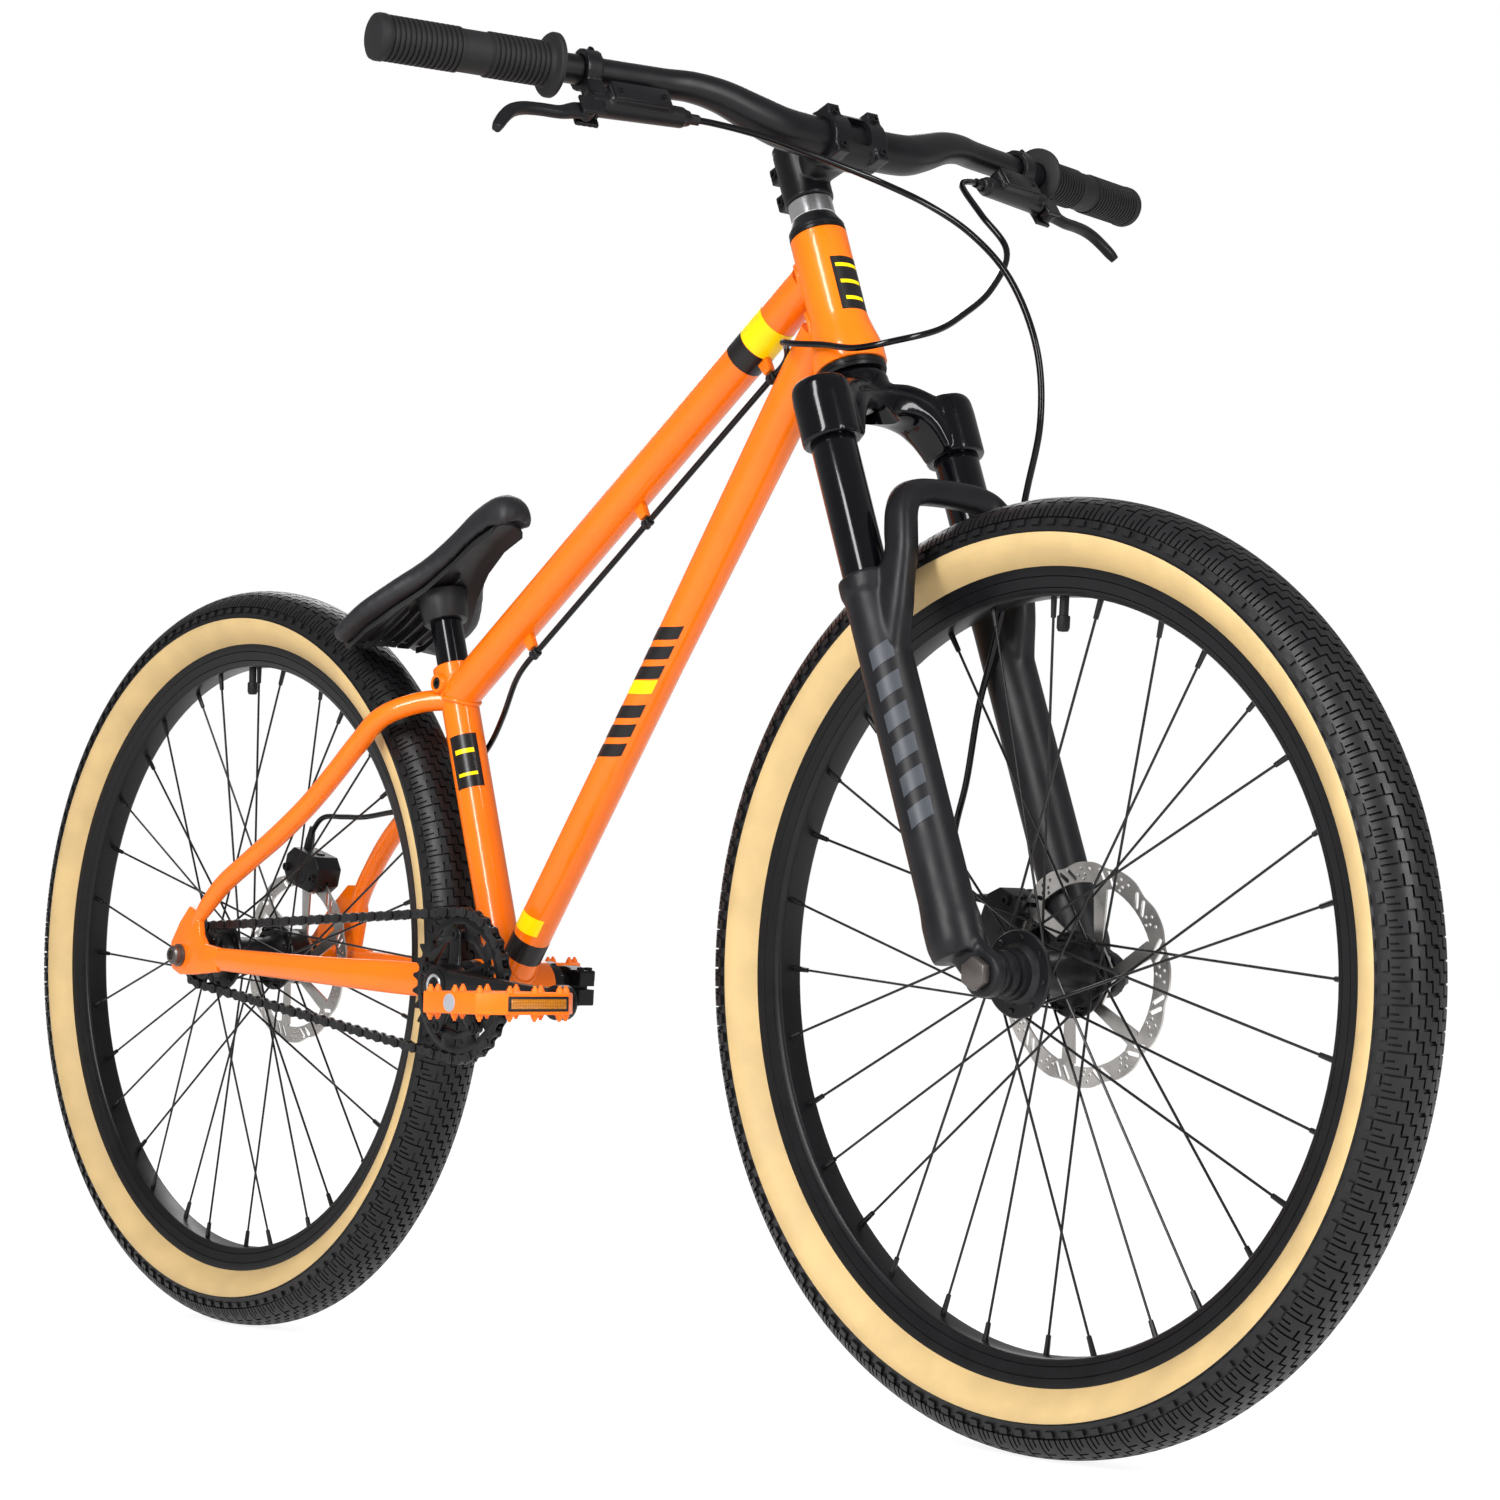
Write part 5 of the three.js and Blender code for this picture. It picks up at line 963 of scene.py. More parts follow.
def make_frame(name):
    """The welded frame: straight tubes, bent stays, dropouts, tabs and the weld beads between them."""
    length = (DOWN_TUBE_TO - BRACKET).length
    shares = [0, 0.5, 0.6, 0.7, 0.8, 0.9, 1 - SHELL_RADIUS / length]
    pieces = [
        on_axis_lathe(
            name,
            [(18.3, 0), (21.4, 0), (22, -0.6), (22, -68), (22.4, -74), (24.4, -84), (27, -95), (28, -101),
             (28, -111.4), (27.4, -112), (23.3, -112), (23.3, -90), (18.3, -56)],
            steps=72,
        ),
        rod(name, TOP_TUBE_FROM * MM, (TOP_TUBE_TO - TOP_TUBE_ALONG * 20) * MM, TOP_TUBE_RADIUS, sides=72),
        tube(
            name,
            [(BRACKET + DOWN_TUBE_ALONG * length * share) * MM for share in shares],
            [down_tube_radius(share) for share in shares],
            sides=72,
        ),
        lathe(
            name,
            [(13.9, 0), (17.4, 0), (18, -0.6), (18, -25.4), (17.4, -26), (15.9, -26.4),
             (15.9, -SEAT_TUBE_LENGTH), (13.9, -SEAT_TUBE_LENGTH)],
            SEAT_TOP * MM,
            SEAT_UP,
            closed=True,
        ),
        lathe(
            name,
            [(17, -34), (21.4, -34), (22, -33.4), (22, 33.4), (21.4, 34), (17, 34)],
            BRACKET * MM,
            LEFT,
            closed=True,
        ),
        lathe(
            name,
            [(0, 0), (8.5, 0), (8.5, -20.6), (7.6, -22), (5.3, -22), (5.3, -18.4), (0, -18.4)],
            on_seat_tube(16),
            LEFT,
            steps=40,
        ),
    ]
    for side in (1, -1):
        pieces.append(bent_stay(name, CHAINSTAY_SHARES, BRACKET, REAR_AXLE, side))
        seatstay = SEATSTAY_SHARES + SEATSTAY_END_SHARES[side]
        pieces.append(bent_stay(name, seatstay, SEAT_TOP - SEAT_UP * 30, REAR_AXLE, side))
        pieces.append(make_dropout(name, side))
    pieces += [make_hose_tab(name, share) for share in GUIDE_SHARES]
    pieces += [
        weld_bead(name, *meeting)
        for meeting in (
            (TOP_TUBE_TO, TOP_TUBE_ALONG, TOP_TUBE_RADIUS, HEAD_TOP, STEERING_UP, 22),
            (TOP_TUBE_FROM, -TOP_TUBE_ALONG, TOP_TUBE_RADIUS, SEAT_TOP, SEAT_UP, 16.4),
            (BRACKET, -DOWN_TUBE_ALONG, DOWN_TUBE_RADIUS, BRACKET, LEFT, SHELL_RADIUS),
            (BRACKET, -SEAT_UP, SEAT_TUBE_RADIUS, BRACKET, LEFT, SHELL_RADIUS),
            (DOWN_TUBE_TO, DOWN_TUBE_ALONG, DOWN_TUBE_HEAD_RADIUS, HEAD_TOP, STEERING_UP, 22.6),
        )
    ]
    return join(name, *pieces)


# Camera and stage

CAMERA_PLACE = Vector((2155.6, -1762.5, 354.5))
CAMERA_YAW = 138.19
CAMERA_PITCH = 3.20
CAMERA_ROLL = 0.86
CAMERA_LENS = 82.36


def make_camera():
    yaw, pitch, roll = (math.radians(a) for a in (CAMERA_YAW, CAMERA_PITCH, CAMERA_ROLL))
    ahead = Vector((math.cos(pitch) * math.cos(yaw), math.cos(pitch) * math.sin(yaw), math.sin(pitch)))
    level = ahead.cross(UP).normalized()
    upright = level.cross(ahead)
    right = level * math.cos(roll) + upright * math.sin(roll)
    top = upright * math.cos(roll) - level * math.sin(roll)
    bpy.ops.object.camera_add()
    camera = bpy.context.object
    camera.name = "photo_camera"
    turn = Matrix((right, top, -ahead)).transposed()
    camera.matrix_world = Matrix.Translation(CAMERA_PLACE * MM) @ turn.to_4x4()
    camera.data.sensor_fit = "HORIZONTAL"
    camera.data.sensor_width = 36
    camera.data.lens = CAMERA_LENS
    camera.data.clip_start = 0.05
    camera.data.clip_end = 60
    bpy.context.scene.camera = camera


def soft_lamp(name, place, target, size, power):
    bpy.ops.object.light_add(type="AREA", location=place)
    lamp = bpy.context.object
    lamp.name = name
    lamp.data.shape = "RECTANGLE"
    lamp.data.size, lamp.data.size_y = size
    lamp.data.energy = power
    lamp.rotation_euler = (Vector(target) - Vector(place)).to_track_quat("-Z", "Y").to_euler()


def make_floor():
    """A pale floor that keeps the object's shadow and shows as white to the camera."""
    deselect()
    bpy.ops.mesh.primitive_plane_add(size=40, location=(0, 0, 0))
    floor = named("floor")
    material = bpy.data.materials.new("pale_floor")
    material.use_nodes = True
    tree = material.node_tree
    tree.nodes.clear()
    seen = add_node(tree, "LightPath").outputs
    reflected = maths(tree, "MULTIPLY", seen["Is Glossy Ray"], 0.55)
    shown = maths(tree, "MAXIMUM", seen["Is Camera Ray"], reflected)
    blend = add_node(tree, "MixShader")
    tree.links.new(maths(tree, "MULTIPLY", shown, 0.76), blend.inputs["Fac"])
    tree.links.new(add_node(tree, "BsdfDiffuse", Color=(0.92, 0.92, 0.92, 1)).outputs["BSDF"], blend.inputs[1])
    glow = add_node(tree, "Emission", Color=(1, 1, 1, 1), Strength=1.17)
    tree.links.new(glow.outputs["Emission"], blend.inputs[2])
    tree.links.new(blend.outputs["Shader"], add_node(tree, "OutputMaterial").inputs["Surface"])
    floor.data.materials.append(material)


def make_world():
    """A white world, brighter to the camera than on the object, and dimmer in its reflections."""
    world = bpy.data.worlds.new("studio")
    bpy.context.scene.world = world
    world.use_nodes = True
    tree = world.node_tree
    background = tree.nodes["Background"]
    background.inputs["Color"].default_value = (1, 1, 1, 1)
    seen = add_node(tree, "LightPath").outputs
    strengths = []
    for ray, low, high in (("Is Camera Ray", 0.6, 1.0), ("Is Glossy Ray", 0.0, -0.25)):
        span = add_node(tree, "MapRange", To_Min=low, To_Max=high)
        tree.links.new(seen[ray], span.inputs["Value"])
        strengths.append(span.outputs["Result"])
    tree.links.new(maths(tree, "ADD", *strengths), background.inputs["Strength"])


def make_stage():
    scene = bpy.context.scene
    scene.view_settings.view_transform = "Standard"
    make_world()
    make_floor()
    soft_lamp("key", (0.9, -2.6, 1.9), (0, 0, 0.45), (0.5, 2.2), 92)
    soft_lamp("strip", (2.9, -0.2, 1.6), (0.1, 0, 0.5), (0.45, 2.0), 60)
    soft_lamp("back", (-2.2, 1.6, 2.2), (0, 0, 0.5), (1.6, 1.2), 26)


# Hoses

HOSE_RADIUS = 2.5
FRONT_HOSE_ROUTE = [
    (278.3, -152.1, 952.9), (282, -132, 952.5), (292, -95, 948), (305, -50, 938), (326, 0, 922),
    (352, 22, 905), (385, 34, 880), (419, 40, 843), (446, 41, 787), (449, 42, 735), (436, 42, 685),
    (420, 40, 620), (406, 39, 568), (393, 39, 530), (377, 43, 475), (363, 45, 435), (366, 44, 408),
    (383.4, 42, 390.8), (412.2, 41, 387.3),
]
REAR_HOSE_ROUTE = [
    (278.3, 152.1, 952.9), (281.1, 136.8, 952.4), (291.9, 116.6, 945.2), (323.9, 105.9, 915.3),
    (348.5, 108.7, 885.2), (365, 75, 847), (371, 40, 823), (374, 10, 807), (362, -20, 797), (335, -34, 793),
    (297, -33.6, 799.9), (269, -36.7, 803.7), (250.6, -31.6, 807.7), (234.5, -13.6, 809.2), (224.2, -3, 803),
    (216, 0, 797.4), (208, 0, 792), (196.2, 0, 783.9), (57.8, 0, 688.8), (-76, 0, 596.9), (-98, 0, 581.8),
    (-114.7, 3.7, 570.2), (-146, 15, 542), (-176, 25, 520), (-215, 33, 498), (-262, 38, 480),
    (-305, 42, 469), (-350, 45, 465), (-393.8, 49, 462), (-430, 53, 463), (-465.1, 54, 462.6),
    (-478.4, 54, 453.1), (-484.5, 54, 442.5), (-486.6, 54, 435.8),
]


def make_hose(name, route, node):
    """A brake hose as a tube along its route, standing for its node, which is hidden."""
    path = [at(*place) for place in smooth_path(route, 8)]
    hose = tube(name, path, [HOSE_RADIUS] * len(path), sides=16)
    hose.data.materials.append(FINISHES["gloss"])
    smooth(hose, SMOOTH_ANGLE)
    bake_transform(hose)
    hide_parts(node)


# Headset, stem and bars


def on_axis_lathe(name, profile, steps=64, closed=True):
    return lathe(name, profile, HEAD_TOP * MM, STEERING_UP, steps, closed)


def hex_screw(name, place, direction, radius=2.6, height=2.6):
    """A round screw head with a hexagon socket, standing on a place."""
    head = rod(name, place, place + direction * height * MM, radius, radius * 0.94, 24)
    low, high = (place + direction * rise * MM for rise in (height * 0.45, height + 1))
    return cut(head, rod(name, low, high, radius * 0.55, sides=6))


HEADSET_PROFILES = {
    "upper_cup": [(14.7, 3.2), (21.5, 3.2), (22, 2.7), (22, 0.3), (18, 0.3), (18, -12), (14.7, -12)],
    "lower_cup": [
        (14.7, -100), (23, -100), (23, -112.3), (25.9, -112.3), (26.5, -112.9), (26.5, -116), (26, -116.4),
        (26, -117), (26.4, -117.4), (25.6, -119.5), (14.7, -119.5),
    ],
    "top_cover": [
        (14.6, 3.5), (21.3, 3.5), (21.7, 3.9), (21.7, 6.4), (21.2, 7.4), (19, 11.6), (17.5, 15), (17.1, 15.5),
        (14.6, 15.5),
    ],
    "spacer": [(14.6, 15.8), (16.7, 15.8), (17.2, 16.3), (17.2, 29.3), (16.7, 29.8), (14.6, 29.8)],
}


def make_headset_ring(name):
    return on_axis_lathe(name, HEADSET_PROFILES[name])


STEM_BAR = Vector((48.5, 0, 55.8))
BAR_CLAMP_RADIUS = 15.9
STEM_BAR_OUTER = 20.8
STEM_BAR_HALF_WIDTH = 27
STEM_SCREW_HEIGHTS = (41, 65)
FACEPLATE_CORNERS = [(y, z) for y in (-20.5, 20.5) for z in (-14.5, 14.5)]
CLAMP_CUTTER = (60, 80, 80)


def steering_block(name, place, size):
    """A box square to the steering axis."""
    return block(name, on_steering(*place), size, Quaternion(LEFT, math.radians(-20)))


def along_bar(name, half, radius):
    """A rod through the middle of the stem's bar clamp, as far to both sides."""
    centre, reach = on_steering(*STEM_BAR), LEFT * half * MM
    return rod(name, centre - reach, centre + reach, radius, sides=64)


def make_stem(name):
    """The stem body: steerer clamp with pinch screws, neck and the back half of the bar clamp."""
    clamp = on_axis_lathe(
        name, [(0, 30.1), (18.2, 30.1), (19.2, 31.1), (19.2, 75.1), (18.2, 76.1), (0, 76.1)], closed=False)
    cradle = along_bar(name, STEM_BAR_HALF_WIDTH, STEM_BAR_OUTER)
    stations = [(2, 53, 15, 17), (14, 53.6, 14, 13), (30, 54.8, 18, 13), (46, 55.8, 25, 17)]
    neck = bar(
        name, [(on_steering(x, 0, z), wide, high) for x, z, wide, high in stations], sides=32, squareness=3.2
    )
    lugs = [steering_block(name, (-19.5, 0, z), (13, 17, 13)) for z in STEM_SCREW_HEIGHTS]
    body = cast(join(name, clamp, cradle, neck, *lugs), 1.1, 4)
    cut(
        body,
        steering_block(name, STEM_BAR + FORWARD * 30, CLAMP_CUTTER),
        along_bar(name, 40, BAR_CLAMP_RADIUS + 0.3),
        rod(name, on_steering(0, 0, 25), on_steering(0, 0, 81), 14.6, sides=64),
        steering_block(name, (-22, 0, 53), (24, 1.6, 60)),
    )
    screws = [hex_screw(name, on_steering(-20, -8.2, z), -LEFT, 3.4) for z in STEM_SCREW_HEIGHTS]
    return join(name, *screws, body)


def make_faceplate(name):
    """The bar clamp's front: four corners with screws around a window."""
    cover = along_bar(name, STEM_BAR_HALF_WIDTH, STEM_BAR_OUTER)
    corners = [steering_block(name, (58, y, STEM_BAR.z + z), (17, 12, 12)) for y, z in FACEPLATE_CORNERS]
    body = cast(join(name, cover, *corners), 1.0, 4)
    cut(
        body,
        steering_block(name, STEM_BAR - FORWARD * 29.4, CLAMP_CUTTER),
        along_bar(name, 40, BAR_CLAMP_RADIUS + 0.3),
        bevel(steering_block(name, (72, 0, STEM_BAR.z), (26, 20, 22)), 3, 3),
    )
    screws = [
        hex_screw(name, on_steering(65.6, y, STEM_BAR.z + z), STEERING_FORWARD, 3.3)
        for y, z in FACEPLATE_CORNERS
    ]
    return join(name, *screws, body)


def make_top_cap(name):
    cap = on_axis_lathe(
        name,
        [(0, 76.4), (18.4, 76.4), (18.9, 76.9), (18.9, 78.6), (17.4, 80.2), (8, 80.4), (7, 78), (0, 78)],
        closed=False,
    )
    return join(name, hex_screw(name, on_steering(0, 0, 77.9), STEERING_UP, 5.4, 2.3), cap)


BAR_HALF_WIDTH = 386
BAR_SWEEP = 64
BAR_RISE = 21
BAR_END_RADIUS = 11.1
# Shares of the half width, of the sweep back and of the rise, and how much of the clamp's thickness is left
BAR_SHARES = [
    (0, 0, 0, 1), (0.12, 0, 0, 1), (0.17, 0.01, 0.08, 0.96), (0.22, 0.06, 0.34, 0.8), (0.3, 0.16, 0.82, 0.35),
    (0.36, 0.25, 1, 0.1), (0.42, 0.347, 1, 0), (1, 1, 1, 0),
]


def bar_place(out, back, up, side=1):
    return COCKPIT + Vector((-back * BAR_SWEEP, side * out * BAR_HALF_WIDTH, up * BAR_RISE))


BAR_OUTWARD = (bar_place(*BAR_SHARES[-1][:3]) - bar_place(*BAR_SHARES[-2][:3])).normalized()


def on_bar(across):
    """A place in millimetres on the left half's straight part, by its distance from the middle."""
    return bar_place(1, 1, 1) + BAR_OUTWARD * ((across - BAR_HALF_WIDTH) / BAR_OUTWARD.y)


def make_handlebar(name):
    row = [(share, -1) for share in reversed(BAR_SHARES[1:])] + [(share, 1) for share in BAR_SHARES]
    points = []
    for (out, back, up, thick), side in row:
        radius = BAR_END_RADIUS + (BAR_CLAMP_RADIUS - BAR_END_RADIUS) * thick
        points.append((*bar_place(out, back, up, side), radius))
    stations = [(at(*place), radius, radius) for *place, radius in smooth_path(points, 6)]
    return bar(name, stations, across=FORWARD, sides=40)


def make_grip(name):
    """A lock-on grip for the left: inner flange, rows of ribs with a smooth band, and an end cap."""
    profile = [(11.4, -138), (21.5, -138), (23.5, -137), (23.5, -134.4), (22.6, -133), (17.2, -131.6)]
    along = -130.0
    while along < -6:
        if -84 < along < -60:
            profile += [(15.4, along), (15.4, along + 2)]
            along += 2
        else:
            profile += [(16.4, along), (16.4, along + 1.9), (15.0, along + 2.3), (15.0, along + 3.6)]
            along += 4
    profile += [(16.4, -4), (16.9, -3), (16.9, 1.5), (16.2, 3.6), (13.8, 5), (0, 5), (0, 0.3), (11.4, 0.3)]
    return lathe(name, profile, bar_place(1, 1, 1) * MM, BAR_OUTWARD, steps=64)


LEVER_CLAMP = on_bar(224)
LEVER_DROP = 58


def lever_axes():
    """Directions beside the lever clamp: away from the bar, outward along it and across both."""
    away = Vector((math.cos(math.radians(LEVER_DROP)), 0, -math.sin(math.radians(LEVER_DROP))))
    level = (away - BAR_OUTWARD * away.dot(BAR_OUTWARD)).normalized()
    return level, BAR_OUTWARD, level.cross(BAR_OUTWARD)


def by_lever(away, outward, across=0):
    axes = lever_axes()
    return (LEVER_CLAMP + axes[0] * away + axes[1] * outward + axes[2] * across) * MM


def lever_turn():
    level, outward, third = lever_axes()
    return Matrix((level, outward, third)).transposed().to_quaternion()


def make_master(name):
    """The left brake's clamp, master cylinder with its reservoir, ears for the lever and hose sleeve."""
    third = lever_axes()[2]

    def lever_block(place, size):
        return block(name, by_lever(*place), size, lever_turn())

    body = cast(
        join(
            name,
            rod(name, by_lever(0, -6.5), by_lever(0, 6.5), 15.5),
            lever_block((16, 0), (34, 13, 13)),
            rod(name, by_lever(33, -70), by_lever(33, 7), 7.8, 9.5, sides=40),
            rod(name, by_lever(33, -76), by_lever(33, -69), 5.6, 7.2, sides=32),
            bevel(lever_block((28.5, -32, 5.6), (18, 50, 13)), 3, 3),
            *[lever_block((41.5, 9.5, side * 6.6), (15.4, 19, 3.2)) for side in (-1, 1)],
        ),
        0.9,
        3,
    )
    mouth = lever_block((44, 15.6), (28, 26, 9.6))
    cut(body, mouth, rod(name, by_lever(0, -60), by_lever(0, 60), 11.5))
    return join(
        name,
        rod(name, by_lever(42, 12, -8.2), by_lever(42, 12, 8.2), 2.8, sides=24),
        bevel(lever_block((28.5, -32, 12.4), (16.4, 47, 1.8)), 0.8, 2),
        *[hex_screw(name, by_lever(28.5, y, 13.2), third, 2.1, 1.2) for y in (-50, -14)],
        hex_screw(name, by_lever(-9, 0, 11.8), third, 2.6, 1.6),
        rod(name, by_lever(33, -84), by_lever(33, -75), 4.1, sides=6),
        body,
    )


# Lever blade: [outward, away] in millimetres from the pivot along its middle, half width and half thickness
LEVER_STATIONS = [
    (-2, 0, 6.2, 4.2), (8, 0.6, 6.4, 4.4), (22, 4.6, 4.8, 4.2), (38, 5.0, 4.4, 4.3), (52, 6.4, 4.6, 4.4),
    (62, 10.5, 4.8, 4.4), (70, 18, 4.8, 4.3), (76, 26, 4.4, 4.2), (79, 31, 3.2, 3.4),
]


def make_lever(name):
    stations = [
        (by_lever(42 + away, 12 + along), thick, wide)
        for along, away, wide, thick in smooth_path(LEVER_STATIONS, 4)
    ]
    blade = bar(name, stations, across=lever_axes()[2], squareness=2.8)
    eye = rod(name, by_lever(42, 12, -4.3), by_lever(42, 12, 4.3), 6.8, sides=40)
    body = cast(join(name, blade, eye), 0.8, 3)
    return cut(body, rod(name, by_lever(42, 12, -9), by_lever(42, 12, 9), 3.1, sides=32))


# Fork


LEG_FORWARD = 23.3
LEG_SPREAD = 63.5


def leg_place(side, z=0):
    return on_steering(LEG_FORWARD, side * LEG_SPREAD, z)


def leg_lathe(name, side, profile, steps=72, closed=False):
    return lathe(name, profile, leg_place(side), STEERING_UP, steps, closed)


def fork_arch(name, row, sides, squareness):
    """A bar across the fork through [to the left, forward, height, half width, half height] places."""
    stations = [(on_steering(x, y, z), wide, thick) for y, x, z, wide, thick in smooth_path(row, 4)]
    return bar(name, stations, FORWARD, sides, squareness)


def both_halves(row):
    """A row from the left leg to the middle, carried on to the right leg."""
    return row + [(-y, *rest) for y, *rest in reversed(row[:-1])]


# The crown's arch from the middle to the left leg: [across, forward, height, half width fore and aft,
# half thickness], then the shoulder over it
CROWN_ARCH = [
    (0, 6, -146, 21, 12), (14, 8, -146.5, 21, 12), (26, 12, -150, 20.5, 11.5), (36, 17, -157.5, 19.5, 10.5),
    (42.5, 21, -168.5, 18, 9), (46, 23, -182, 16, 7), (47, 23.3, -189, 15, 5.5),
]
CROWN_SHOULDER = [
    (0, 2, -134, 23, 9.5), (16, 4, -136, 22, 10), (32, 11, -142, 20, 12), (48, 19, -154, 19, 12),
    (58, 23, -164, 18, 12),
]


def make_crown(name):
    """The steerer and the cast crown: arch, shoulders and leg sockets."""
    socket = [
        (0, -143), (16.5, -143), (20, -144.6), (21.8, -149), (22.4, -158), (22.4, -190.6), (21.4, -192),
        (0, -192),
    ]
    race = [(0, -120), (22, -120), (24, -121.5), (25.6, -126), (25.5, -134), (23, -146), (0, -148)]
    pieces = [on_axis_lathe(name, race, closed=False)]
    pieces += [fork_arch(name, both_halves(row[::-1]), 40, 3.4) for row in (CROWN_ARCH, CROWN_SHOULDER)]
    pieces += [leg_lathe(name, side, socket, steps=64) for side in (1, -1)]
    body = cast(join(name, *pieces), 1.3, 6)
    tools = [rod(name, leg_place(side, -120), leg_place(side, -200), 17.3, sides=64) for side in (1, -1)]
    tools.append(rod(name, on_steering(0, 0, -170), on_steering(0, 0, -132), 12.4))
    tools.append(rod(name, on_steering(10, 0, -175), on_steering(10, 0, -149), 26, 13))
    cut(body, *tools)
    steerer = on_axis_lathe(name, [(12.4, 75.8), (14.3, 75.8), (14.3, -125), (12.4, -125)])
    return join(name, steerer, body)


def make_stanchion(name, side):
    cap = [(0, -143.3), (6, -143.3), (6, -145), (7.5, -145.6), (12.5, -145.2), (14.6, -143.4), (15, -143.5)]
    if side > 0:
        cap = [(0, -143.4), (14.6, -143.4), (15, -143.6)]
    leg = [(17, -147.8), (17, -429.3), (16.5, -429.8), (14.4, -429.8), (14.4, -147.8), (0, -147.8)]
    return leg_lathe(name, side, cap + leg)


def make_knob(name):
    """The damping knob on the left leg's cap, fluted round its edge."""
    body = rod(name, leg_place(1, -143), leg_place(1, -140), 9, 8.6)
    flutes = []
    for i in range(12):
        x, y = (9.6 * turn(WHOLE * i / 12) for turn in (math.cos, math.sin))
        low, high = (on_steering(LEG_FORWARD + x, LEG_SPREAD + y, z) for z in (-143.5, -139))
        flutes.append(rod(name, low, high, 1.5, sides=10))
    return bevel(cut(body, join(name, *flutes)), 0.3, 2, 40)


# The arch: [share of the half spacing across, forward of the steering axis, height, half width fore and aft,
# half thickness]
ARCH_STATIONS = [
    (1, 26, -380, 10, 12), (1, 33, -352, 14, 12), (0.99, 40, -330, 17, 11.5), (0.965, 49, -311, 15.5, 10.5),
    (0.93, 58.3, -294, 12.4, 10), (0.88, 60, -278, 12.5, 10), (0.8, 60.8, -262, 12, 10),
    (0.66, 60.6, -250.5, 11.8, 10), (0.45, 60.3, -245.5, 11.6, 10), (0.2, 60, -244, 11.4, 10),
    (0, 60, -243.8, 11.4, 10),
]
# The front axle's place from the steering axis, and its lugs across the fork
AXLE_DROP = -606.4
LUG_FACES = (55.4, 67.2)
LEG_PROFILE = [
    (0, -300), (21, -300), (21.6, -300.6), (21.6, -312), (19.9, -316), (19.6, -330), (19.6, -545),
    (20.4, -556), (21.2, -562), (21.2, -579), (19.2, -589), (0, -590),
]
MOUNT_FACES = (53.0, 64.8)


def beside_axle(axle, angle, reach, along, y):
    """A place in metres beside an axle: out along an angle in degrees, across it, and to the left."""
    angle = math.radians(angle)
    return (axle + around(angle) * reach + around(angle + QUARTER) * along + LEFT * y) * MM


def make_lowers(name):
    """The fork's one-piece lowers: two legs, the arch, the axle lugs and the brake mount."""
    pieces, tools = [], []
    for side in (1, -1):
        pieces.append(leg_lathe(name, side, LEG_PROFILE))
        pieces.append(
            rod(name, *(on_steering(FORK_OFFSET, side * y, AXLE_DROP) for y in LUG_FACES), 16.8, sides=56)
        )
        y = side * sum(LUG_FACES) / 2
        foot = [(24, -575, 6, 14), (32, -590, 6, 15), (FORK_OFFSET, -606, 6, 15)]
        stations = [(on_steering(x, y, z), wide, high) for x, z, wide, high in foot]
        pieces.append(bar(name, stations, sides=28, squareness=4))
        tools.append(rod(name, leg_place(side, -240), leg_place(side, -581), 17.3, sides=64))
    tools.append(rod(name, *(on_steering(FORK_OFFSET, y, AXLE_DROP) for y in (-90, 90)), 10.4))
    half = [(share * LEG_SPREAD, *rest) for share, *rest in ARCH_STATIONS]
    pieces.append(fork_arch(name, both_halves(half), 32, 2.7))
    corners = [
        beside_axle(FRONT_AXLE, 156, *corner, 0) / MM for corner in ((24, -27), (24, 13), (91, 18), (91, -27))
    ]
    pieces.append(plate(name, [(corner.x, corner.z) for corner in corners], *MOUNT_FACES))
    return cut(cast(join(name, *pieces), 1.7, 7), *tools)


def make_seals(name):
    """The rubber wipers at the tops of both legs."""
    profile = [(17.15, -299.6), (18.4, -299.2), (19.8, -300.2), (20.4, -302), (17.4, -302)]
    return join(name, *[leg_lathe(name, side, profile, 64, True) for side in (1, -1)])


def make_front_axle(name):
    """The front axle with its hexagon nuts."""
    pieces = [cross_rod(name, FRONT_AXLE, -67.6, 67.6, 9.9)]
    for side in (1, -1):
        pieces.append(bevel(cross_rod(name, FRONT_AXLE, side * 67.7, side * 74.6, 12.1, sides=6), 0.8, 2))
    return join(name, *pieces)


# Brakes

BRAKES = {
    "front": {"angle": 156, "body": "fork_slider", "hose": FRONT_HOSE_ROUTE},
    "rear": {"angle": 74, "body": "main_frame", "hose": REAR_HOSE_ROUTE},
}


def make_caliper(name, which):
    """A brake caliper with piston covers, mounting screws, bleed screw and the hose's fitting."""
    def place(reach, along, y):
        plane = WHEELS[which]["rotor_plane"]
        return beside_axle(WHEELS[which]["axle"], BRAKES[which]["angle"], reach, along, plane + y)

    body = bevel(copy_of_node(which + "_caliper", name), 1.6, 3, 30)
    outward = (place(1, 0, 0) - place(0, 0, 0)).normalized()
    details = []
    for side in (-1, 1):
        details.append(rod(name, place(80, 0, side * 12.6), place(80, 0, side * 13.6), 10.6, 10, sides=40))
        details.append(rod(name, place(80, 0, side * 13.4), place(80, 0, side * 14.1), 4, 3.6, sides=6))
    details += [hex_screw(name, place(80, along, -13.1), -LEFT, 3.8, 3.2) for along in (-21.5, 21.5)]
    before, end = (at(*point) for point in BRAKES[which]["hose"][-2:])
    along = (before - end).normalized() * MM
    details.append(rod(name, end - along * 3, end + along * 9, 4.6, 4.2, sides=6))
    details.append(rod(name, end + along * 9, end + along * 20, 3.9, 2.8, sides=20))
    details.append(rod(name, place(99, 16, 4), place(104, 16, 4), 3, 2.6, sides=20))
    details.append(rod(name, place(98, -8, 0), place(101, -8, 0) + outward * 0.5 * MM, 4.4, 4, sides=24))
    return join(name, *details, body)


def make_pad(name, node):
    return bevel(copy_of_node(node, name), 0.35, 2, 30)


# Drive

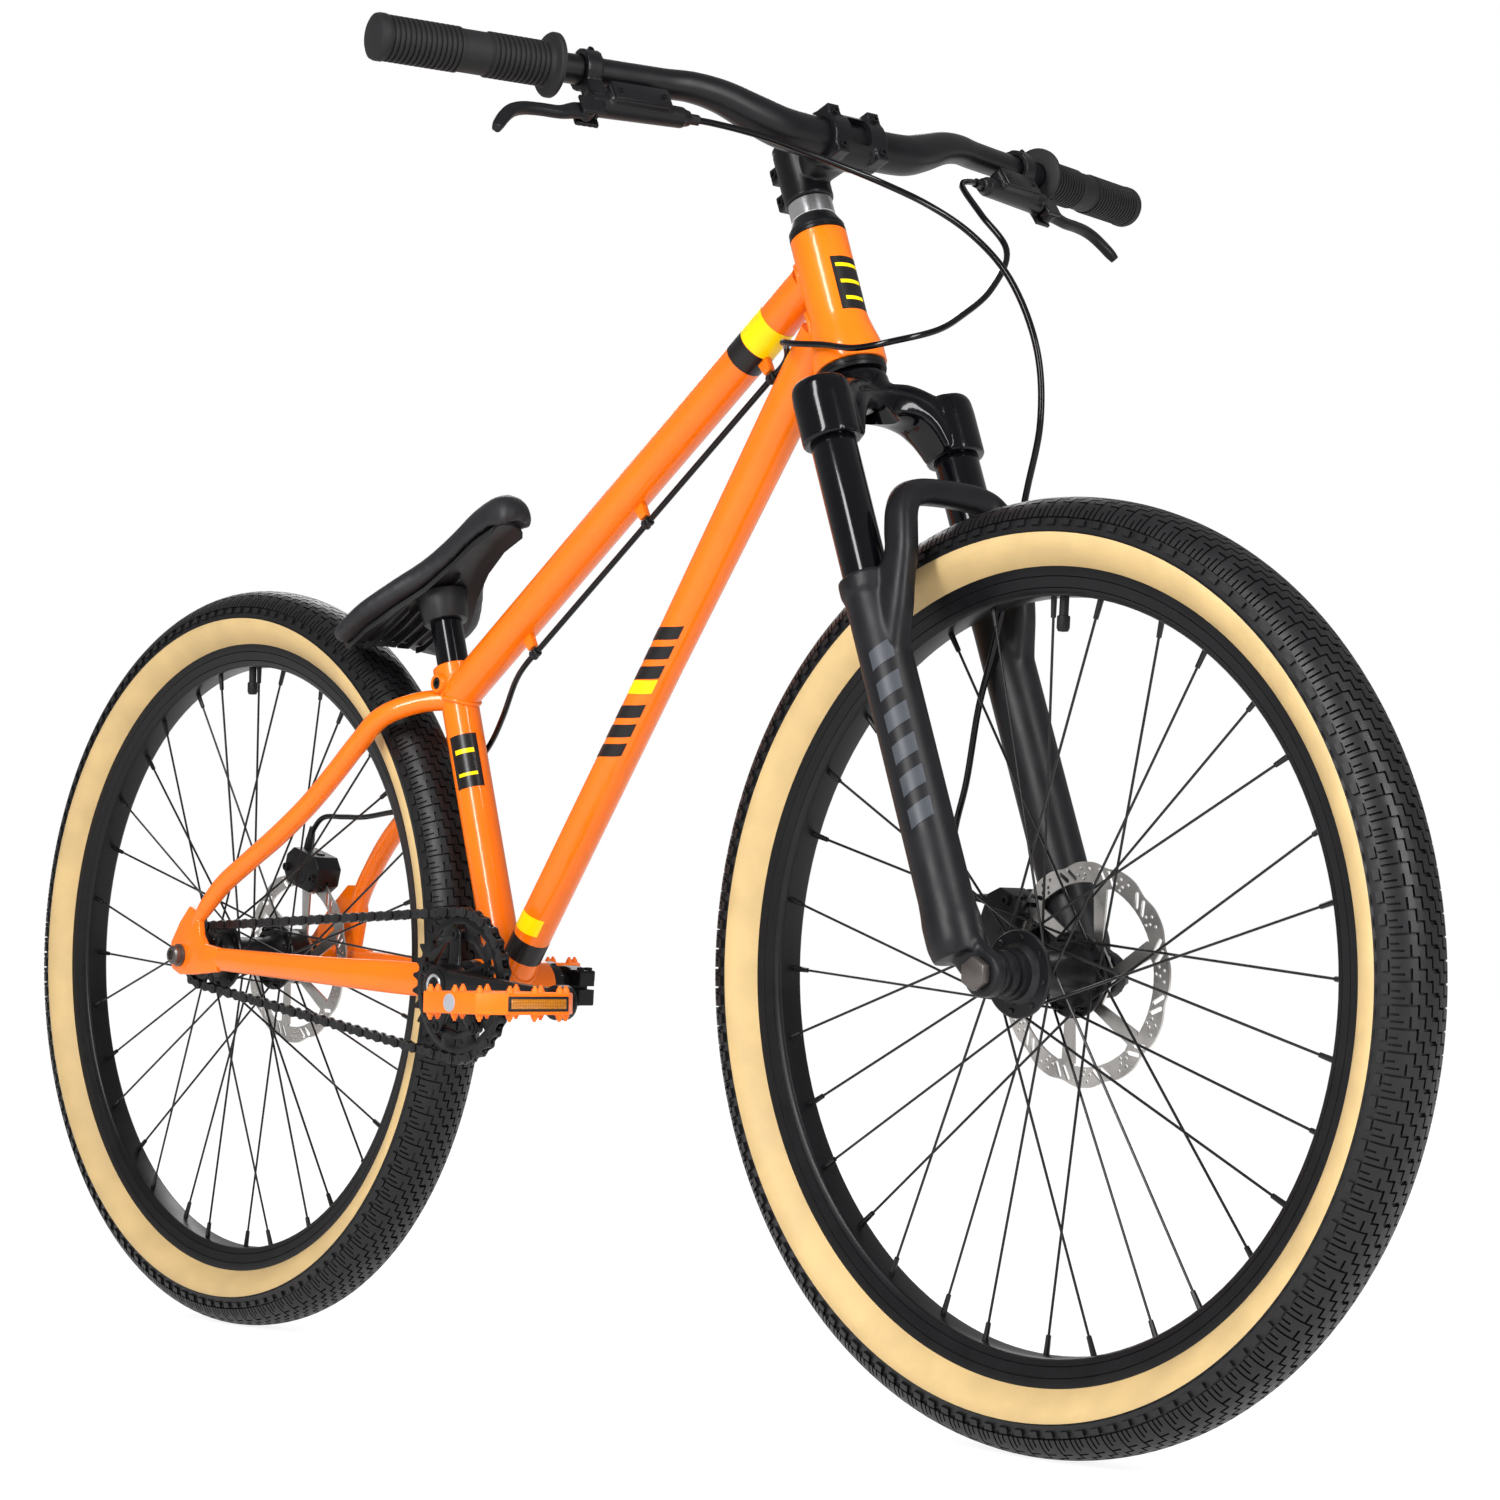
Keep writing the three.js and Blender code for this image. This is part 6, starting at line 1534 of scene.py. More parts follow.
CHAIN_PLANE = -50
PITCH = 12.7
RING_TEETH = 30
COG_TEETH = 13
CHAIN_LINKS = 82
RING_RADIUS = PITCH / (2 * math.sin(math.pi / RING_TEETH))
COG_RADIUS = PITCH / (2 * math.sin(math.pi / COG_TEETH))
# The chain's line: the lean of its straight runs, their length, its wraps and the pitch that fits them
CENTRES = (BRACKET - REAR_AXLE).length
CHAIN_LEAN = math.asin((RING_RADIUS - COG_RADIUS) / CENTRES)
CHAIN_RUN = CENTRES * math.cos(CHAIN_LEAN)
RING_WRAP = (math.pi + 2 * CHAIN_LEAN) * RING_RADIUS
COG_WRAP = (math.pi - 2 * CHAIN_LEAN) * COG_RADIUS
CHAIN_STEP = (RING_WRAP + COG_WRAP + 2 * CHAIN_RUN) / CHAIN_LINKS
# A tooth from its left foot: [share of the pitch from the tooth's middle, height over the pitch circle]
TOOTH = [
    (-0.5, -4.0), (-0.36, -3.4), (-0.26, -2.0), (-0.19, 0), (-0.12, 2.3), (-0.05, 3.4), (0.05, 3.4),
    (0.12, 2.3), (0.19, 0), (0.26, -2.0), (0.36, -3.4),
]
TOOTH_HALF_WIDTH = 1.05
# Sprockets: edge rounding, centre, pitch radius, teeth, the middle of the wrap along the chain, inner radius
SPROCKETS = {
    "chainring": (0.5, BRACKET, RING_RADIUS, RING_TEETH, RING_WRAP / 2, 54),
    "rear_cog": (0.4, REAR_AXLE, COG_RADIUS, COG_TEETH, RING_WRAP + CHAIN_RUN + COG_WRAP / 2, 20),
}


def chain_place(distance):
    """A place in millimetres on the chain's line, from the chainring's rearmost lower end round its front."""
    first = math.atan2(BRACKET.z - REAR_AXLE.z, BRACKET.x - REAR_AXLE.x) - QUARTER - CHAIN_LEAN
    top = first + RING_WRAP / RING_RADIUS
    bottom = top + COG_WRAP / COG_RADIUS
    distance %= CHAIN_STEP * CHAIN_LINKS
    if distance < RING_WRAP:
        return BRACKET + around(first + distance / RING_RADIUS) * RING_RADIUS
    distance -= RING_WRAP
    if distance < CHAIN_RUN:
        return BRACKET + around(top) * RING_RADIUS + around(top + QUARTER) * distance
    distance -= CHAIN_RUN
    if distance < COG_WRAP:
        return REAR_AXLE + around(top + distance / COG_RADIUS) * COG_RADIUS
    return REAR_AXLE + around(bottom) * COG_RADIUS + around(bottom + QUARTER) * (distance - COG_WRAP)


def link_plate(name, y0, y1, lobe, waist):
    outline = []
    for centre, first in ((PITCH / 2, -120), (-PITCH / 2, 60)):
        for k in range(9):
            place = FORWARD * centre + around(math.radians(first + 30 * k)) * lobe
            outline.append((place.x, place.z))
        outline.append((0, math.copysign(waist, centre)))
    return plate(name, outline, y0, y1)


def make_link(name, inner):
    """One link of the chain about the origin, lying along X."""
    near, far = (1.9, 2.95) if inner else (3.05, 4.05)
    radius, half = (3.85, 1.8) if inner else (1.8, 4.3)
    pieces = [link_plate(name, -far, -near, 4.25, 2.7), link_plate(name, near, far, 4.25, 2.7)]
    for end in (-PITCH / 2, PITCH / 2):
        pieces.append(cross_rod(name, FORWARD * end, -half, half, radius, sides=12))
    return join(name, *pieces)


def make_chain(name):
    links = [make_link(name + "_inner", True), make_link(name + "_outer", False)]
    copies = []
    for i in range(CHAIN_LINKS):
        start, end = chain_place(i * CHAIN_STEP), chain_place((i + 1) * CHAIN_STEP)
        angle = math.atan2(end.z - start.z, end.x - start.x)
        copy = duplicate(links[i % 2], name)
        middle = ((start + end) / 2 + LEFT * CHAIN_PLANE) * MM
        copy.matrix_world = Matrix.Translation(middle) @ Matrix.Rotation(-angle, 4, LEFT)
        copies.append(copy)
    for link in links:
        bpy.data.objects.remove(link)
    select(*copies)
    bpy.ops.object.transform_apply(location=True, rotation=True, scale=True)
    return join(name, *copies)


def make_sprocket(name, node):
    """A sprocket, turned so that the roller nearest the middle of the chain's wrap lies between two teeth."""
    edge, centre, radius, count, middle, inner = SPROCKETS[node]
    ring = bevel(copy_of_node(node, name), edge, 2, 40)
    roller = chain_place(round(middle / CHAIN_STEP) * CHAIN_STEP) - centre
    phase = math.atan2(roller.z, roller.x)
    outline = []
    for i in range(count):
        for share, height in TOOTH:
            place = centre + around(phase + WHOLE * (i + 0.5 + share) / count) * (radius + height)
            outline.append((place.x, place.z))
    teeth = plate(name, outline, CHAIN_PLANE - TOOTH_HALF_WIDTH, CHAIN_PLANE + TOOTH_HALF_WIDTH)
    cut(teeth, cross_rod(name, centre, CHAIN_PLANE - 4, CHAIN_PLANE + 4, inner, sides=72))
    return join(name, teeth, ring)


PEDAL_PLACES = {-1: Vector((55.986, -140.5, 304.959)), 1: Vector((-282.018, 140.5, 325.041))}
CRANK_BOSS = (57.8, 75.3)
CRANK_END = (72.5, 86.5)
# The crank's arm: share of its length, half width and half height
CRANK_STATIONS = [
    (0.06, 8.2, 15), (0.2, 8.0, 13.4), (0.4, 7.6, 12.0), (0.65, 7.2, 10.8), (0.85, 6.8, 10.6),
    (0.97, 6.4, 11.6),
]
CHAINRING_BOLT_CIRCLE = 42


def crank_pieces(name, side):
    """The bosses and the arm of one crank, still apart."""
    eye = PEDAL_PLACES[side]
    stations = []
    for share, wide, high in CRANK_STATIONS:
        y = side * (sum(CRANK_BOSS) * (1 - share) + sum(CRANK_END) * share) / 2
        stations.append(((BRACKET.lerp(Vector((eye.x, 0, eye.z)), share) + LEFT * y) * MM, wide, high))
    return [
        cross_rod(name, BRACKET, side * CRANK_BOSS[0], side * CRANK_BOSS[1], 17.3, sides=64),
        cross_rod(name, eye, side * CRANK_END[0], side * CRANK_END[1], 13.8, sides=56),
        bar(name, stations, sides=32, squareness=3.2),
    ]


def make_right_crank(name):
    """The right crank with its spindle, spider and chainring screws."""
    pieces = crank_pieces(name, -1)
    pieces.append(cross_rod(name, BRACKET, -60, -52.6, 17.5, sides=64))
    screws = []
    for i in range(5):
        out = around(QUARTER + WHOLE * i / 5)
        root, tip = BRACKET - LEFT * 55.6 + out * 8, BRACKET - LEFT * 54.2 + out * 44.6
        stations = [(root * MM, 3.0, 9), ((root + tip) / 2 * MM, 2.2, 7.4), (tip * MM, 1.9, 6.6)]
        pieces.append(bar(name, stations, sides=20, squareness=4))
        bolt = BRACKET + out * CHAINRING_BOLT_CIRCLE
        pieces.append(cross_rod(name, bolt, -56, -52.2, 6.4, sides=32))
        screws.append(hex_screw(name, (bolt - LEFT * 55.6) * MM, -LEFT, 4.4, 1.6))
        screws.append(cross_rod(name, bolt, -55, -47.4, 4.4, sides=24))
    body = cast(join(name, *pieces), 1.3, 4)
    cap = [(0, 0), (13.5, 0), (13.5, 1), (9, 1.6), (8.6, 0.2), (0, 0.2)]
    return join(
        name,
        *screws,
        cross_rod(name, BRACKET, -60, 75.2, 12),
        lathe(name, cap, (BRACKET - LEFT * 75.1) * MM, -LEFT, 48),
        body,
    )


def make_spindle_ring(name):
    """The bright ring round the spindle's right end."""
    profile = [(7, 0), (9.6, 0), (9.6, 2), (9.1, 2.5), (7.5, 2.5), (7, 2)]
    return lathe(name, profile, (BRACKET - LEFT * 75.3) * MM, -LEFT, 48, True)


def make_left_crank(name):
    """The left crank with its slit, its two pinch screws and the spindle's cap."""
    arm = (Vector((PEDAL_PLACES[1].x, 0, PEDAL_PLACES[1].z)) - BRACKET).normalized()
    turn, up = Quaternion(LEFT, -math.atan2(arm.z, arm.x)), LEFT.cross(arm)

    def behind_spindle(back, y, high=0):
        return (BRACKET - arm * back + LEFT * y + up * high) * MM

    lug = block(name, behind_spindle(14.5, 66.5), (17, 17, 30), turn)
    body = cast(join(name, *crank_pieces(name, 1), lug), 1.3, 4)
    slit = block(name, behind_spindle(20, 66), (20, 26, 3), turn)
    cut(body, slit, cross_rod(name, BRACKET, 50, 90, 12.4))
    screws = [hex_screw(name, behind_spindle(18, y, 14.6), up, 3.4, 2.4) for y in (62.4, 70.6)]
    cap = [(0, 0), (12, 0), (12, 1.2), (7, 1.8), (6.6, 0.3), (0, 0.3)]
    return join(name, *screws, lathe(name, cap, (BRACKET + LEFT * 74.2) * MM, LEFT, 48), body)


def make_bracket_cup(name):
    """The left bearing cup, notched for its wrench, with the bearing's seal."""
    profile = [
        (12.4, 20), (16.7, 20), (16.7, 34.3), (20.6, 34.3), (21, 34.7), (21, 43.2), (20.3, 44), (15.6, 44),
        (15.2, 43.2), (12.4, 43.2),
    ]
    cup = lathe(name, profile, BRACKET * MM, LEFT, closed=True)
    places = [BRACKET + around(WHOLE * i / 12) * 21.6 for i in range(12)]
    return cut(cup, join(name, *[cross_rod(name, place, 37, 46, 2.0, sides=10) for place in places]))


def make_pedal_spindle(name):
    """The left pedal's spindle: thread, wrench flats and the plain end."""
    eye = PEDAL_PLACES[1]
    profile = [
        (0, 74.6), (6.6, 74.6), (7, 75), (7, 86.8), (8.5, 86.9), (8.5, 89.4), (8.1, 89.8), (5, 90),
        (5, 182.2), (4.6, 182.5), (0, 182.5),
    ]
    spindle = lathe(name, profile, at(eye.x, 0, eye.z), LEFT, steps=48)
    return cut(spindle, cross_rod(name, eye, 74, 78, 3.4, sides=6))


PIN_HEIGHT = 5.6
# The pins' places from the middle of the pedal, and how each is made: its low and high end as shares of its
# height, and its radii there
PEDAL_PINS = [(end * 45.2, y) for end in (-1, 1) for y in (-24, 0, 24)]
PEDAL_PINS += [(x, end * 41.6) for end in (-1, 1) for x in (-31, 0, 31)]
PIN_STAGES = [(0, 0.7, 3.4, 2.0), (0.6, 1, 1.6, 1.2)]
# Reflectors: the size of each part and how far out it lies
REFLECTOR_PARTS = {"housing": ((2.0, 58, 11.4), 49.7), "lens": ((1.4, 53, 7.6), 50.4)}


def make_pedal(name, node, side, pin_height):
    """A platform pedal with its moulded pins over and under the cage."""
    body = bevel(copy_of_node(node, name), 1.1, 3, 35)
    pins = []
    for x, y in PEDAL_PINS:
        for up in (1, -1):
            foot, rise = PEDAL_PLACES[side] + Vector((x, y, up * 8.0)), UP * up * pin_height
            for low, high, radius, end_radius in PIN_STAGES:
                start, end = (foot + rise * low) * MM, (foot + rise * high) * MM
                pins.append(rod(name, start, end, radius, end_radius, sides=16))
    return join(name, *pins, body)


def make_reflectors(name, side, part):
    """The housings or the lenses in a pedal's front and back edges."""
    size, out = REFLECTOR_PARTS[part]
    places = [(PEDAL_PLACES[side] + FORWARD * end * out) * MM for end in (-1, 1)]
    return join(name, *[bevel(block(name, place, size), 0.5, 2) for place in places])


def make_pedal_disc(name, side):
    """The round disc on a pedal's outer end."""
    profile = [(0, 0), (6.8, 0), (7.2, 0.3), (6.8, 0.9), (0, 1.1)]
    return lathe(name, profile, (PEDAL_PLACES[side] + LEFT * side * 46.6) * MM, LEFT * side, 40)


def make_rear_axle(name):
    """The rear axle with its washers and domed screws."""
    profile = [(0, 0), (10, 0), (10, 1.8), (8.4, 2.2), (8.4, 7), (7, 8.6), (4.4, 9), (4.2, 6), (0, 6)]
    pieces = [cross_rod(name, REAR_AXLE, -76, 76, 4.9, sides=40)]
    for side in (1, -1):
        pieces.append(lathe(name, profile, (REAR_AXLE + LEFT * side * 75.1) * MM, LEFT * side, 48))
    return join(name, *pieces)


# Seat

POST_TOP = Vector((-213.26, 0, 638.84))
SADDLE_BACK = POST_TOP.x - 106
SADDLE_LENGTH = 215
SADDLE_HEIGHT = 104
SADDLE_BELOW_POST = 13
SADDLE_HALF_WIDTH = 68
SADDLE_THICKNESS = 26
# Stations: shares of the length, of the height, of the half width and of the thickness
SADDLE_STATIONS = [
    (0, 0.09, 0.42, 0.42), (0.06, 0.115, 0.72, 0.72), (0.17, 0.15, 0.96, 1), (0.3, 0.27, 1, 1),
    (0.42, 0.42, 0.82, 1), (0.54, 0.58, 0.56, 1), (0.66, 0.76, 0.4, 1), (0.78, 0.92, 0.34, 1),
    (0.9, 1, 0.32, 0.95), (0.97, 0.94, 0.26, 0.75), (1, 0.84, 0.14, 0.4),
]
# Half of the section: shares of the half width out and of the thickness down
SADDLE_SECTION = [
    (0, 0), (0.35, -0.04), (0.68, -0.2), (0.9, -0.5), (1, -0.9), (0.95, -1.25), (0.78, -1.3), (0.5, -1),
    (0.2, -0.92),
]


def saddle_rings(shrink):
    """Rings of the saddle's padded top in metres, set in from its cover by a distance in millimetres."""
    section = smooth_path([(*point, 0) for point in SADDLE_SECTION], 3)
    rings = []
    for along, high, wide, thick in smooth_path(SADDLE_STATIONS, 4):
        x = SADDLE_BACK + shrink + along * (SADDLE_LENGTH - 2 * shrink)
        top = POST_TOP.z + high * SADDLE_HEIGHT - SADDLE_BELOW_POST
        half, deep = wide * SADDLE_HALF_WIDTH, thick * SADDLE_THICKNESS
        narrow = half - shrink if half > shrink else half / 2
        points = [(out * narrow, top - shrink + down * (deep - shrink)) for out, down, _ in section]
        rings.append([at(x, y, z) for y, z in points] + [at(x, -y, z) for y, z in reversed(points[1:])])
    return rings


PAD_VOXEL = 4
PAD_CLOTH = {
    "quality": 5,
    "mass": 0.3,
    "tension_stiffness": 15,
    "compression_stiffness": 15,
    "bending_stiffness": 0.5,
    "use_pressure": True,
    "uniform_pressure_force": 4,
}
PAD_CAP = 3.0
PAD_FRAMES = 20


def inflate(piece, cap):
    """Swells a padded piece with a short cloth run, its underside held, and caps how far it moves."""
    before = [vertex.co.copy() for vertex in piece.data.vertices]
    held = piece.vertex_groups.new(name="held")
    held.add([v.index for v in piece.data.vertices if v.normal.z < -0.35], 1.0, "REPLACE")
    modifier = piece.modifiers.new("cloth", "CLOTH")
    for key, value in PAD_CLOTH.items():
        setattr(modifier.settings, key, value)
    modifier.settings.vertex_group_mass = held.name
    modifier.settings.effector_weights.gravity = 0
    modifier.collision_settings.use_collision = False
    scene = bpy.context.scene
    for step in range(1, PAD_FRAMES + 1):
        scene.frame_set(step)
    select(piece)
    bpy.ops.object.modifier_apply(modifier=modifier.name)
    scene.frame_set(1)
    for vertex, start in zip(piece.data.vertices, before):
        move = vertex.co - start
        if move.length > cap * MM:
            vertex.co = start + move.normalized() * cap * MM
    piece.vertex_groups.clear()


def make_saddle_pad(name, fill):
    """The saddle's padded top: inflated foam under a tight matt cover."""
    pad = loft(name, saddle_rings(1.6))
    apply_modifier(pad, "REMESH", mode="VOXEL", voxel_size=PAD_VOXEL * MM)
    apply_modifier(pad, "SMOOTH", factor=0.5, iterations=4)
    inflate(pad, PAD_CAP * fill)
    apply_modifier(pad, "SMOOTH", factor=0.5, iterations=3)
    return apply_modifier(pad, "SUBSURF", levels=1, render_levels=1)


def make_saddle_base(name):
    """The plastic shell under the pad, with its ribs."""
    pieces = []
    for y, back, front in [
        (0, 0.08, 0.6), (14, 0.1, 0.52), (-14, 0.1, 0.52), (28, 0.14, 0.44), (-28, 0.14, 0.44),
    ]:
        shares = [back + (front - back) * k / 6 for k in range(7)]
        upper = [(SADDLE_BACK + share * SADDLE_LENGTH, underside(share, y)) for share in shares]
        lower = [(x, z - 5) for x, z in reversed(upper)]
        pieces.append(plate(name, upper + lower, y - 0.9, y + 0.9))
    return join(name, *pieces, bevel(copy_of_node("saddle_base", name), 0.8, 2, 35))


def underside(along, y):
    """The height in millimetres of the base's underside at a share of the saddle's length."""
    for before, after in zip(SADDLE_STATIONS, SADDLE_STATIONS[1:]):
        if before[0] <= along <= after[0]:
            share = (along - before[0]) / (after[0] - before[0])
            _, high, wide, thick = Vector(before).lerp(Vector(after), share)
    out = abs(y) / (wide * SADDLE_HALF_WIDTH)
    drop = 0.95 + 0.32 * min(max((out - 0.2) / 0.56, 0), 1)
    return POST_TOP.z + high * SADDLE_HEIGHT - SADDLE_BELOW_POST - thick * SADDLE_THICKNESS * drop - 5


def make_seatpost(name):
    bottom = SEAT_TOP - SEAT_UP * 110
    length = (POST_TOP - bottom).length
    profile = [(11.4, 0), (13.4, 0), (13.6, 0.3), (13.6, length - 0.5), (13.2, length), (11.4, length)]
    return lathe(name, profile, bottom * MM, SEAT_UP, closed=True)


def make_clamp_bolt(name):
    shank = rod(name, on_seat_tube(16, -19), on_seat_tube(16, -14), 2.9, sides=24)
    head = hex_screw(name, on_seat_tube(16, -18), -LEFT, 4.9, 3.6)
    return join(name, shank, head)


def make_hose_clip(name, share):
    """A clip closed round the hose under the top tube, with the end of its tie."""
    middle = TOP_TUBE_FROM.lerp(TOP_TUBE_TO, share) + TOP_TUBE_BELOW * HOSE_BELOW_TOP_TUBE
    profile = [
        (2.65, -3.9), (3.9, -3.9), (4.3, -3.4), (4.3, -1.4), (3.8, -1), (3.8, 1), (4.3, 1.4), (4.3, 3.4),
        (3.9, 3.9), (2.65, 3.9),
    ]
    ring = lathe(name, profile, middle * MM, TOP_TUBE_ALONG, 32, True)
    knob = bevel(block(name, (middle - LEFT * 4.6 + TOP_TUBE_BELOW) * MM, (3.6, 3, 4.4)), 0.5, 2)
    return join(name, knob, ring)


# Coloured films on the tubes


def film(name, start, direction, radius, run, sweep, slant=0.0):
    """A thin film lying on a tube. Run is its span in millimetres along the tube; sweep its angles in
    degrees about it, 0 facing right and 90 facing forward; slant slides one edge along the tube."""
    front = Vector((direction.z, 0, -direction.x))
    columns, rows = math.ceil((sweep[1] - sweep[0]) / 5), 4
    deselect()
    bpy.ops.mesh.primitive_grid_add(x_subdivisions=columns, y_subdivisions=rows)
    piece = named(name)
    for i, vertex in enumerate(piece.data.vertices):
        u, v = i % (columns + 1) / columns, i // (columns + 1) / rows
        angle = math.radians(sweep[0] + (sweep[1] - sweep[0]) * u)
        along = run[0] + (run[1] - run[0]) * v + slant * (u - 0.5)
        out = -LEFT * math.cos(angle) + front * math.sin(angle)
        vertex.co = (start + direction * along + out * (radius + 0.05)) * MM
    face_outwards(piece)
    middle = piece.data.polygons[0]
    outward = middle.center - (start + direction * sum(run) / 2) * MM
    if middle.normal.dot(outward) < 0:
        edit(piece)
        bpy.ops.mesh.flip_normals()
        leave_edit()
    return apply_modifier(piece, "SOLIDIFY", thickness=0.2 * MM, offset=1)


def make_frame_films():
    """Plain bands and bars of colour, where the frame carries its decoration."""
    def on_top(*shares):
        run = [share * (TOP_TUBE_TO - TOP_TUBE_FROM).length for share in shares]
        return film("film", TOP_TUBE_FROM, TOP_TUBE_ALONG, TOP_TUBE_RADIUS, run, (-180, 180))

    def on_down(low, high, sweep, slant=0.0, radius=DOWN_TUBE_RADIUS):
        run = [share * (DOWN_TUBE_TO - BRACKET).length for share in (low, high)]
        return film("film", BRACKET, DOWN_TUBE_ALONG, radius, run, sweep, slant)

    yellow = [on_top(0.835, 0.885), on_down(0.09, 0.115, (-60, 60), 5), on_down(0.455, 0.475, (-40, 50), 16)]
    for run in ((-82, -78), (-102, -99)):
        yellow.append(film("film", SEAT_TOP, SEAT_UP, SEAT_TUBE_RADIUS + 0.3, run, (10, 70)))
    for k in range(4):
        run, sweep = (-36 - 14 * k, -33 - 14 * k), (62 + 3 * k, 118 - 3 * k)
        yellow.append(film("film", HEAD_TOP, STEERING_UP, 22.3, run, sweep))
    black = [
        film("film", HEAD_TOP, STEERING_UP, 22, (-91, -27), (55, 125)),
        on_top(0.8, 0.834),
        on_down(0.05, 0.08, (-180, 180)),
        film("film", SEAT_TOP, SEAT_UP, SEAT_TUBE_RADIUS, (-112, -65), (-5, 85)),
    ]
    for k in (0, 1, 2, 4, 5, 6):
        near = 0.36 + 0.029 * k
        black.append(on_down(near, near + 0.019, (-45, 50), 18, down_tube_radius(0.36 + 0.03 * k)))
    return join("frame_bands_yellow", *yellow), join("frame_bands_black", *black)


def make_leg_films(name):
    """Plain grey bars down the right leg's side."""
    start = leg_place(-1) / MM
    return join(name, *[
        film(name, start, STEERING_UP, 19.7, (-372 - 24 * k, -358 - 24 * k), (8, 62), 7) for k in range(6)
    ])


# Settings that a user would change


class BikeSettings(bpy.types.PropertyGroup):
    paint: bpy.props.FloatVectorProperty(
        name="Frame paint", description="Colour of the frame's paint and of the pedals",
        default=(0.88, 0.16, 0.001), size=3, min=0, max=1, subtype="COLOR")
    sidewall: bpy.props.FloatVectorProperty(
        name="Sidewall", description="Colour of the tyres' sidewalls", default=(0.54, 0.38, 0.17),
        size=3, min=0, max=1, subtype="COLOR")
    pin_height: bpy.props.FloatProperty(
        name="Pin height", description="How far the pedals' pins stand up, in millimetres",
        default=PIN_HEIGHT, min=0, max=6)
    saddle_fill: bpy.props.FloatProperty(
        name="Saddle fill", description="How firmly the saddle's cover is filled", default=0.8, min=0, max=1,
        subtype="FACTOR")


def settings():
    return bpy.context.scene.dirt_jump_bike


SIDES = {1: "left", -1: "right"}


def both_sides(make, name):
    """A piece made for the left and its mirrored copy for the right, each with its side's word."""
    left = make(name + "left")
    return (left, "left"), (mirror(left, name + "right"), "right")


# Operators


class BIKE_OT_camera(bpy.types.Operator):
    """Places the camera and prepares the finishes"""

    bl_idname = "bike.camera"
    bl_label = "Camera and finishes"

    def execute(self, context):
        make_camera()
        make_finishes(tuple(settings().paint), tuple(settings().sidewall))
        return {"FINISHED"}


class BIKE_OT_hoses(bpy.types.Operator):
    """Makes both brake hoses"""

    bl_idname = "bike.hoses"
    bl_label = "Brake hoses"

    def execute(self, context):
        make_hose("front_hose", FRONT_HOSE_ROUTE, "front_brake_hose")
        make_hose("rear_hose", REAR_HOSE_ROUTE, "rear_brake_hose")
        return {"FINISHED"}


class BIKE_OT_frame(bpy.types.Operator):
    """Makes the welded frame, its films, the seat clamp's bolt and the hose clips"""

    bl_idname = "bike.frame"
    bl_label = "Frame"

    def execute(self, context):
        dress(make_frame("frame_welded"), "main_frame", "paint", "orange_paint", "frame", angle=40)
        yellow, black = make_frame_films()
        dress(yellow, "main_frame", "yellow_film", "orange_paint")
        dress(black, "main_frame", "black_film", "black_metal")
        dress(make_clamp_bolt("clamp_bolt"), "main_frame", "anodised", "black_metal", "seat_clamp_bolt")
        for place, share in zip(("rear", "middle", "front"), GUIDE_SHARES):
            clip = make_hose_clip("clip_" + place, share)
            dress(clip, "main_frame", "black_plastic", "black_plastic", "hose_clip_" + place)
        return {"FINISHED"}


class BIKE_OT_headset(bpy.types.Operator):
    """Makes the headset's cups, cover and spacer"""

    bl_idname = "bike.headset"
    bl_label = "Headset"

    def execute(self, context):
        for name, body, finish, slot, node in (
            ("upper_cup", "main_frame", "satin", "black_metal", "headset_upper_cup"),
            ("lower_cup", "main_frame", "satin", "black_metal", "headset_lower_cup"),
            ("top_cover", "steering_assembly", "anodised", "black_metal", "headset_top_cover"),
            ("spacer", "steering_assembly", "silver", "silver_metal", "stem_spacer"),
        ):
            dress(make_headset_ring(name), body, finish, slot, node)
        return {"FINISHED"}


class BIKE_OT_stem(bpy.types.Operator):
    """Makes the stem, its faceplate and its top cap"""

    bl_idname = "bike.stem"
    bl_label = "Stem"

    def execute(self, context):
        body = "steering_assembly"
        dress(make_stem("stem_body"), body, "satin", "black_metal", "stem")
        dress(make_faceplate("stem_front"), body, "satin", "black_metal", "stem_faceplate")
        dress(make_top_cap("stem_cap"), body, "anodised", "black_metal", "stem_top_cap")
        return {"FINISHED"}


class BIKE_OT_handlebar(bpy.types.Operator):
    """Makes the handlebar and both grips"""

    bl_idname = "bike.handlebar"
    bl_label = "Handlebar and grips"

    def execute(self, context):
        body = "steering_assembly"
        dress(make_handlebar("riser_bar"), body, "satin", "black_metal", "handlebar")
        for grip, word in both_sides(make_grip, "grip_rubber_"):
            dress(grip, body, "rubber", "black_rubber", "grip_" + word)
        return {"FINISHED"}


class BIKE_OT_levers(bpy.types.Operator):
    """Makes both brake masters with their levers"""

    bl_idname = "bike.levers"
    bl_label = "Brake levers"

    def execute(self, context):
        for master, word in both_sides(make_master, "master_"):
            dress(master, "steering_assembly", "satin", "black_metal", "brake_master_" + word)
        for lever, word in both_sides(make_lever, "lever_"):
            dress(lever, word + "_lever", "satin", "black_metal", "brake_lever_" + word)
        return {"FINISHED"}


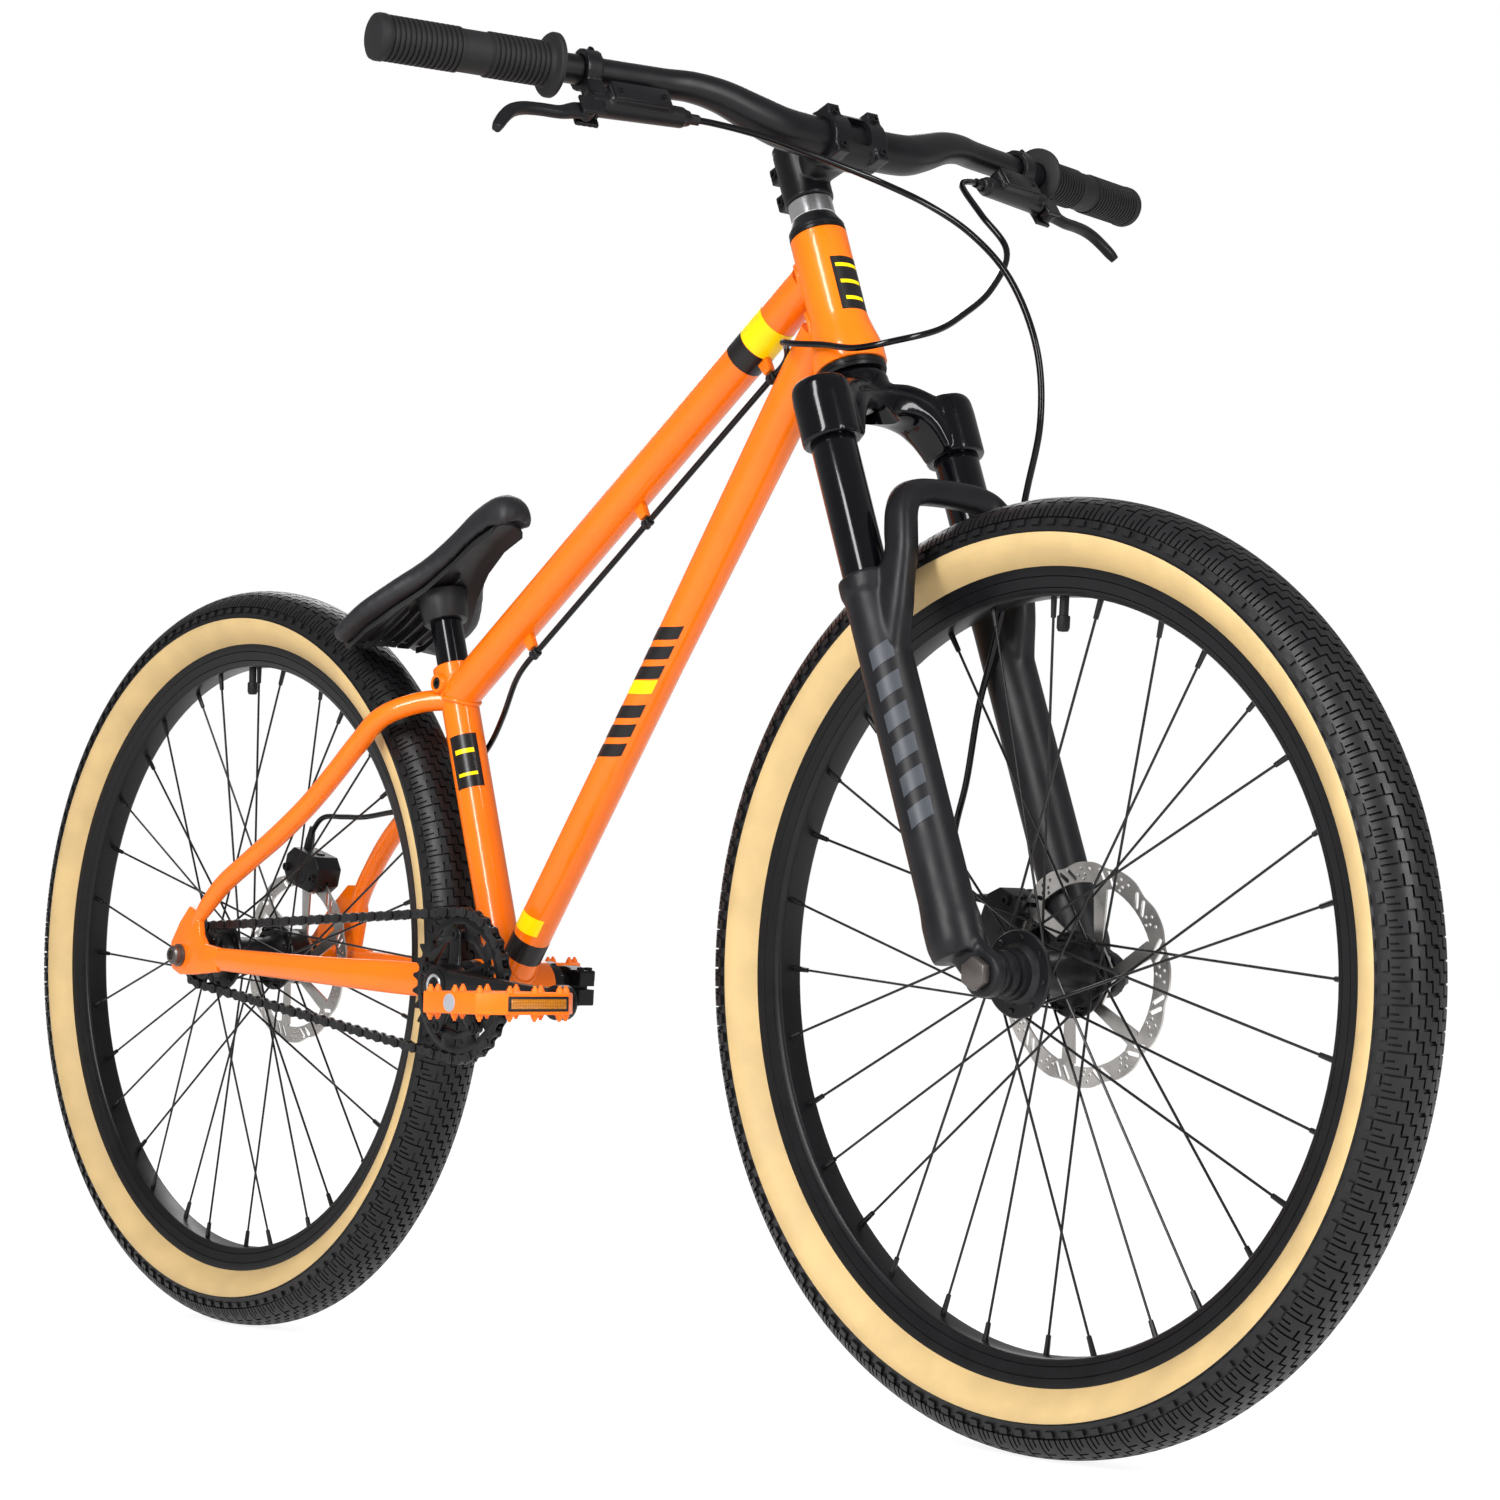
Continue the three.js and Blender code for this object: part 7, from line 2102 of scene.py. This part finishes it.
class BIKE_OT_fork(bpy.types.Operator):
    """Makes the fork's crown, legs, knob, lowers and axle"""

    bl_idname = "bike.fork"
    bl_label = "Fork"

    def execute(self, context):
        dress(make_crown("crown"), "steering_assembly", "gloss", "black_metal", "fork_crown")
        for side, word in SIDES.items():
            leg = make_stanchion("upper_leg_" + word, side)
            dress(leg, "steering_assembly", "gloss", "black_metal", "stanchion_" + word)
        dress(make_knob("damping_knob"), "knob", "anodised", "black_plastic", "fork_knob")
        dress(make_lowers("lowers"), "fork_slider", "matt", "black_metal", "fork_lowers")
        dress(make_seals("wipers"), "fork_slider", "rubber", "black_rubber")
        dress(make_leg_films("leg_bars"), "fork_slider", "grey_film", "black_metal")
        dress(make_front_axle("front_axle_nuts"), "fork_slider", "grey_steel", "silver_metal", "front_axle")
        return {"FINISHED"}


class BIKE_OT_wheels(bpy.types.Operator):
    """Makes both wheels: tyres, rims, hubs, spokes, rotors and valves"""

    bl_idname = "bike.wheels"
    bl_label = "Wheels"

    def execute(self, context):
        tyre, rim = make_tyre("tyre"), make_rim("rim")
        spokes_left = make_spokes("spokes_left")
        spokes_right = turned(mirror(spokes_left, "spokes_right"), math.pi / SPOKES_A_SIDE)
        for which, wheel in WHEELS.items():
            for piece, finish, slot, *node in (
                (duplicate(tyre, which + "_tyre_tread"), "tread", "tyre_rubber", "_tyre"),
                (duplicate(rim, which + "_rim_ring"), "satin", "black_metal", "_rim"),
                (duplicate(spokes_left, which + "_wires_left"), "hard_black", "dark_steel", "_spokes_left"),
                (duplicate(spokes_right, which + "_wires_right"), "hard_black", "dark_steel", "_spokes_right"),
                (make_hub(which + "_hub_shell", which), "anodised", "black_metal", "_hub"),
                (make_rotor(which + "_disc", wheel["rotor_plane"]), "steel", "bare_steel", "_rotor"),
                (make_valve(which + "_valve", wheel["valve_angle"]), "rubber", "black_rubber"),
            ):
                shifted(piece, wheel["axle"] * MM)
                dress(piece, wheel["body"], finish, slot, *[which + ending for ending in node])
        for piece in (tyre, rim, spokes_left, spokes_right):
            bpy.data.objects.remove(piece)
        return {"FINISHED"}


class BIKE_OT_brakes(bpy.types.Operator):
    """Makes both brake calipers with their pads"""

    bl_idname = "bike.brakes"
    bl_label = "Calipers and pads"

    def execute(self, context):
        for which, brake in BRAKES.items():
            caliper = make_caliper(which + "_caliper_body", which)
            dress(caliper, brake["body"], "matt", "black_metal", which + "_caliper")
            for word in ("inner", "outer"):
                node = which + "_pad_" + word
                dress(make_pad(node + "_plate", node), which + "_" + word + "_pad", "steel", "bare_steel", node)
        return {"FINISHED"}


class BIKE_OT_drive(bpy.types.Operator):
    """Makes the cranks, bearings, chainring, cog, chain and rear axle"""

    bl_idname = "bike.drive"
    bl_label = "Drive"

    def execute(self, context):
        dress(make_chain("chain_links"), "main_frame", "chain_steel", "chain_steel", "chain")
        dress(make_sprocket("chainring_teeth", "chainring"), "cranks", "satin", "black_metal", "chainring")
        dress(make_sprocket("cog_teeth", "rear_cog"), "cog", "chain_steel", "chain_steel", "rear_cog")
        dress(make_right_crank("crank_right"), "cranks", "satin", "black_metal", "right_crank")
        dress(make_spindle_ring("spindle_ring"), "cranks", "silver", "silver_metal")
        dress(make_left_crank("crank_left"), "cranks", "satin", "black_metal", "left_crank")
        for cup, word in both_sides(make_bracket_cup, "bearing_cup_"):
            dress(cup, "main_frame", "anodised", "black_metal", "bottom_bracket_cup_" + word)
        dress(make_rear_axle("rear_axle_bolts"), "main_frame", "grey_steel", "dark_steel", "rear_axle")
        return {"FINISHED"}


class BIKE_OT_pedals(bpy.types.Operator):
    """Makes both pedals with their spindles and reflectors"""

    bl_idname = "bike.pedals"
    bl_label = "Pedals"

    def execute(self, context):
        left = make_pedal_spindle("pedal_axle_left")
        right = turned(duplicate(left, "pedal_axle_right"), math.pi, UP, ORIGIN)
        near, far = PEDAL_PLACES[1], PEDAL_PLACES[-1]
        shifted(right, at(near.x + far.x, 0, far.z - near.z))
        dress(left, "cranks", "grey_steel", "bare_steel", "pedal_spindle_left")
        dress(right, "cranks", "grey_steel", "bare_steel", "pedal_spindle_right")
        for side, word in SIDES.items():
            body = word + "_pedal"
            pedal = make_pedal("platform_" + word, "pedal_" + word, side, settings().pin_height)
            dress(pedal, body, "plastic", "orange_plastic", "pedal_" + word)
            housing = make_reflectors("reflector_housing_" + word, side, "housing")
            dress(housing, body, "black_plastic", "black_plastic")
            dress(make_reflectors("reflector_lens_" + word, side, "lens"), body, "amber", "orange_plastic")
            dress(make_pedal_disc("pedal_disc_" + word, side), body, "disc", "silver_metal")
        return {"FINISHED"}


class BIKE_OT_seat(bpy.types.Operator):
    """Makes the seatpost and the saddle with its inflated pad"""

    bl_idname = "bike.seat"
    bl_label = "Seat"

    def execute(self, context):
        dress(make_seatpost("post"), "seat", "gloss", "black_metal", "seatpost")
        dress(make_saddle_base("saddle_shell"), "seat", "black_plastic", "black_plastic", "saddle_base")
        fill = settings().saddle_fill
        pad = make_saddle_pad("saddle_cover", fill)
        dress(pad, "seat", "cover", "saddle_cover", "saddle_pad", angle=80)
        return {"FINISHED"}


class BIKE_OT_stage(bpy.types.Operator):
    """Makes the floor, the lamps and the world"""

    bl_idname = "bike.stage"
    bl_label = "Stage"

    def execute(self, context):
        make_stage()
        return {"FINISHED"}


class BIKE_PT_panel(bpy.types.Panel):
    """Lists the bike's settings and pieces in the sidebar"""

    bl_idname = "BIKE_PT_panel"
    bl_label = "Dirt jump bike"
    bl_space_type = "VIEW_3D"
    bl_region_type = "UI"
    bl_category = "Bike"

    def draw(self, context):
        for key in BikeSettings.__annotations__:
            self.layout.prop(settings(), key)
        for operator in OPERATORS:
            self.layout.operator(operator.bl_idname)


OPERATORS = (
    BIKE_OT_camera, BIKE_OT_hoses, BIKE_OT_frame, BIKE_OT_headset, BIKE_OT_stem, BIKE_OT_handlebar, BIKE_OT_levers,
    BIKE_OT_fork, BIKE_OT_wheels, BIKE_OT_brakes, BIKE_OT_drive, BIKE_OT_pedals, BIKE_OT_seat, BIKE_OT_stage,
)


def register():
    for cls in (BikeSettings, *OPERATORS, BIKE_PT_panel):
        bpy.utils.register_class(cls)
    bpy.types.Scene.dirt_jump_bike = bpy.props.PointerProperty(type=BikeSettings)


def unregister():
    del bpy.types.Scene.dirt_jump_bike
    for cls in (BIKE_PT_panel, *reversed(OPERATORS), BikeSettings):
        bpy.utils.unregister_class(cls)


def main():
    register()
    bpy.ops.bike.camera()
    bpy.ops.bike.hoses()
    bpy.ops.bike.frame()
    bpy.ops.bike.headset()
    bpy.ops.bike.stem()
    bpy.ops.bike.handlebar()
    bpy.ops.bike.levers()
    bpy.ops.bike.fork()
    bpy.ops.bike.wheels()
    bpy.ops.bike.brakes()
    bpy.ops.bike.drive()
    bpy.ops.bike.pedals()
    bpy.ops.bike.seat()
    bpy.ops.bike.stage()


if __name__ == "__main__":
    main()
